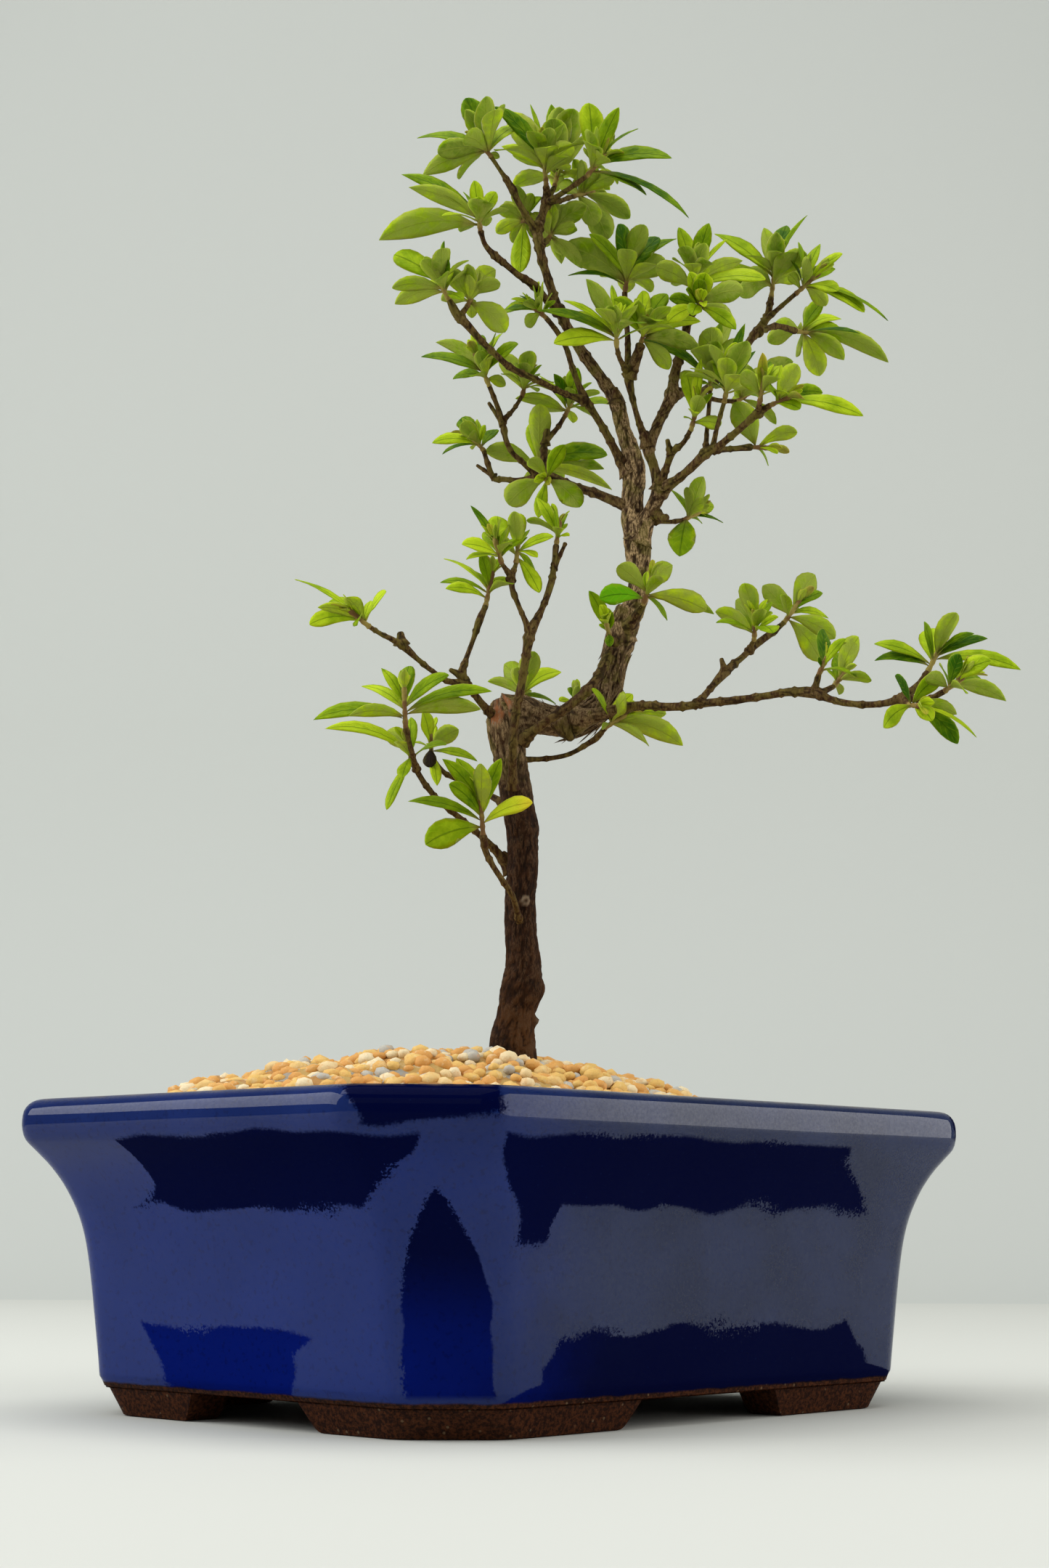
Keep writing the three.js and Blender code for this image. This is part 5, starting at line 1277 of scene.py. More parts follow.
SHOOTS = read_shoots("""
trunk: 2.8 62 0 6, 2.4 80 0 7, 2.2 96 0 7.5, 2 104 0 7.2, 1.7 110 0 6.9, 2.6 119 0 5.8, 4.2 127 0 6.3,
  4.9 134 0 5.6, 4.1 144 0 5.1, 4 154 0 4.8, 4.7 165 0 4.9, 4.4 175 0 5, 3.6 181 0 5.1, 2.1 190 0 5.1,
  0.2 200 0 5.3, -1 208 0 5.8, -1.8 212.5 0.5 5.4, -2.4 215.6 1 4;
elbow: -1 212 1 4.6, 5 214.3 2 4.3, 10 213.4 2 4, 15 212 3 4.3, 20 211.4 3 4.7, 25 213.5 3 4.7,
  29.3 217.3 3 4.5, 31.8 223 3 4.2, 33.3 230 3 4.1, 35 237 3 4.7, 37.5 244 3 4.3, 40.6 251 3 3.7,
  41.8 259 3 3.6, 41.3 266 3 4, 41 272 3 4.4, 39.8 279 4 3.8, 39.6 285 4 3.5, 40.1 291 4 3.6,
  39.6 297 4 3.7, 38.6 302 4 3, 37 307 4 2.5, 35.7 312.5 4 2.5, 34.3 318 3 2.6, 30.5 324 2 1.9,
  25.5 331 0 1.8, 21 338 -2 1.7, 17.3 345 -4 1.6, 14.5 352 -5 1.5, 12.2 359 -6 1.4, 10.2 366 -7 1.4,
  9 372 -8 1.6, 8.5 378 -8 1.7;
elbow_knob: 16.5 211 1 2.4, 19.5 206.8 0 1.6;
elbow_shoulder: -1 212.6 1 4.7, 5 213.4 1.5 5, 11 212.2 2 4.6, 18 211 2.5 4.4;
pruned_stub: 35.6 238 3 3.2, 35.7 243 2 3.2, 36.2 248 1 2.5;
leader_stub: 34.4 317 2 1.8, 34.2 322 1 0.7;
crown_left: 8.6 376 -8 1.3, 5 381 -10 1.1, 2 386.5 -12 1, 0 391 -14 1.3, -3.4 396.5 -15 0.7,
  -6.6 401.5 -16 0.7 | -9.8 405.8 -16 | -15.5 422.5 7 0.8, -31.5 408.2 5.5 0.4, -24.5 403 6 -0.6,
  -29.5 395 6 -0.8, 2.5 413 5 0.5, -4 401.5 4.5 -0.6;
crown_mid: 8.6 377 -8 1.4, 10.3 382 -7 1.3, 11.6 387 -6 1.6, 11.4 392 -9 0.8 | 10.4 404 -11 |
  -6 419.5 6 0.6, -2 417 8 -0.7, -3.5 405.5 4.8 0.7, 20.5 406 8.5 -0.9 | 6 420.5 3 0.2;
crown_mid_back: 11.6 386.5 -6 1.2, 14 391 -2 0.8 | 16 400.5 2 | 13 420.5 5 0.9, 24 418.5 6 0.7,
  27 411.5 3.5 -0.5, 21 407 6 0.5;
crown_right: 11.4 385.5 -6 1.3, 15 388 -9 0.9, 20 391.5 -12 0.8, 24.5 395 -14 0.8 | 29.5 401 -15 |
  25.5 421 8 0.7, 35.5 419.5 5 0.8, 31 413.5 10 -0.95, 53 401.5 6.5 0.6, 58.5 380.5 5 0.35,
  44.5 388.5 5 0.35 | 42 412 3 0.2;
crown_right_low: 13 386.5 -8 0.9, 16 386.5 -4 0.8, 20 388 0 0.8 | 26 389.5 3 | 39 380.5 6 -0.4,
  31.5 373 9 -0.9, 27.5 378 8 -0.8;
leader_right_low: 9.2 370 -8 1.1, 12 373 -3 0.8 | 14 376.5 0 | 24.8 384.8 7 -0.7, 21 377.5 6 -0.7,
  17 367.5 4.5 -0.4, 23.3 363 4.5 -0.5;
leader_left_low: 8 377 -8 1, 5 379.5 -4 0.7 | 3.2 379.4 -2 | -4.6 383.5 4.5 -0.5, 9 388 5 0.6,
  3 361.5 6.5 0.7;
crown_far_left: 15.5 348.5 -5 1.4, 11.5 352.5 -9 1.2, 7 357.5 -12 1.4, 2 361 -15 1, -2 364.5 -17 1,
  -5 367 -19 1.2, -8.5 371 -20 0.8, -10 375.5 -21 0.8 | -11 383 -21 | -36.5 395.5 5.5 0.45,
  -34 391 5 -0.5, -12.5 393.5 4.5 0.7, -5 389.5 6 0.7, -43.5 372.5 8 -0.7 | -16 389.5 3 0.2,
  -23 381 3 0.1, -6.3 382 2.5 0.4;
left_lead: 38.5 293.5 4 2.2, 35.3 298.5 3 1.5, 31.5 306 1 1.3, 27.5 313 -1 1.2, 24 319 -3 1.3,
  21.8 324 -4 1, 19.8 330 -5 0.9, 18 336 -6 0.9, 15 341.5 -9 0.9, 11.5 346 -11 0.8 | 7.5 349.5 -12 |
  -1.5 348.8 4.5 0.5, 3 353.5 4.5 0.4, 5 343 4.5 -0.5, 14.5 352 4 0.4;
long_left: 24 318 -3 1.3, 18 320 -6 1, 12 323 -9 1, 6 326 -12 1, 0 329 -15 1, -5 333.5 -18 1,
  -10 338.5 -20 1.1, -14 343.3 -22 1.3, -17.5 347 -23 1.5, -20 351.5 -24 1 | -24.5 360 -25 |
  -38.5 367.5 7.5 0.85, -39 356 4.5 -0.4, -38 350.5 5 -0.7, -15.8 352 7 0.6, -20.5 366 5 0.5 |
  -22 372.5 3 0.1;
long_left_inner: -16.8 346 -23 1.1, -14.5 349.5 -20 0.8 | -11.5 355.5 -18 | -5 362.5 6.5 -0.6,
  -5 357.5 4 0.3, -1.8 341 7.5 -0.6, -14 364.5 5.5 -0.5, -21 362.5 6.5 -0.6;
low_left: 40 281.5 4 2, 34 284 4 1.6, 28 286.5 5 1.5, 22 288.5 7 1.4, 16 291 9 1.4, 11.5 292.7 11 1.6,
  8 292 12 1.2, 3 291 14 0.9, -2 291.3 16 0.9, -5.3 291.8 17 1, -7.2 296.5 17 0.8, -8.4 300.5 17 0.8 |
  -11.5 304.3 17 | -25.3 303.3 4.5 0.6, -16.5 311.3 5.5 0.8, -4 308 4 0.7 | -22 299.5 3 0.2,
  -10.8 311.5 2.5 0.3, -8 309.5 2.5 0.3;
low_left_stub: -5 292 17 0.8, -10.5 295.8 18 0.6;
low_left_riser: 10.2 292.5 11 1.4, 10.9 298 12 1.2, 11.3 303.5 13 1.1, 15.2 308.5 14 0.8,
  17.6 312.5 15 0.7 | 20 317.8 16 | 9 326.5 4 0.4, 22 329 6 0.4, 1.5 318.5 4 -0.5, 32.5 316.5 5 0.4,
  14 327 3.5 0.8 | 26.5 324 2.5 0.2;
low_left_riser_stub: 11.3 303 13 1.1, 12 307.5 13 1;
low_left_fork: 8.5 293 12 1.2, 4 297 10 0.9, 0.5 300.5 9 0.9, -1.5 305 8 0.9, -2.4 310 8 1,
  -4.5 316.5 7 0.8, -6.8 322.5 6 0.8 | -11 332.3 4 | -29.3 332.5 5.5 0.5, -24.5 337.5 4.5 -0.4,
  -18.8 325 4.8 0.6, -1.6 322.8 4 -0.6, -13 340.5 3.5 0.4, 2.5 337 5.5 0.5;
low_left_fork_stub: -2.3 309.5 8 0.8, -6.9 316.8 9 0.6;
low_left_fork_right: -2.4 311 8 0.9, 1 314.8 10 0.7, 3.6 319 12 0.7 | 5 324.5 12 | 6.3 334.8 6.5 -0.7,
  -3.5 333.5 6 -0.7 | -2.5 327.3 2.5 0.2, 10.2 330 2 0.3;
low_left_bunch: 8.5 292.6 12 1, 8.4 294.5 15 0.8 | 9.8 297 19 | 7 310 6 0.7, -8 300.5 6 -0.5,
  31.5 299.5 8.5 0.6, 30.5 294.8 4.5 -0.6, 33 287.8 4 -0.4;
low_left_hanging: 12.5 291.6 10 1, 12.2 291.5 7 0.7 | 11.8 291.3 4.5 | -0.5 282.8 9.5 -0.9,
  22.5 282 9 -0.9, 6 298 5 -0.4;
second_stem: 41 270 3 3, 43.8 277.5 2 2.6, 46.4 283 1 2.3, 48.2 288.5 0 2.4, 46.3 296 -1 1.5,
  44.8 301.5 -2 1.9, 47.2 308.5 -1 1.7, 49.8 314 0 1.7, 52.3 319.5 0 2, 53.2 326 0 1.6, 55 333 -1 1.5,
  57 341 -2 1.4, 58.3 348 -3 1.3, 59.2 353.5 -4 1.2 | 60.7 363 -5 | 60 373.2 10.5 -0.95, 55 377.5 6 0.6,
  65 379 6 0.6, 47.3 363.5 8.5 -0.7, 83.5 359.5 7 0.4, 76 366 5 -0.5 | 71 373.5 3 0.2;
second_stem_low: 58 346 -3 1.2, 61 349 -8 0.7 | 62 351 -12 | 76 355.5 8.5 -0.9, 57.2 356 5 0.6,
  72 345.5 6 -0.7;
knot: 48.3 288 0 2.2, 48.6 292.7 -1 1;
mid_lead: 44.6 302.5 -2 1.6, 41.6 311 -4 1, 39.8 318 -6 0.9, 38.5 325 -7 1.5, 38.2 332 -6 1.1,
  38.1 340 -4 0.9, 37.4 348 -2 0.9, 37.2 354.5 -1 0.9 | 39 365.5 0 | 17 370.8 9 -0.6, 25.5 375 6 0.5,
  18.5 360.5 3.5 0.2, 35 378.5 8 0.6, 48.5 374 8.5 0.6, 51 365.5 9 -0.95, 54.5 373.5 4 0.6;
mid_stub: 44.5 303 -2 1.7, 43.6 306.5 -3 1.5;
mid_dark: 38.6 326 -7 1.6, 40.6 331.5 -9 1.7, 42.2 336.5 -10 1.3 | 43.8 342.8 -11 | 33.6 352.5 6.5 0.8,
  43 355.5 5.5 0.6, 51 354.5 6 0.6, 61.5 335.5 5.5 -0.5, 41 330.3 6 -0.6, 51.5 328.5 5 -0.7,
  58.5 340 4.5 0.4, 52.5 348 4.5 -0.5 | 62 345 5.5 0.6, 36 347 4.5 0.5;
mid_yellow: 38.3 327 -7 1.2, 35.6 332 -13 0.8, 34.6 336 -16 0.7 | 34.4 343.5 -18 | 8.5 348.5 5 0.5,
  14 337.2 6.5 0.7, 18.5 347.3 6 0.6, 17 352 3.5 0.3, 24.5 359.5 5.5 -0.5 | 33 357.5 3 0.3;
back_right: 52.4 319.8 0 1.7, 56.5 321 4 1.5, 61 320.5 8 1.4, 66 324 11 1.3, 73 331.5 13 1.3,
  79 340 14 1.3, 83.6 346.8 14 1.2, 85 353 13 1 | 87 367 12 | 66.5 375.3 7.5 0.5, 90.5 378.3 6 0.6,
  83 377.5 5 -0.5, 97 368.5 8 -0.8, 96 361 6 -0.6, 76.5 362.5 5 -0.6 | 97.5 382 2 0.3, 68 356 7 -0.8,
  75 353.5 5.5 -0.6, 64.8 361.5 6.5 0.6;
back_right_low: 60.5 320.3 8 1, 67 318.3 10 0.8, 73 317.8 11 0.8 | 78 321 12 | 76 331 8.5 -0.8,
  92 331.5 7 -0.8, 84.5 328 6 -0.7, 69.5 327.5 4.5 0.5;
far_fork: 82.5 345 14 1, 88.5 350.5 11 0.8, 93 354.5 9 0.7 | 99.5 360.5 7 | 101.5 372 4.5 0.4,
  108.8 368.5 4.5 0.6, 91 361.5 8 -0.8, 115.5 348.3 6.5 0.4 | 123.3 345.3 3 0.2, 107 355.6 5 0.6,
  103 350.5 5 -0.7;
far_right: 80.5 341.5 14 1.2, 86.5 343.5 20 1, 92.5 342 25 1.2 | 98.5 341 27 | 123 331.2 5.5 -0.6,
  108 346 5 0.5, 108.5 332 5.5 -0.8, 100.5 326.5 7 -0.8, 84 337.8 6 -0.6, 102 352 7 0.5,
  86 344.3 4.5 -0.6 | 114 341 3 0.3, 108.4 341 6 0.7, 98 333 5.5 -0.8;
small_riser: 48.6 290 -1 1.4, 50.7 296 -3 1.1, 52.4 300.6 -4 1.3, 56 303.8 -6 0.8, 58.4 308 -8 0.8 |
  60.5 316 -10 | 57 328 5.5 0.6, 62 332.5 3.5 0.5, 68.3 309.8 4.8 -0.7 | 56.3 312.3 2 0.2;
small_riser_stub: 52 300 -4 1, 50.9 304.5 -5 0.7;
right_arm: 48.6 288 0 2, 54 291.5 -4 1.5, 59 296 -7 1.4, 63.5 300.6 -10 1.6, 67 302.3 -12 1.3,
  72 306.5 -15 1.1, 76.5 310.5 -17 1.1, 80.3 314 -19 1.3, 84 316.4 -21 0.9 | 89 318.6 -23 |
  114.5 313 5.5 0.6, 94 315.3 4 0.6, 92.5 324.3 4.5 0.6, 93.5 330.5 6 -0.8;
right_arm_upper: 80.3 313.6 -19 1.1, 80.8 317 -22 0.8 | 82 323.5 -24 | 84.5 331.5 4 0.7,
  75 327.5 7.5 -0.8, 82 334.5 3.5 0.7, 88 330 4 0.6;
right_arm_first: 63.2 300.4 -10 1, 63.7 308 -7 0.7, 64.4 316 -5 0.7, 64.8 321 -4 0.7 | 65.2 330 -4 |
  42 338.7 5 0.4, 59.3 338.7 5 0.45, 68.5 344.8 4.5 0.6, 73 346 4.5 -0.5, 61.3 324 3.5 0.5;
right_arm_second: 65.3 301.3 -11 1, 67 309 -12 0.7, 69.2 317 -13 0.7 | 71.5 327.5 -14 | 73.5 338 5 0.8,
  79.8 335 3.5 0.6, 76.5 344.5 3.5 0.6, 66 333.5 4.5 0.5;
right_arm_stub: 66 301.6 -11 1.1, 72 301.8 -9 0.9, 77.6 302.4 -8 1.2 | 82.5 302.2 -7 | 72.5 317.5 10 -0.8,
  93 307.5 4.5 -0.5 | 86.5 300.2 3 0.3;
twin_stub: 46.8 279.8 1 1.4, 50 278.6 -2 1.1;
twin_twig: 47 277.8 1 1, 51.5 277.3 3 0.7, 55.5 277.9 4 0.7 | 59.5 279.8 5 | 54.5 265.8 8.5 0.75,
  62.5 292.5 5.5 -0.6, 65.8 282.3 4.5 -0.6 | 51.3 288.3 3 0.3, 68.7 277 2.5 0.2;
front_stem: 1.4 190 -3.5 1.4, 1.3 199 -6.6 1.3, 1.6 208 -8.5 1.3, 2.6 216 -9.5 1.3, 4 224 -10 1.3,
  5.3 232 -11 1.3, 6.8 240.5 -12 1.7, 10.5 248.5 -12 1, 13.2 256.2 -11 1.1, 14.3 263 -10 0.9,
  14.9 269 -10 1 | 15.8 275.5 -10 | 8.6 285.3 4.5 0.6 | 14.3 281 3 0.3, 18.7 279.8 2.5 0.2,
  19.2 272.5 2.5 0.3;
front_stem_stub: 14.2 261.5 -10 0.8, 17.8 269.8 -8 0.6;
front_stem_left: 6.9 240 -12 1.2, 4 247 -13 0.8, 1.2 254 -14 0.9, 0.2 259 -14 1, -2.3 263 -15 0.7 |
  -4.3 269.5 -16 | -12.7 282.5 3.5 0.3, -4 279 6.5 0.85, -15.4 269.5 5 0.6, 4.5 271.5 3.5 0.5 |
  -14 264.5 3 0.3;
front_stem_right: 0.4 257.8 -14 1, 2 263 -12 0.7 | 2.8 271.5 -11 | 2.5 280 5 0.85, 14.2 272.2 4 0.5,
  9.6 253.6 4.5 0.75 | 9 265.3 3 0.3, 6.5 274.5 2.5 0.3, 8.7 258.6 3 0.4;
left_arm: -4 212.5 0 1.6, -8.5 217.3 -4 1.2, -12 222 -8 1.1, -14.8 226.5 -11 1.5, -13.6 232 -11 0.8,
  -11.2 239 -11 0.8, -9.5 244.5 -11 1.2, -7.7 249 -11 0.8 | -5.8 258.5 -11 | -20.5 254.8 4 0.5,
  -9.5 266.8 4 0.6, -0.5 258.5 4 0.5, -5 265 3.5 0.5 | -21.3 264.8 3 0.2, -22.3 256.8 3 0.3,
  -14.5 262 3 0.2;
left_arm_stub: -14.8 226.3 -11 1.2, -18.5 228.2 -12 0.7;
far_left_arm: -13.8 224.3 -10 1.2, -19.5 224.6 -14 0.9, -24 227.6 -18 0.8, -29 231.6 -22 0.8,
  -33.5 235.8 -25 1.2, -37 238 -28 0.9, -41 240 -31 0.7, -44.5 242.2 -34 0.7 | -49.5 246.3 -36 |
  -69 257.8 3.2 0.2, -63.8 242.8 5 0.75, -61.3 248.5 3.5 -0.4, -52 252 5 -0.5 | -49 250.8 2.5 0.3,
  -44.3 250.8 3 0.5;
far_left_stub: -34.2 236.5 -25 1.3, -34.6 239.8 -25 1.1;
lower_left: 1 164 2 1.8, -5 171.5 0 1.2, -11 177 -3 1, -17 182 -6 0.9, -22.3 186.5 -9 0.9,
  -26.4 191.5 -12 0.9, -30 197.5 -15 0.9 | -32 203.5 -17 | -38.3 183 4 0.4, -33.5 193.2 4 0.6,
  -38.5 208.5 5.5 -0.7, -58.3 209 4.5 0.5;
lower_left_top: -29 196 -15 0.9, -31 203 -20 0.8, -32.6 209.5 -22 0.8 | -33.2 220.5 -23 | -32 229.5 5 0.9,
  -40.7 228.8 3.5 0.6, -47 222.8 4 0.5, -19 226.5 5 0.6, -5.3 221.3 4.5 0.5, -62 211.8 5.5 0.6,
  -8.8 215.5 5 -0.5, -51 213 4 -0.5;
dry_bud_twig: 1 184 2 1.4, -8 189 8 0.9, -14 192 8 0.8, -20 194.8 6 0.8, -23.7 199 5 0.8 | -24.8 206 4 |
  -27.5 215 5 0.5, -15.8 209 6 -0.6, -9.8 198.7 4 0.4, -22.5 190.8 3.5 0.6 | -25 196.6 5.5 0.9;
trunk_twig: 4.2 146 -1.5 1.2, 1.8 155 -6.5 0.9, -1.2 160 -8.5 0.9, -4.5 165 -10 0.9, -7 170 -11 1,
  -7.8 174.5 -12 1.2 | -8.8 188.5 -14 | -21 199.5 4.5 0.7, -16.5 199.8 6 0.6, -2.3 199.8 4.5 0.8,
  -8.5 198 6 -0.5, -31.7 185.8 4.5 0.5, 7.7 185.5 5.5 0.5, -18.8 191.3 5 0.7, -26 172 9 0.9;
lower_left_stub: 1 167 2 1.4, -1.3 169.5 1 0.7;
behind_elbow: 5 213.5 4 1.2, 4.5 218.8 7 0.8 | 4.4 221.8 8 | -1.6 230.3 7 -0.6, -6.8 224.5 3.5 -0.4,
  16.6 227.8 5.5 0.6 | 15 217.3 3 0.3;
behind_elbow_low: 19 213.5 5 1.1, 20.5 217.3 8 0.7 | 21 219 9 | 16 218.3 4 0.4, 19.3 222.8 4 0.5,
  27 219.5 4.5 0.5;
brace: 4.5 205.5 -2 1.6, 10 210.3 -5.5 1.4, 15 213.8 -6 1.5, 20 217.5 -6 1.5, 25 222 -4.5 1.6,
  28.5 226.5 -2.5 1.6, 31 231.5 0 1.7, 33 236.5 2 1.5;
under_twig: 3.5 199.3 1 1, 11 199.6 2 0.8, 17 200.5 1 0.75, 21 202 0 0.8, 25 204.5 -1 0.9,
  27.6 206.2 -1.5 1.1, 30.4 209.5 -3 0.8 | 35.5 213 -5 | 39.3 220.7 5.5 0.6, 50 214.2 6 -0.6,
  55.2 204 6.5 -0.6 | 29.5 209.3 3 -0.4, 44.5 203.7 3 -0.4;
mid_trunk_shoot: 38 242.5 1 2, 40.5 246 -3 1.6, 42.5 249.5 -6 1.1 | 45 257 -8 | 34.8 262.8 6.5 -0.7,
  28.8 251.8 9.5 0.9, 52.3 263 7 -0.6, 63 248.2 6.5 -0.5, 65.5 246.8 4 -0.7 | 46.5 264.5 3 0.3,
  50.5 244.6 3 0.3;
mid_trunk_left: 34 237 1.5 1.5, 32.2 239 -3 0.8 | 31.3 242.5 -6 | 30 249 4 0.6 | 28.8 243.5 3 0.4,
  33 247.5 3 0.5;
long_right: 22 212.3 0 2.6, 31 214.5 -4 2, 38 216.4 -8 1.6, 44 217 -11 1.4, 50 216.6 -13 1.3,
  56 216.8 -15 1.3, 62 217.8 -17 1.3, 72 218.8 -20 1.2, 82 220.3 -22 1.1, 89 221.5 -24 1.3,
  97 221.3 -26 1.7, 102 219.3 -27 1.1, 108 217.9 -29 1, 115 217.6 -31 1, 121 218.4 -33 1.1,
  125.5 220.2 -34 1.5, 130 224 -33 0.9, 133 228 -33 0.9 | 137.3 236 -33 | 116.3 237.3 4.5 0.5,
  116.3 231.8 4 0.6, 132.5 244.8 3.5 0.4, 134 242.3 7 0.8, 142.8 247.8 6 -0.5, 152.7 239.2 4 0.5,
  163 229 5 0.6 | 148.5 240.8 2.5 0.2;
long_right_end: 125 219.8 -34 1.2, 133 219.5 -37 0.9, 138 221.8 -39 0.9 | 143 225.5 -40 |
  143.8 234 5.5 0.6, 153.5 232 6 0.5, 132.5 226.5 5.5 -0.6, 158 218.8 4.5 -0.6;
long_right_low: 124.5 219.6 -34 1.1, 127 217.6 -38 0.7 | 129.5 217.3 -41 | 134.3 212.3 6.5 0.9,
  142.2 214.5 4 -0.7, 122.8 227 4 0.5 | 148.3 207 2.5 0.2;
right_sub: 60 217.6 -17 1.2, 64 222.5 -15 1, 68.6 227.8 -13 1.5, 74 232.6 -10 1, 79.5 237.6 -8 1.1,
  84 241 -6 1.1, 87.5 244 -5 0.8 | 92 250 -4 | 98 260 7 -0.7, 100.3 254 4.5 0.5, 102 245.6 3.5 0.4,
  81 256.3 6 -0.6, 104 239 5.5 -0.6, 99.5 231.5 7 -0.8 | 87.5 255 2.5 0.3;
right_sub_mid: 76.5 234.8 -9 1, 78 238.3 -12 0.7 | 78.5 244 -14 | 75.3 257.2 6 -0.6, 72.3 251.5 5.5 -0.6,
  65.8 247.6 5.5 -0.4, 84 251 3.5 0.5 | 86 246 3 0.3, 66 244 3 0.3;
right_sub_stub: 68.8 228 -13 1.1, 67.7 232 -13 0.7;
long_right_first: 97 221.8 -26 1.1, 98.5 227 -27 0.7 | 100.8 231.8 -28 | 107.5 239 3.5 0.5 |
  98.5 232.8 2.5 0.3;
long_right_second: 98.5 221 -26 1.1, 103 223.3 -23 0.8 | 106 226.8 -22 | 111.5 239.7 6 -0.7,
  105.5 234.8 4 0.6 | 100.8 229.3 2.5 0.3;
""")


class Limb:
    """A shoot's wood as even steps along a curve, with a frame that turns smoothly with it.

    Attributes:
        centres, radii: The curve's points and its radius at each.
        along: How far along the curve each point is.
        heading, sideways, turned: The frame at each point, three unit vectors.
    """

    def __init__(self, shoot: Shoot, layout: Layout, spacing: float) -> None:
        """Places the shoot's points in space and runs a curve through them.

        Args:
            shoot: The drawn shoot.
            layout: How it was drawn.
            spacing: About how far apart the steps come.
        """
        drawn = np.array(shoot.points, float)
        knots = np.column_stack([layout.place(layout.deepened(drawn[:, :3])), drawn[:, 3]])
        curve = spline(knots, spacing)
        self.centres = curve[:, :3]
        self.radii = np.maximum(curve[:, 3], THINNEST_TWIG)
        steps = np.linalg.norm(np.diff(self.centres, axis=0), axis=1)
        self.along = np.concatenate([[0.0], np.cumsum(steps)])
        self.heading = unit(np.gradient(self.centres, self.along, axis=0))
        choices = np.array([layout.away, layout.across, layout.upward,
                            unit(layout.away + layout.across), unit(layout.away - layout.across),
                            unit(layout.away + layout.upward), unit(layout.across + layout.upward)])
        worst = np.abs(self.heading @ choices.T).max(axis=0)
        reference = choices[np.argmin(worst)]
        across = reference - self.heading * (self.heading @ reference)[:, None]
        self.sideways = unit(across)
        self.turned = np.cross(self.heading, self.sideways)

    def radial(self, angles: Array) -> Array:
        """Outward directions at each step: sideways cos a + turned sin a."""
        return (self.sideways[:, None] * np.cos(angles)[..., None]
                + self.turned[:, None] * np.sin(angles)[..., None])

    def at(self, along: Array) -> tuple[Array, Array, Array, Array]:
        """The centre, radius, sideways and turned directions at places along the curve."""
        def read(rows: Array) -> Array:
            """Rows of three numbers read off between the curve's points."""
            return np.stack([np.interp(along, self.along, rows[:, k]) for k in range(3)], axis=-1)
        return (read(self.centres), np.interp(along, self.along, self.radii),
                unit(read(self.sideways)), unit(read(self.turned)))


@dataclass(frozen=True)
class Knot:
    """A bump, ring scar or hollow on the bark.

    Attributes:
        place: Its middle [across, up, away] as drawn.
        radius: How far it reaches.
        height: How far it stands out; below 0 it is a hollow.
        ring: The radius of a raised ring, or 0 for a plain bump.
        scar: How pale it is, 0 to 1.
    """

    place: tuple[float, float, float]
    radius: float
    height: float
    ring: float = 0.0
    scar: float = 0.0


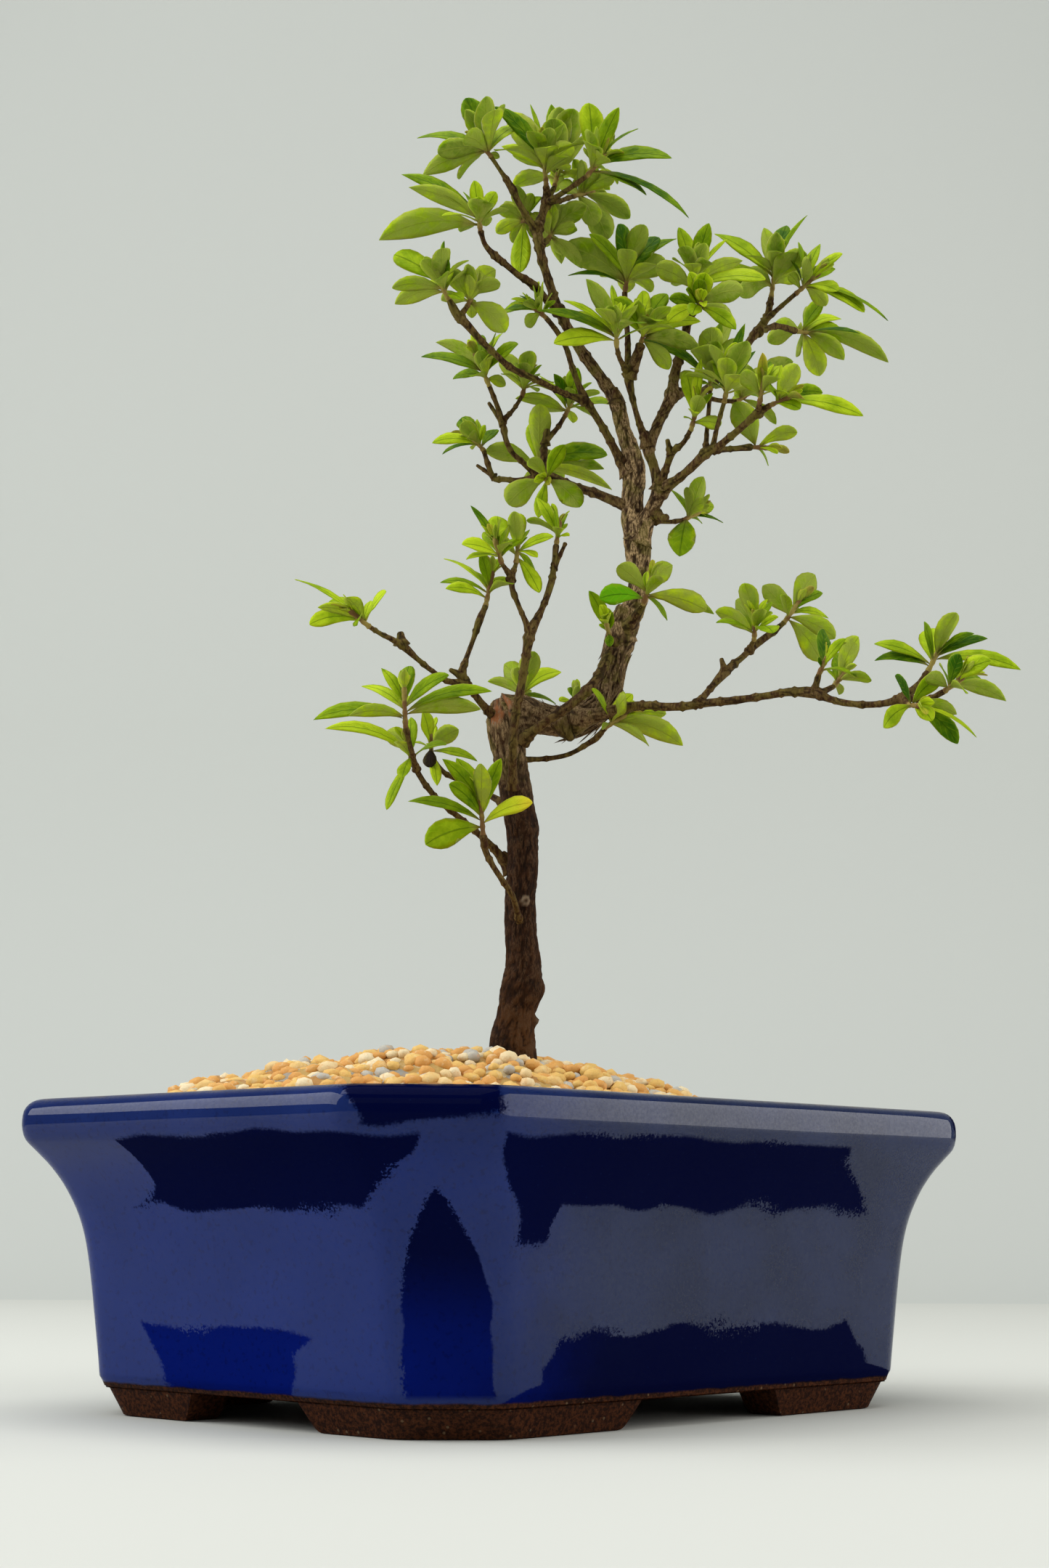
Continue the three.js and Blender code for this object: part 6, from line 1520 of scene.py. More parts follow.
@dataclass
class Wood:
    """The trunk, its sharp elbow, the branches and the twigs, with their bark.

    Every limb is a tube round its curve whose radius follows the drawn one. Bark relief
    comes from ridged noise drawn out along the limb, deeper the thicker it is.
    """

    workshop: Workshop
    layout: Layout
    finish: BarkFinish = BarkFinish()
    fissure_width: float = 1.5
    fissure_length: float = 4.4
    fissure_depth: float = 0.10
    fissure_edges: Pair = (0.55, 0.98)
    fissure_bend: float = 0.55
    lumpiness: float = 0.11
    lump_length: float = 2.6
    fineness: float = 0.022
    fine_grain: tuple[float, float, float] = (3.1, 3.1, 4.2)
    young_radii: Pair = (1.3, 2.6)
    scar_pitch: float = 6.5
    scar_height: float = 0.34
    facets_per_radius: float = 9.5
    fewest_facets: int = 10
    most_facets: int = 72
    collar: float = 0.75
    collar_length: float = 1.3
    end_round: tuple[Pair, ...] = ((0.42, 0.90), (0.72, 0.62), (0.85, 0.0))
    full_girth: float = 7.0
    thick_from: float = 3.0
    ring_spacing: Pair = (1.1, 0.95)
    strands: int = 130
    strands_along: Pair = (3.0, 52.0)
    strand_length: Pair = (5.0, 12.0)
    strand_lift: Pair = (0.5, 1.6)
    strand_radius: Pair = (0.20, 0.42)
    knots: tuple[Knot, ...] = (
        Knot((5.6, 154.5, -4.4), 0.55, 0.55, 1.0, 0.9),
        Knot((6.0, 150.0, -4.6), 1.7, -0.7),
        Knot((8.6, 117.0, -1.0), 1.5, 1.5, 0.0, 0.35),
        Knot((9.0, 126.5, -1.5), 3.0, 1.4),
        Knot((-4.9, 105.5, -2.0), 2.2, 1.3),
        Knot((-1.0, 163.0, -3.0), 2.4, 0.7),
        Knot((8.0, 178.0, -1.0), 2.6, 0.6),
    )
    cut_towards: tuple[float, float, float] = (-0.52, 0.34, -0.78)
    cut_from: tuple[float, float, float] = (-2.2, 211.4, 0.4)
    cut_depth: float = 4.5
    cut_fades: Pair = (12.0, 9.0)

    def around(self, limb: Limb) -> int:
        """How many points go round a limb, more for a thick one."""
        return int(np.clip(round(limb.radii.max() * self.facets_per_radius),
                           self.fewest_facets, self.most_facets))

    def relief(self, limb: Limb, angles: Array, seed: int) -> tuple[Array, Array]:
        """How far the bark stands out at each point of a limb, and how deep its fissures are.

        The fissures are ridged noise on (cos a, sin a) r / width, along / length; lumps are
        soft noise of about the limb's own size; young wood has rings at its leaf scars.

        Args:
            limb: The limb.
            angles: Angles round each step, steps x points.
            seed: A number of the limb's own.

        Returns:
            The relief in millimetres, and fissures from 0 to 1.
        """
        radius = limb.radii[:, None]
        along = limb.along[:, None] + 0 * angles
        grain = np.stack([np.cos(angles) * radius / self.fissure_width,
                          np.sin(angles) * radius / self.fissure_width,
                          along / self.fissure_length], axis=-1)
        noise = Noise(seed)
        shifts = [noise.at(grain * 0.6 + 9), noise.at(grain * 0.6 + 31), 0 * along]
        bent = grain + self.fissure_bend * np.stack(shifts, axis=-1)
        fissure = smooth_step(*self.fissure_edges, noise.ridged(bent, 3))
        turns = [np.cos(angles), np.sin(angles), along / (self.lump_length * radius)]
        lump = noise.layered(np.stack(turns, axis=-1) + 5, 2)
        fine = noise.layered(grain * np.array(self.fine_grain) + 77, 2)
        phase = along / self.scar_pitch + draw(float(seed)) + 0.22 * np.sin(along * 0.41 + seed)
        scars = np.maximum(0, np.cos(2 * math.pi * phase)) ** 10
        youth = 1 - smooth_step(*self.young_radii, radius)
        height = (self.fissure_depth * radius * (0.30 - fissure) * (0.45 + 0.55 * (1 - youth))
                  + self.lumpiness * radius * lump
                  + self.fineness * (radius + 1.2) * fine
                  + self.scar_height * radius * youth * scars)
        return height, fissure

    def tube(self, limb: Limb, seed: int, collar: bool) -> Surface:
        """A limb's bark, with a collar at its root and a rounded end.

        The collar widens the radius by 1 + collar * exp(-along / (collar_length * r)).

        Args:
            limb: The limb.
            seed: A number of the limb's own.
            collar: Whether it springs from another limb.

        Returns:
            The bark, with its fissures and girth marked.
        """
        around = self.around(limb)
        angles = np.linspace(0, 2 * math.pi, around, endpoint=False)[None] + 0 * limb.along[:, None]
        height, fissure = self.relief(limb, angles, seed)
        reach = limb.radii
        if collar:
            reach = reach * (1 + self.collar * np.exp(-limb.along / (self.collar_length * limb.radii)))
        body = limb.centres[:, None] + limb.radial(angles) * (reach[:, None] + height)[..., None]
        end = np.array(self.end_round)
        tip = limb.centres[-1] + limb.heading[-1] * limb.radii[-1] * end[:, :1]
        cap = (tip[:, None] + limb.radial(angles)[-1:] * (reach[-1] + height[-1])[None, :, None]
               * end[:, 1][:, None, None])
        root = np.broadcast_to(limb.centres[0], (1, around, 3))
        rings = np.concatenate([root, body, cap])
        grow = np.concatenate([[0], np.arange(len(limb.radii)), [len(limb.radii) - 1] * 3])
        girth = np.broadcast_to(limb.radii[grow][:, None] / self.full_girth, rings.shape[:2])
        return skin(rings[None], {"fissure": fissure[grow][None], "girth": girth[None]})

    def knotted(self, bark: Surface) -> Surface:
        """Raises the knots and scars: each point moves away from the trunk's line by
        height * exp(-((d - ring) / radius)^2), d being its distance from the knot."""
        limb = Limb(SHOOTS[0], self.layout, 3.0)
        nearest = np.argmin(np.abs(bark.points[:, 2:3] - limb.centres[None, :, 2]), axis=1)
        outward = unit((bark.points - limb.centres[nearest]) * np.array([1.0, 1.0, 0.15]))
        scar = np.zeros(len(bark.points))
        moved = bark.points.copy()
        for knot in self.knots:
            middle = self.layout.place(np.array(knot.place))
            offset = np.linalg.norm(bark.points - middle, axis=1)
            bell = np.exp(-((offset - knot.ring) / knot.radius) ** 2)
            moved += outward * (knot.height * bell)[:, None]
            scar = np.maximum(scar, knot.scar * smooth_step(0.35, 0.85, bell))
        bark.points = moved
        bark.marks["scar"] = scar
        return bark

    def sawn(self, bark: Surface) -> Surface:
        """Flattens the trunk's shoulder where a limb was sawn off.

        What lies beyond a plane is moved back onto it along the plane's normal. The plane
        is cut_depth beyond cut_from, and faces [across, up, away] as cut_towards says.
        """
        layout = self.layout
        normal = unit(np.array(self.cut_towards) @ [layout.across, layout.upward, layout.away])
        offset = bark.points - layout.place(np.array(self.cut_from))
        beyond = offset @ normal - self.cut_depth
        near = smooth_step(*self.cut_fades, np.linalg.norm(offset, axis=1))
        bark.points = bark.points - normal * (np.maximum(beyond, 0) * near)[:, None]
        bark.marks["sawn"] = smooth_step(-0.5, 0.15, beyond) * near
        return bark

    def fibres(self, limb: Limb, low: float, high: float) -> Surface:
        """Loose strands of bark along a stretch of a limb, their ends standing off it.

        Each strand is a thin tube whose distance from the bark is lift * |2t - 1.2|^3 along
        its own length t, on a side of the limb that drifts with t. Its length, lift and
        radius are each a least value and what chance adds to it.

        Args:
            limb: The limb they lie on.
            low: Where the stretch starts, along the limb.
            high: Where it ends.

        Returns:
            All strands.
        """
        number = np.arange(self.strands).astype(float)
        chance = np.column_stack([draw(number * 2.3 + 0.61 * k + 8) for k in range(7)])
        length = ranged(self.strand_length, chance[:, 0])
        start = low + (high - low) * chance[:, 1] - length / 2
        t = np.linspace(0, 1, 9)
        along = np.clip(start[:, None] + length[:, None] * t, 0, limb.along[-1])
        angle = (chance[:, 2] * 2 * math.pi)[:, None] + (chance[:, 3] - 0.5)[:, None] * 1.6 * t
        centre, radius, sideways, turned = limb.at(along)
        outward = sideways * np.cos(angle)[..., None] + turned * np.sin(angle)[..., None]
        lift = ranged(self.strand_lift, chance[:, 4] ** 2)[:, None] * np.abs(2 * t - 1.2) ** 3
        path = centre + outward * (radius * 1.01 + lift)[..., None]
        heading = unit(np.gradient(path, axis=1))
        flat = unit(np.cross(heading, outward))
        up = np.cross(flat, heading)
        thick = ranged(self.strand_radius, chance[:, 5])[:, None]
        thick = thick * np.sqrt(np.maximum(1 - (2 * t - 1) ** 4, 0.0))
        corner = np.linspace(0, 2 * math.pi, 5, endpoint=False)
        rings = (path[:, :, None] + up[:, :, None] * (np.cos(corner) * 0.55 * thick[..., None])[..., None]
                 + flat[:, :, None] * (np.sin(corner) * thick[..., None])[..., None])
        shade = np.broadcast_to(chance[:, 6][:, None, None] * 0.7, rings.shape[:3])
        return skin(rings[:, :, ::-1], {"fissure": shade, "girth": np.full(rings.shape[:3], 0.6)})

    def build(self) -> bpy.types.Object:
        """Builds all limbs as one piece."""
        parts = []
        for number, shoot in enumerate(SHOOTS):
            thick = max(point[3] for point in shoot.points) > self.thick_from
            limb = Limb(shoot, self.layout, self.ring_spacing[0 if thick else 1])
            bark = self.tube(limb, 31 + number, number > 1)
            if thick:
                bark = self.sawn(self.knotted(bark))
            parts.append(bark)
        elbow = Limb(SHOOTS[1], self.layout, 1.0)
        parts.append(self.fibres(elbow, *self.strands_along))
        mesh = self.workshop.mesh("azalea_wood", joined(parts))
        piece = self.workshop.place("azalea_wood", mesh, self.finish.make(), Slot.BARK)
        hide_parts("wood")
        return piece


@dataclass(frozen=True)
class Blade:
    """One leaf to be made: where it springs from and ends, and how it looks.

    Attributes:
        base, tip: Its ends in space.
        width: Its greatest width.
        face: The direction its upper face looks.
        seed: A number of its own.
        tone: 0 for a dark leaf to 1 for a fresh one.
        yellowed, dried: How far it has turned.
    """

    base: Array
    tip: Array
    width: float
    face: Array
    seed: float
    tone: float = 0.5
    yellowed: float = 0.0
    dried: float = 0.0


@dataclass(frozen=True)
class Tinge:
    """A leaf that has turned, told by where its tip was drawn."""

    tip: Pair
    yellowed: float = 0.0
    dried: float = 0.0
    tone: float | None = None


@dataclass
class Foliage:
    """The leafy green ends of the shoots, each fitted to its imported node.

    A leaf is a closed blade along the curve (1-t)^2 base + 2t(1-t) control + t^2 tip, whose
    control point is lifted by arch * length. Its half width goes with t^a (1-t)^b, which is
    widest at a / (a + b), and it is folded up along its midrib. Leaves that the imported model
    has keep their places; others fill each whorl up, and young ones stand round its bud.
    Lengths, tilts and tones given in pairs are a least value and what chance adds to it.
    """

    workshop: Workshop
    layout: Layout
    finish: LeafFinish = LeafFinish()
    arch: float = 0.22
    arch_varies: Pair = (0.75, 0.5)
    twist: float = 0.7
    rise_power: Pair = (1.20, 0.35)
    fall_power: Pair = (0.58, 0.24)
    slender_from: Pair = (0.42, 0.24)
    stalk: Pair = (0.42, 0.10)
    stalk_to: float = 0.3
    fold: float = 0.16
    fold_varies: Pair = (0.7, 0.6)
    thickness: float = 0.34
    curl: float = 0.08
    breadth: float = 1.13
    widest_share: float = 0.50
    tones: Pair = (0.15, 0.75)
    low_fresh: float = 0.2
    low_below: float = 270.0
    right_from: float = 75.0
    right_fresh: float = -0.3
    stalk_drop: float = 0.28
    stem_radius: float = 0.72
    stem_gap: float = 0.3
    bud: tuple[Pair, ...] = ((0.5, 1.15), (1.2, 1.25), (2.0, 0.9), (2.7, 0.45), (3.1, 0.0))
    natural_length: Pair = (14.0, 8.0)
    hidden_share: Pair = (0.6, 0.35)
    hidden_length: Pair = (11.0, 6.0)
    hidden_tilt: Pair = (52.0, 30.0)
    whorl: int = 9
    whorl_growth: float = 1.25
    crown_whorl: int = 15
    crown_above: float = 318.0
    fan_size: int = 9
    filler_tilts: tuple[float, ...] = (38.0, 58.0, 78.0)
    filler_length: Pair = (0.66, 0.34)
    filler_share: Pair = (0.50, 0.45)
    filler_width: Pair = (0.34, 0.10)
    filler_tones: Pair = (0.2, 0.7)
    sideways_cost: float = 0.22
    hanging_cost: float = 0.30
    young: int = 5
    young_tilt: Pair = (14.0, 20.0)
    young_length: Pair = (4.0, 4.5)
    young_tones: Pair = (0.7, 0.5)
    depth_steps: tuple[float, ...] = (0, 3, -3, 6, -6, 9, -9, 12, -12, 16, -16)
    swing_steps: tuple[float, ...] = (0, 20, -20, 40, -40, 65, -65)
    match_within: float = 0.6
    tinge_within: float = 3.0
    rows: tuple[float, ...] = (0.0, 0.08, 0.22, 0.38, 0.54, 0.69, 0.82, 0.92, 0.975, 1.0)
    edge_shown: float = 0.30
    tinges: tuple[Tinge, ...] = (
        Tinge((28.8, 251.8), tone=1.4),
        Tinge((50.0, 333.0), dried=0.8),
        Tinge((81.5, 332.0), yellowed=0.7, dried=0.25),
        Tinge((7.7, 185.5), yellowed=0.85),
        Tinge((-25.0, 196.6), dried=3.0),
    )

    def green_stem(self, shoot: Shoot) -> tuple[Array, Array]:
        """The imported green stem's two ends: a gap beyond the wood, and the bud."""
        points = self.layout.place(self.layout.deepened(np.array(shoot.points)[-2:, :3]))
        tip = self.layout.place(self.layout.deepened(np.array(shoot.stem)))
        heading = unit(points[1] - points[0])
        radius = max(0.95, shoot.points[-1][3])
        cosine = np.clip(heading @ unit(tip - points[1]), -1, 1)
        start = points[1] + heading * (self.stem_gap + radius * math.sin(math.acos(cosine)))
        return start, tip

    def turned_face(self, chord: Array, turn: float) -> Array:
        """The upper face's direction: turn 1 shows it to the front, 0 an edge, -1 the underside."""
        front = -self.layout.away
        front = unit(front - chord * (chord @ front))
        level = np.cross(chord, front)
        level = level if level[2] >= 0 else -level
        angle = turn * math.pi / 2
        return level * math.cos(angle) + front * math.sin(angle)

    def seen_tips(self, shoot: Shoot, leaf: tuple[float, ...], seed: int,
                  others: tuple[tuple[float, ...], ...]) -> tuple[float, Array]:
        """Where along the stem a drawn leaf springs, and the places its tip may have.

        Args:
            shoot: Its shoot.
            leaf: The leaf's row.
            seed: Its number.
            others: The leaves it is ranked among by how far up the stem their tips lie.

        Returns:
            The share of the stem, and the tips in order of preference.
        """
        start = self.layout.deepened(np.array(shoot.points[-1][:3]))
        stem = self.layout.deepened(np.array(shoot.stem))
        run = (stem - start)[:2]
        rank = [((np.array(row[:2]) - start[:2]) @ run) / (run @ run) for row in (*others, leaf)]
        lower = sum(value < rank[-1] for value in rank[:-1])
        share = 0.45 + 0.52 * (lower + 0.5) / len(others)
        origin = start + share * (stem - start)
        shown = math.hypot(leaf[0] - origin[0], leaf[1] - origin[1])
        natural = ranged(self.natural_length, draw(seed))
        hidden = math.sqrt(max(0.0, natural ** 2 - shown ** 2)) * (1 - 0.75 * abs(leaf[3]))
        lean = min(hidden, 0.7 * shown) * (-1 if draw(seed + 0.5) < 0.5 else 1)
        drawn = [[leaf[0], leaf[1], origin[2] + lean + step] for step in self.depth_steps]
        return share, self.layout.place(np.array(drawn))

    def hidden_tips(self, ends: tuple[Array, Array], order: int,
                    seed: int) -> tuple[float, Array, Array, float]:
        """The same for a leaf that the front view hides, with its faces and length."""
        share = ranged(self.hidden_share, draw(seed))
        base = ends[0] + share * (ends[1] - ends[0])
        axis = unit(ends[1] - ends[0])
        outward = self.layout.away * (-1 if order % 2 else 1)
        outward = unit(outward - axis * (axis @ outward))
        tilt = math.radians(ranged(self.hidden_tilt, draw(seed + 0.3)))
        length = ranged(self.hidden_length, draw(seed + 0.6))
        swings = np.radians(np.array(self.swing_steps) + 40 * (draw(seed + 0.8) - 0.5))
        around = rotated(outward[None], axis, swings)
        direction = axis * math.cos(tilt) + around * math.sin(tilt)
        faces = unit(axis - direction * (direction @ axis)[:, None])
        return share, base + direction * length, faces, length

    def blades(self, shoot: Shoot, order: int) -> list[Blade]:
        """All leaves of a shoot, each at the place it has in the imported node.

        Args:
            shoot: The shoot.
            order: Its place among the shoots that bear leaves.

        Returns:
            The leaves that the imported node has, and the finer ones.
        """
        start, end = self.green_stem(shoot)
        packed = self.workshop.node_points(f"spray_{shoot.name}")
        found = []

        def add(share: float, tips: Array, width: float, face: Array | None, turn: float,
                seed: float, exact: bool, drawn: Pair | None) -> None:
            """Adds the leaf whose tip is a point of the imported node, if there is one.

            Args:
                share: Where it springs, as a share of the stem.
                tips: The places that its tip may have.
                width: Its greatest width.
                face: Where its upper face looks for each tip, or None to go by turn.
                turn: How far it shows its upper face to the front.
                seed: A number of its own.
                exact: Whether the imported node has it.
                drawn: Where its tip was drawn, if it was.
            """
            gaps = np.linalg.norm(packed[None] - tips[:, None], axis=2).min(axis=1)
            choice = int(np.argmin(gaps)) if exact else 0
            if exact and gaps[choice] > self.match_within:
                return
            axis_point = start + (share - self.stalk_drop) * (end - start)
            chord = unit(tips[choice] - axis_point)
            shown = math.copysign(self.edge_shown + (1 - self.edge_shown) * abs(turn), turn)
            looks = face[choice] if face is not None else self.turned_face(chord, shown)
            tinge = next((t for t in self.tinges if drawn is not None
                          and math.dist(t.tip, drawn) < self.tinge_within), Tinge((0, 0)))
            side = self.right_fresh if tips[choice] @ self.layout.across >= self.right_from else 1.0
            fresh = self.low_fresh * side * (tips[choice][2] < self.low_below)
            tone = ranged(self.tones, draw(seed + 0.13)) + fresh
            tone = tinge.tone if tinge.tone is not None else tone
            found.append(Blade(axis_point + 0.1 * chord, tips[choice], width, looks, seed,
                               tone, tinge.yellowed, tinge.dried))

        for number, leaf in enumerate(shoot.leaves):
            seed = 40 * order + number
            share, tips = self.seen_tips(shoot, leaf, seed, shoot.leaves)
            add(share, tips, leaf[2], None, leaf[3], seed, True, leaf[:2])
        share, tips, faces, length = self.hidden_tips((start, end), 0, 40 * order + 20)
        add(share, tips, 0.30 * length, faces, 0.0, 40 * order + 20, True, None)
        for number, leaf in enumerate(shoot.small_leaves):
            seed = 40 * order + 30 + number
            share, tips = self.seen_tips(shoot, leaf, seed, (*shoot.leaves, leaf))
            add(min(share + 0.1, 0.98), tips[:1], leaf[2], None, leaf[3], seed, False, leaf[:2])
        found += self.fillers(found, (start, end), 40.0 * order)
        return found + self.young_leaves((start, end), 40.0 * order)

    def fan(self, axis: Array, tilts: Array, turn: float) -> Array:
        """Directions round an axis, alike for each tilt in degrees: axis cos + around sin."""
        sideways = unit(np.cross(axis, self.layout.away + 0.3 * self.layout.across))
        azimuth = np.tile(np.arange(self.fan_size) * 2 * math.pi / self.fan_size + turn, len(tilts))
        around = rotated(np.broadcast_to(sideways, (len(azimuth), 3)), axis, azimuth)
        tilt = np.radians(np.repeat(tilts, self.fan_size))[:, None]
        return axis * np.cos(tilt) + around * np.sin(tilt)

    def fillers(self, found: list[Blade], ends: tuple[Array, Array], seed: float) -> list[Blade]:
        """Leaves that fill a whorl up to its full number.

        Each takes, of a fan of directions, the one furthest from all leaves so far, where
        pointing sideways in the front view and hanging down count against it.

        Args:
            found: The leaves that the whorl has.
            ends: The green stem's two ends.
            seed: The shoot's number.

        Returns:
            The new leaves.
        """
        axis = unit(ends[1] - ends[0])
        heads = [unit(blade.tip - blade.base) for blade in found]
        reach = float(np.median([np.linalg.norm(blade.tip - blade.base) for blade in found]))
        added = []
        sparse = min(self.whorl, math.ceil(self.whorl_growth * len(found)))
        full = self.crown_whorl if ends[1][2] > self.crown_above else sparse
        for number in range(full - len(found)):
            own = seed + 21 + number
            fan = self.fan(axis, np.array(self.filler_tilts), 2.4 * number + own)
            crowding = (fan @ np.array(heads).T).max(axis=1)
            score = (crowding + self.sideways_cost * np.abs(fan @ self.layout.across)
                     + self.hanging_cost * np.maximum(-fan @ self.layout.upward, 0))
            direction = fan[np.argmin(score)]
            length = reach * ranged(self.filler_length, draw(own + 0.6))
            share = ranged(self.filler_share, draw(own + 0.2)) - self.stalk_drop
            base = ends[0] + share * (ends[1] - ends[0])
            face = unit(axis - direction * (direction @ axis))
            width = length * ranged(self.filler_width, draw(own))
            added.append(Blade(base, base + direction * length, width, face, own,
                               ranged(self.filler_tones, draw(own + 0.13))))
            heads.append(direction)
        return added

    def young_leaves(self, ends: tuple[Array, Array], seed: float) -> list[Blade]:
        """Short upright leaves round the bud, a golden angle apart."""
        axis = unit(ends[1] - ends[0])
        added = []
        for number in range(self.young):
            own = seed + 34 + number
            tilt = np.array([ranged(self.young_tilt, draw(own + 0.4))])
            direction = self.fan(axis, tilt, GOLDEN_ANGLE * number + own)[0]
            length = ranged(self.young_length, draw(own + 0.7))
            base = ends[1] + axis * 0.3
            face = unit(axis - direction * (direction @ axis))
            added.append(Blade(base, base + direction * length, 0.34 * length, face, own,
                               ranged(self.young_tones, draw(own)),
                               dried=0.5 * (draw(own + 0.9) > 0.62)))
        return added

    def leaf_surface(self, blades: list[Blade]) -> Surface:
        """Closed leaf blades with eight points round each row.

        Every row's points are set out on its own edgeway and normal directions, at the
        curve's point for t; the midrib is sunk above and raised below.

        Args:
            blades: The leaves to be made.

        Returns:
            All of them, with tone, yellowed, dried, twig and underside marked.
        """
        def column(name: str) -> Array:
            """One value of all leaves, a row for each."""
            return np.array([getattr(blade, name) for blade in blades], float)

        base, tip, face, seed = (column(name) for name in ("base", "tip", "face", "seed"))
        length = np.linalg.norm(tip - base, axis=1)
        width = np.minimum(column("width") * self.breadth, self.widest_share * length)
        chord = unit(tip - base)
        upward = self.layout.upward
        lift = upward - chord * (chord @ upward)[:, None]
        bend = self.arch * ranged(self.arch_varies, draw(seed + 0.21))
        control = (base + tip) / 2 + lift * (bend * length)[:, None]
        t = np.array(self.rows)
        s = t[None, :, None]
        middle = ((1 - s) ** 2 * base[:, None] + 2 * s * (1 - s) * control[:, None]
                  + s ** 2 * tip[:, None])
        heading = unit(2 * (1 - s) * (control - base)[:, None] + 2 * s * (tip - control)[:, None])
        side = unit(np.cross(chord, face))[:, None] + 0 * heading
        normal = unit(np.cross(side, heading))
        edgeway = np.cross(heading, normal)
        twist = ((draw(seed + 0.57) - 0.5) * self.twist)[:, None] * (t ** 2)[None]
        normal, edgeway = (normal * np.cos(twist)[..., None] + edgeway * np.sin(twist)[..., None],
                           edgeway * np.cos(twist)[..., None] - normal * np.sin(twist)[..., None])
        slender = smooth_step(*self.slender_from, width / length)
        rise_power = (ranged(self.rise_power, draw(seed + 0.33)) - 0.15 * slender)[:, None]
        fall_power = (ranged(self.fall_power, draw(seed + 0.44)) + 0.25 * slender)[:, None]
        widest = rise_power / (rise_power + fall_power)
        shape = (t[None] / widest) ** rise_power * ((1 - t[None]) / (1 - widest)) ** fall_power
        stalk = np.where(t < self.stalk_to, *self.stalk)[None]
        reach = np.maximum(shape * width[:, None] / 2, stalk)
        u = np.array([1.0, 0.52, 0.0, -0.52, -1.0, -0.52, 0.0, 0.52])
        upper = np.array([0.0, 1.0, 1.0, 1.0, 0.0, -1.0, -1.0, -1.0])
        wave = (self.curl * reach[..., None] * np.abs(u)
                * np.sin(t[None, :, None] * 9 + (seed * 2.4)[:, None, None] + 1.7 * np.sign(u)))
        fold = self.fold * ranged(self.fold_varies, draw(seed + 0.9))[:, None, None]
        rise = fold * reach[..., None] * np.abs(u) ** 1.2 + wave
        fleshy = self.thickness / 2 * (1 + 1.1 * np.exp(-(t / 0.16) ** 2))
        body = upper * fleshy[None, :, None] * (1 - 0.45 * np.abs(u))
        rings = (middle[:, :, None] + edgeway[:, :, None] * (reach[..., None] * u)[..., None]
                 + normal[:, :, None] * (rise + body)[..., None])
        ones = np.ones(rings.shape[:3])
        uv = np.stack([0.5 + 0.5 * u * ones, t[None, :, None] * ones], axis=-1)
        tip_share = smooth_step(0.45, 1.0, t)[None, :, None]
        marks = {name: column(name)[:, None, None] * ones for name in ("tone", "yellowed", "dried")}
        marks["yellowed"] *= 0.2 + 0.8 * tip_share
        marks["dried"] *= 0.4 + 0.6 * tip_share
        marks["twig"] = smooth_step(0.24, 0.03, t)[None, :, None] * 0.75 * ones
        under = np.array([0.0, 0.0, 0.0, 0.0, 1.0, 1.0, 1.0, 1.0])
        return skin(rings, marks, {"underside": under}, uv)

    def stem_surface(self, shoot: Shoot, order: int) -> Surface:
        """The green stem from inside the wood's end to its bud, swollen where leaves spring.

        Args:
            shoot: The shoot that it ends.
            order: Its place among the shoots that bear leaves.

        Returns:
            The stem and bud as one closed body.
        """
        last = self.layout.place(self.layout.deepened(np.array(shoot.points[-1][:3])))
        start, end = self.green_stem(shoot)
        knots = np.array([[*last, shoot.points[-1][3] * 0.9], [*((start + last) / 2), 0.85],
                          [*(start + 0.5 * (end - start)), self.stem_radius],
                          [*end, self.stem_radius * 1.1]])
        curve = spline(knots, 0.9)
        heading = unit(np.gradient(curve[:, :3], axis=0))
        reference = self.layout.away if abs(heading @ self.layout.away).max() < 0.9 else self.layout.across
        sideways = unit(reference - heading * (heading @ reference)[:, None])
        turned = np.cross(heading, sideways)
        number = np.arange(len(curve))
        radius = curve[:, 3] * (1 + 0.16 * np.sin(number * 2.1 + order))
        bud = np.array(self.bud)
        centres = np.vstack([curve[:1, :3], curve[:, :3], curve[-1, :3] + heading[-1] * bud[:, :1]])
        sizes = np.concatenate([[0.0], radius, bud[:, 1] * self.stem_radius])
        pick = np.concatenate([[0], number, [len(curve) - 1] * len(bud)])
        angle = np.linspace(0, 2 * math.pi, 8, endpoint=False)
        rings = (centres[:, None] + sizes[:, None, None]
                 * (sideways[pick][:, None] * np.cos(angle)[None, :, None]
                    + turned[pick][:, None] * np.sin(angle)[None, :, None]))
        ones = np.ones((1, *rings.shape[:2]))
        return skin(rings[None], {"twig": ones, "tone": ones * 0.5}, {"underside": np.zeros(8)},
                    np.zeros((*ones.shape, 2)))

    def build(self) -> list[bpy.types.Object]:
        """Builds every spray as its own piece."""
        material = self.finish.make()
        pieces = []
        leafy = [shoot for shoot in SHOOTS if shoot.stem]
        for order, shoot in enumerate(leafy):
            surface = joined([self.stem_surface(shoot, order),
                              self.leaf_surface(self.blades(shoot, order))])
            mesh = self.workshop.mesh(f"leaves_{shoot.name}", surface)
            piece = self.workshop.place(f"leaves_{shoot.name}", mesh, material, Slot.LEAF)
            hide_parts(f"spray_{shoot.name}")
            pieces.append(piece)
        return pieces


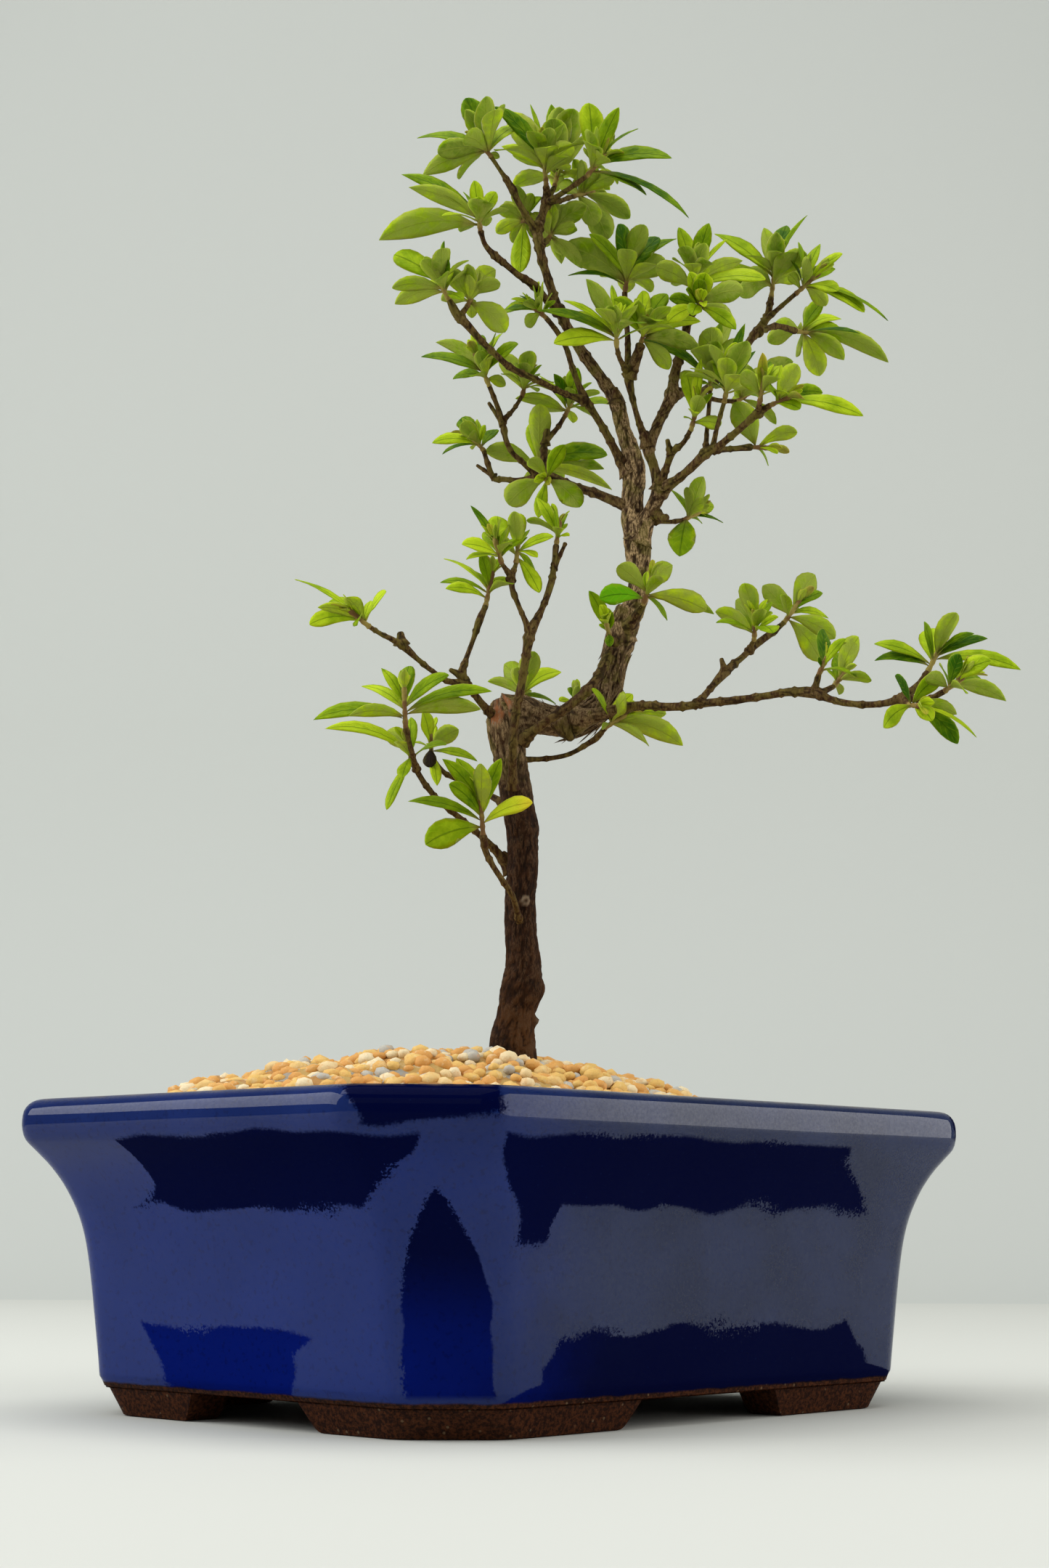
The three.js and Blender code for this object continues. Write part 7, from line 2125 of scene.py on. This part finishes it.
@dataclass
class Studio:
    """A pale floor that curves up into a backdrop, soft lights, and the camera.

    A light's row is its name, its middle in millimetres [across, up, away], its width and
    height in metres, how bright its face is, and its colour.
    """

    workshop: Workshop
    layout: Layout
    floor_finish: StudioFinish = StudioFinish("floor_paint", (0.60, 0.605, 0.56))
    backdrop_finish: StudioFinish = StudioFinish("backdrop_paint", (0.465, 0.48, 0.450), 0.18)
    behind: float = 1500.0
    in_front: float = 2600.0
    backdrop_height: float = 3200.0
    bend: float = 500.0
    half_width: float = 4000.0
    lit_height: float = 0.16
    lights: tuple[tuple[str, Colour, Pair, float, Colour], ...] = (
        ("soft_right", (1500, 520, -150), (1.7, 1.15), 2.4, (1.0, 0.99, 0.97)),
        ("soft_left", (-1400, 900, -150), (1.5, 1.1), 3.6, (0.96, 0.98, 1.0)),
        ("soft_top", (-150, 1900, -250), (1.8, 1.8), 2.6, (1.0, 1.0, 1.0)),
        ("front_fill", (-250, 900, -1900), (1.2, 0.7), 1.3, (1.0, 0.98, 0.95)),
    )
    air_colour: Colour = (0.82, 0.86, 0.88)
    air_strength: float = 0.35
    focal_length: float = 56.876
    sensor_width: float = 36.0
    pitch: float = 10.0
    roll: float = 0.24

    def backdrop(self) -> bpy.types.Object:
        """One sheet: the floor, a quarter round and an upright backdrop."""
        turn = np.linspace(0, math.pi / 2, 13)
        back = np.concatenate([[-self.in_front], self.behind + self.bend * (np.sin(turn) - 1),
                               [self.behind]])
        high = np.concatenate([[0.0], self.bend * (1 - np.cos(turn)), [self.backdrop_height]])
        spans = np.linspace(-self.half_width, self.half_width, 3)
        points = (back[:, None, None] * self.layout.away + high[:, None, None] * self.layout.upward
                  + spans[None, :, None] * self.layout.across)
        row, column = np.meshgrid(np.arange(len(back) - 1), np.arange(2), indexing="ij")
        first = (row * 3 + column).ravel()
        quads = np.stack([first, first + 1, first + 4, first + 3], axis=1)
        mesh = self.workshop.mesh("studio_floor", Surface(points.reshape(-1, 3), [quads]))
        mesh.materials.append(self.floor_finish.make())
        mesh.materials.append(self.backdrop_finish.make())
        slots = (row.ravel() > 0).astype(np.int32)
        mesh.polygons.foreach_set("material_index", slots)
        floor = bpy.data.objects.new("studio_floor", mesh)
        bpy.context.scene.collection.objects.link(floor)
        return floor

    def light(self, name: str, drawn: tuple[float, float, float], size: Pair,
              radiance: float, tint: Colour) -> bpy.types.Object:
        """A rectangular soft light that faces the tree.

        Args:
            name: Its name.
            drawn: Its middle, in millimetres across, up and away.
            size: Its width and height in metres.
            radiance: How bright its face is.
            tint: Its colour.

        Returns:
            The light.
        """
        data = bpy.data.lights.new(name, "AREA")
        data.shape = "RECTANGLE"
        data.size, data.size_y = size
        data.energy = radiance * math.pi * size[0] * size[1]
        data.color = tint
        lamp = bpy.data.objects.new(name, data)
        layout = self.layout
        place = (layout.across * drawn[0] + layout.upward * drawn[1] + layout.away * drawn[2])
        aim = Vector((0, 0, self.lit_height)) - Vector(place * MILLIMETRE)
        lamp.location = Vector(place * MILLIMETRE + self.workshop.shift)
        lamp.rotation_mode = "QUATERNION"
        lamp.rotation_quaternion = aim.to_track_quat("-Z", "Y")
        bpy.context.scene.collection.objects.link(lamp)
        return lamp

    def camera(self) -> bpy.types.Object:
        """The camera low in front of the pot's corner, tilted up and slightly rolled."""
        pitch, roll = math.radians(self.pitch), math.radians(self.roll)
        right = self.layout.across
        forward = self.layout.away * math.cos(pitch) + self.layout.upward * math.sin(pitch)
        up = np.cross(right, forward)
        rolled_right = right * math.cos(roll) + up * math.sin(roll)
        rolled_up = up * math.cos(roll) - right * math.sin(roll)
        data = bpy.data.cameras.new("camera")
        data.lens = self.focal_length
        data.sensor_width = self.sensor_width
        data.clip_start, data.clip_end = 0.01, 50.0
        camera = bpy.data.objects.new("camera", data)
        place = np.array(self.layout.viewer) * MILLIMETRE + self.workshop.shift
        matrix = np.eye(4)
        matrix[:3] = np.column_stack([rolled_right, rolled_up, -forward, place])
        camera.matrix_world = Matrix(matrix.tolist())
        bpy.context.scene.collection.objects.link(camera)
        bpy.context.scene.camera = camera
        return camera

    def build(self) -> None:
        """Sets the floor, the lights, the surrounding light and the camera."""
        self.backdrop()
        for row in self.lights:
            self.light(*row)
        world = bpy.data.worlds.new("studio_air")
        world.use_nodes = True
        air = world.node_tree.nodes["Background"].inputs
        air["Color"].default_value = (*self.air_colour, 1.0)
        air["Strength"].default_value = self.air_strength
        bpy.context.scene.world = world
        bpy.context.scene.view_settings.view_transform = "Standard"
        self.camera()


def main() -> None:
    """Builds the bonsai piece by piece."""
    logging.basicConfig(level=logging.INFO, format="%(name)s %(message)s")
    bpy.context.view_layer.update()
    workshop = Workshop()
    layout = Layout()
    Studio(workshop, layout).build()
    Pot(workshop).build()
    DrainScreens().build()
    Gravel(workshop).build()
    Wood(workshop, layout).build()
    Foliage(workshop, layout).build()
    bpy.context.view_layer.update()


if __name__ == "__main__":
    main()
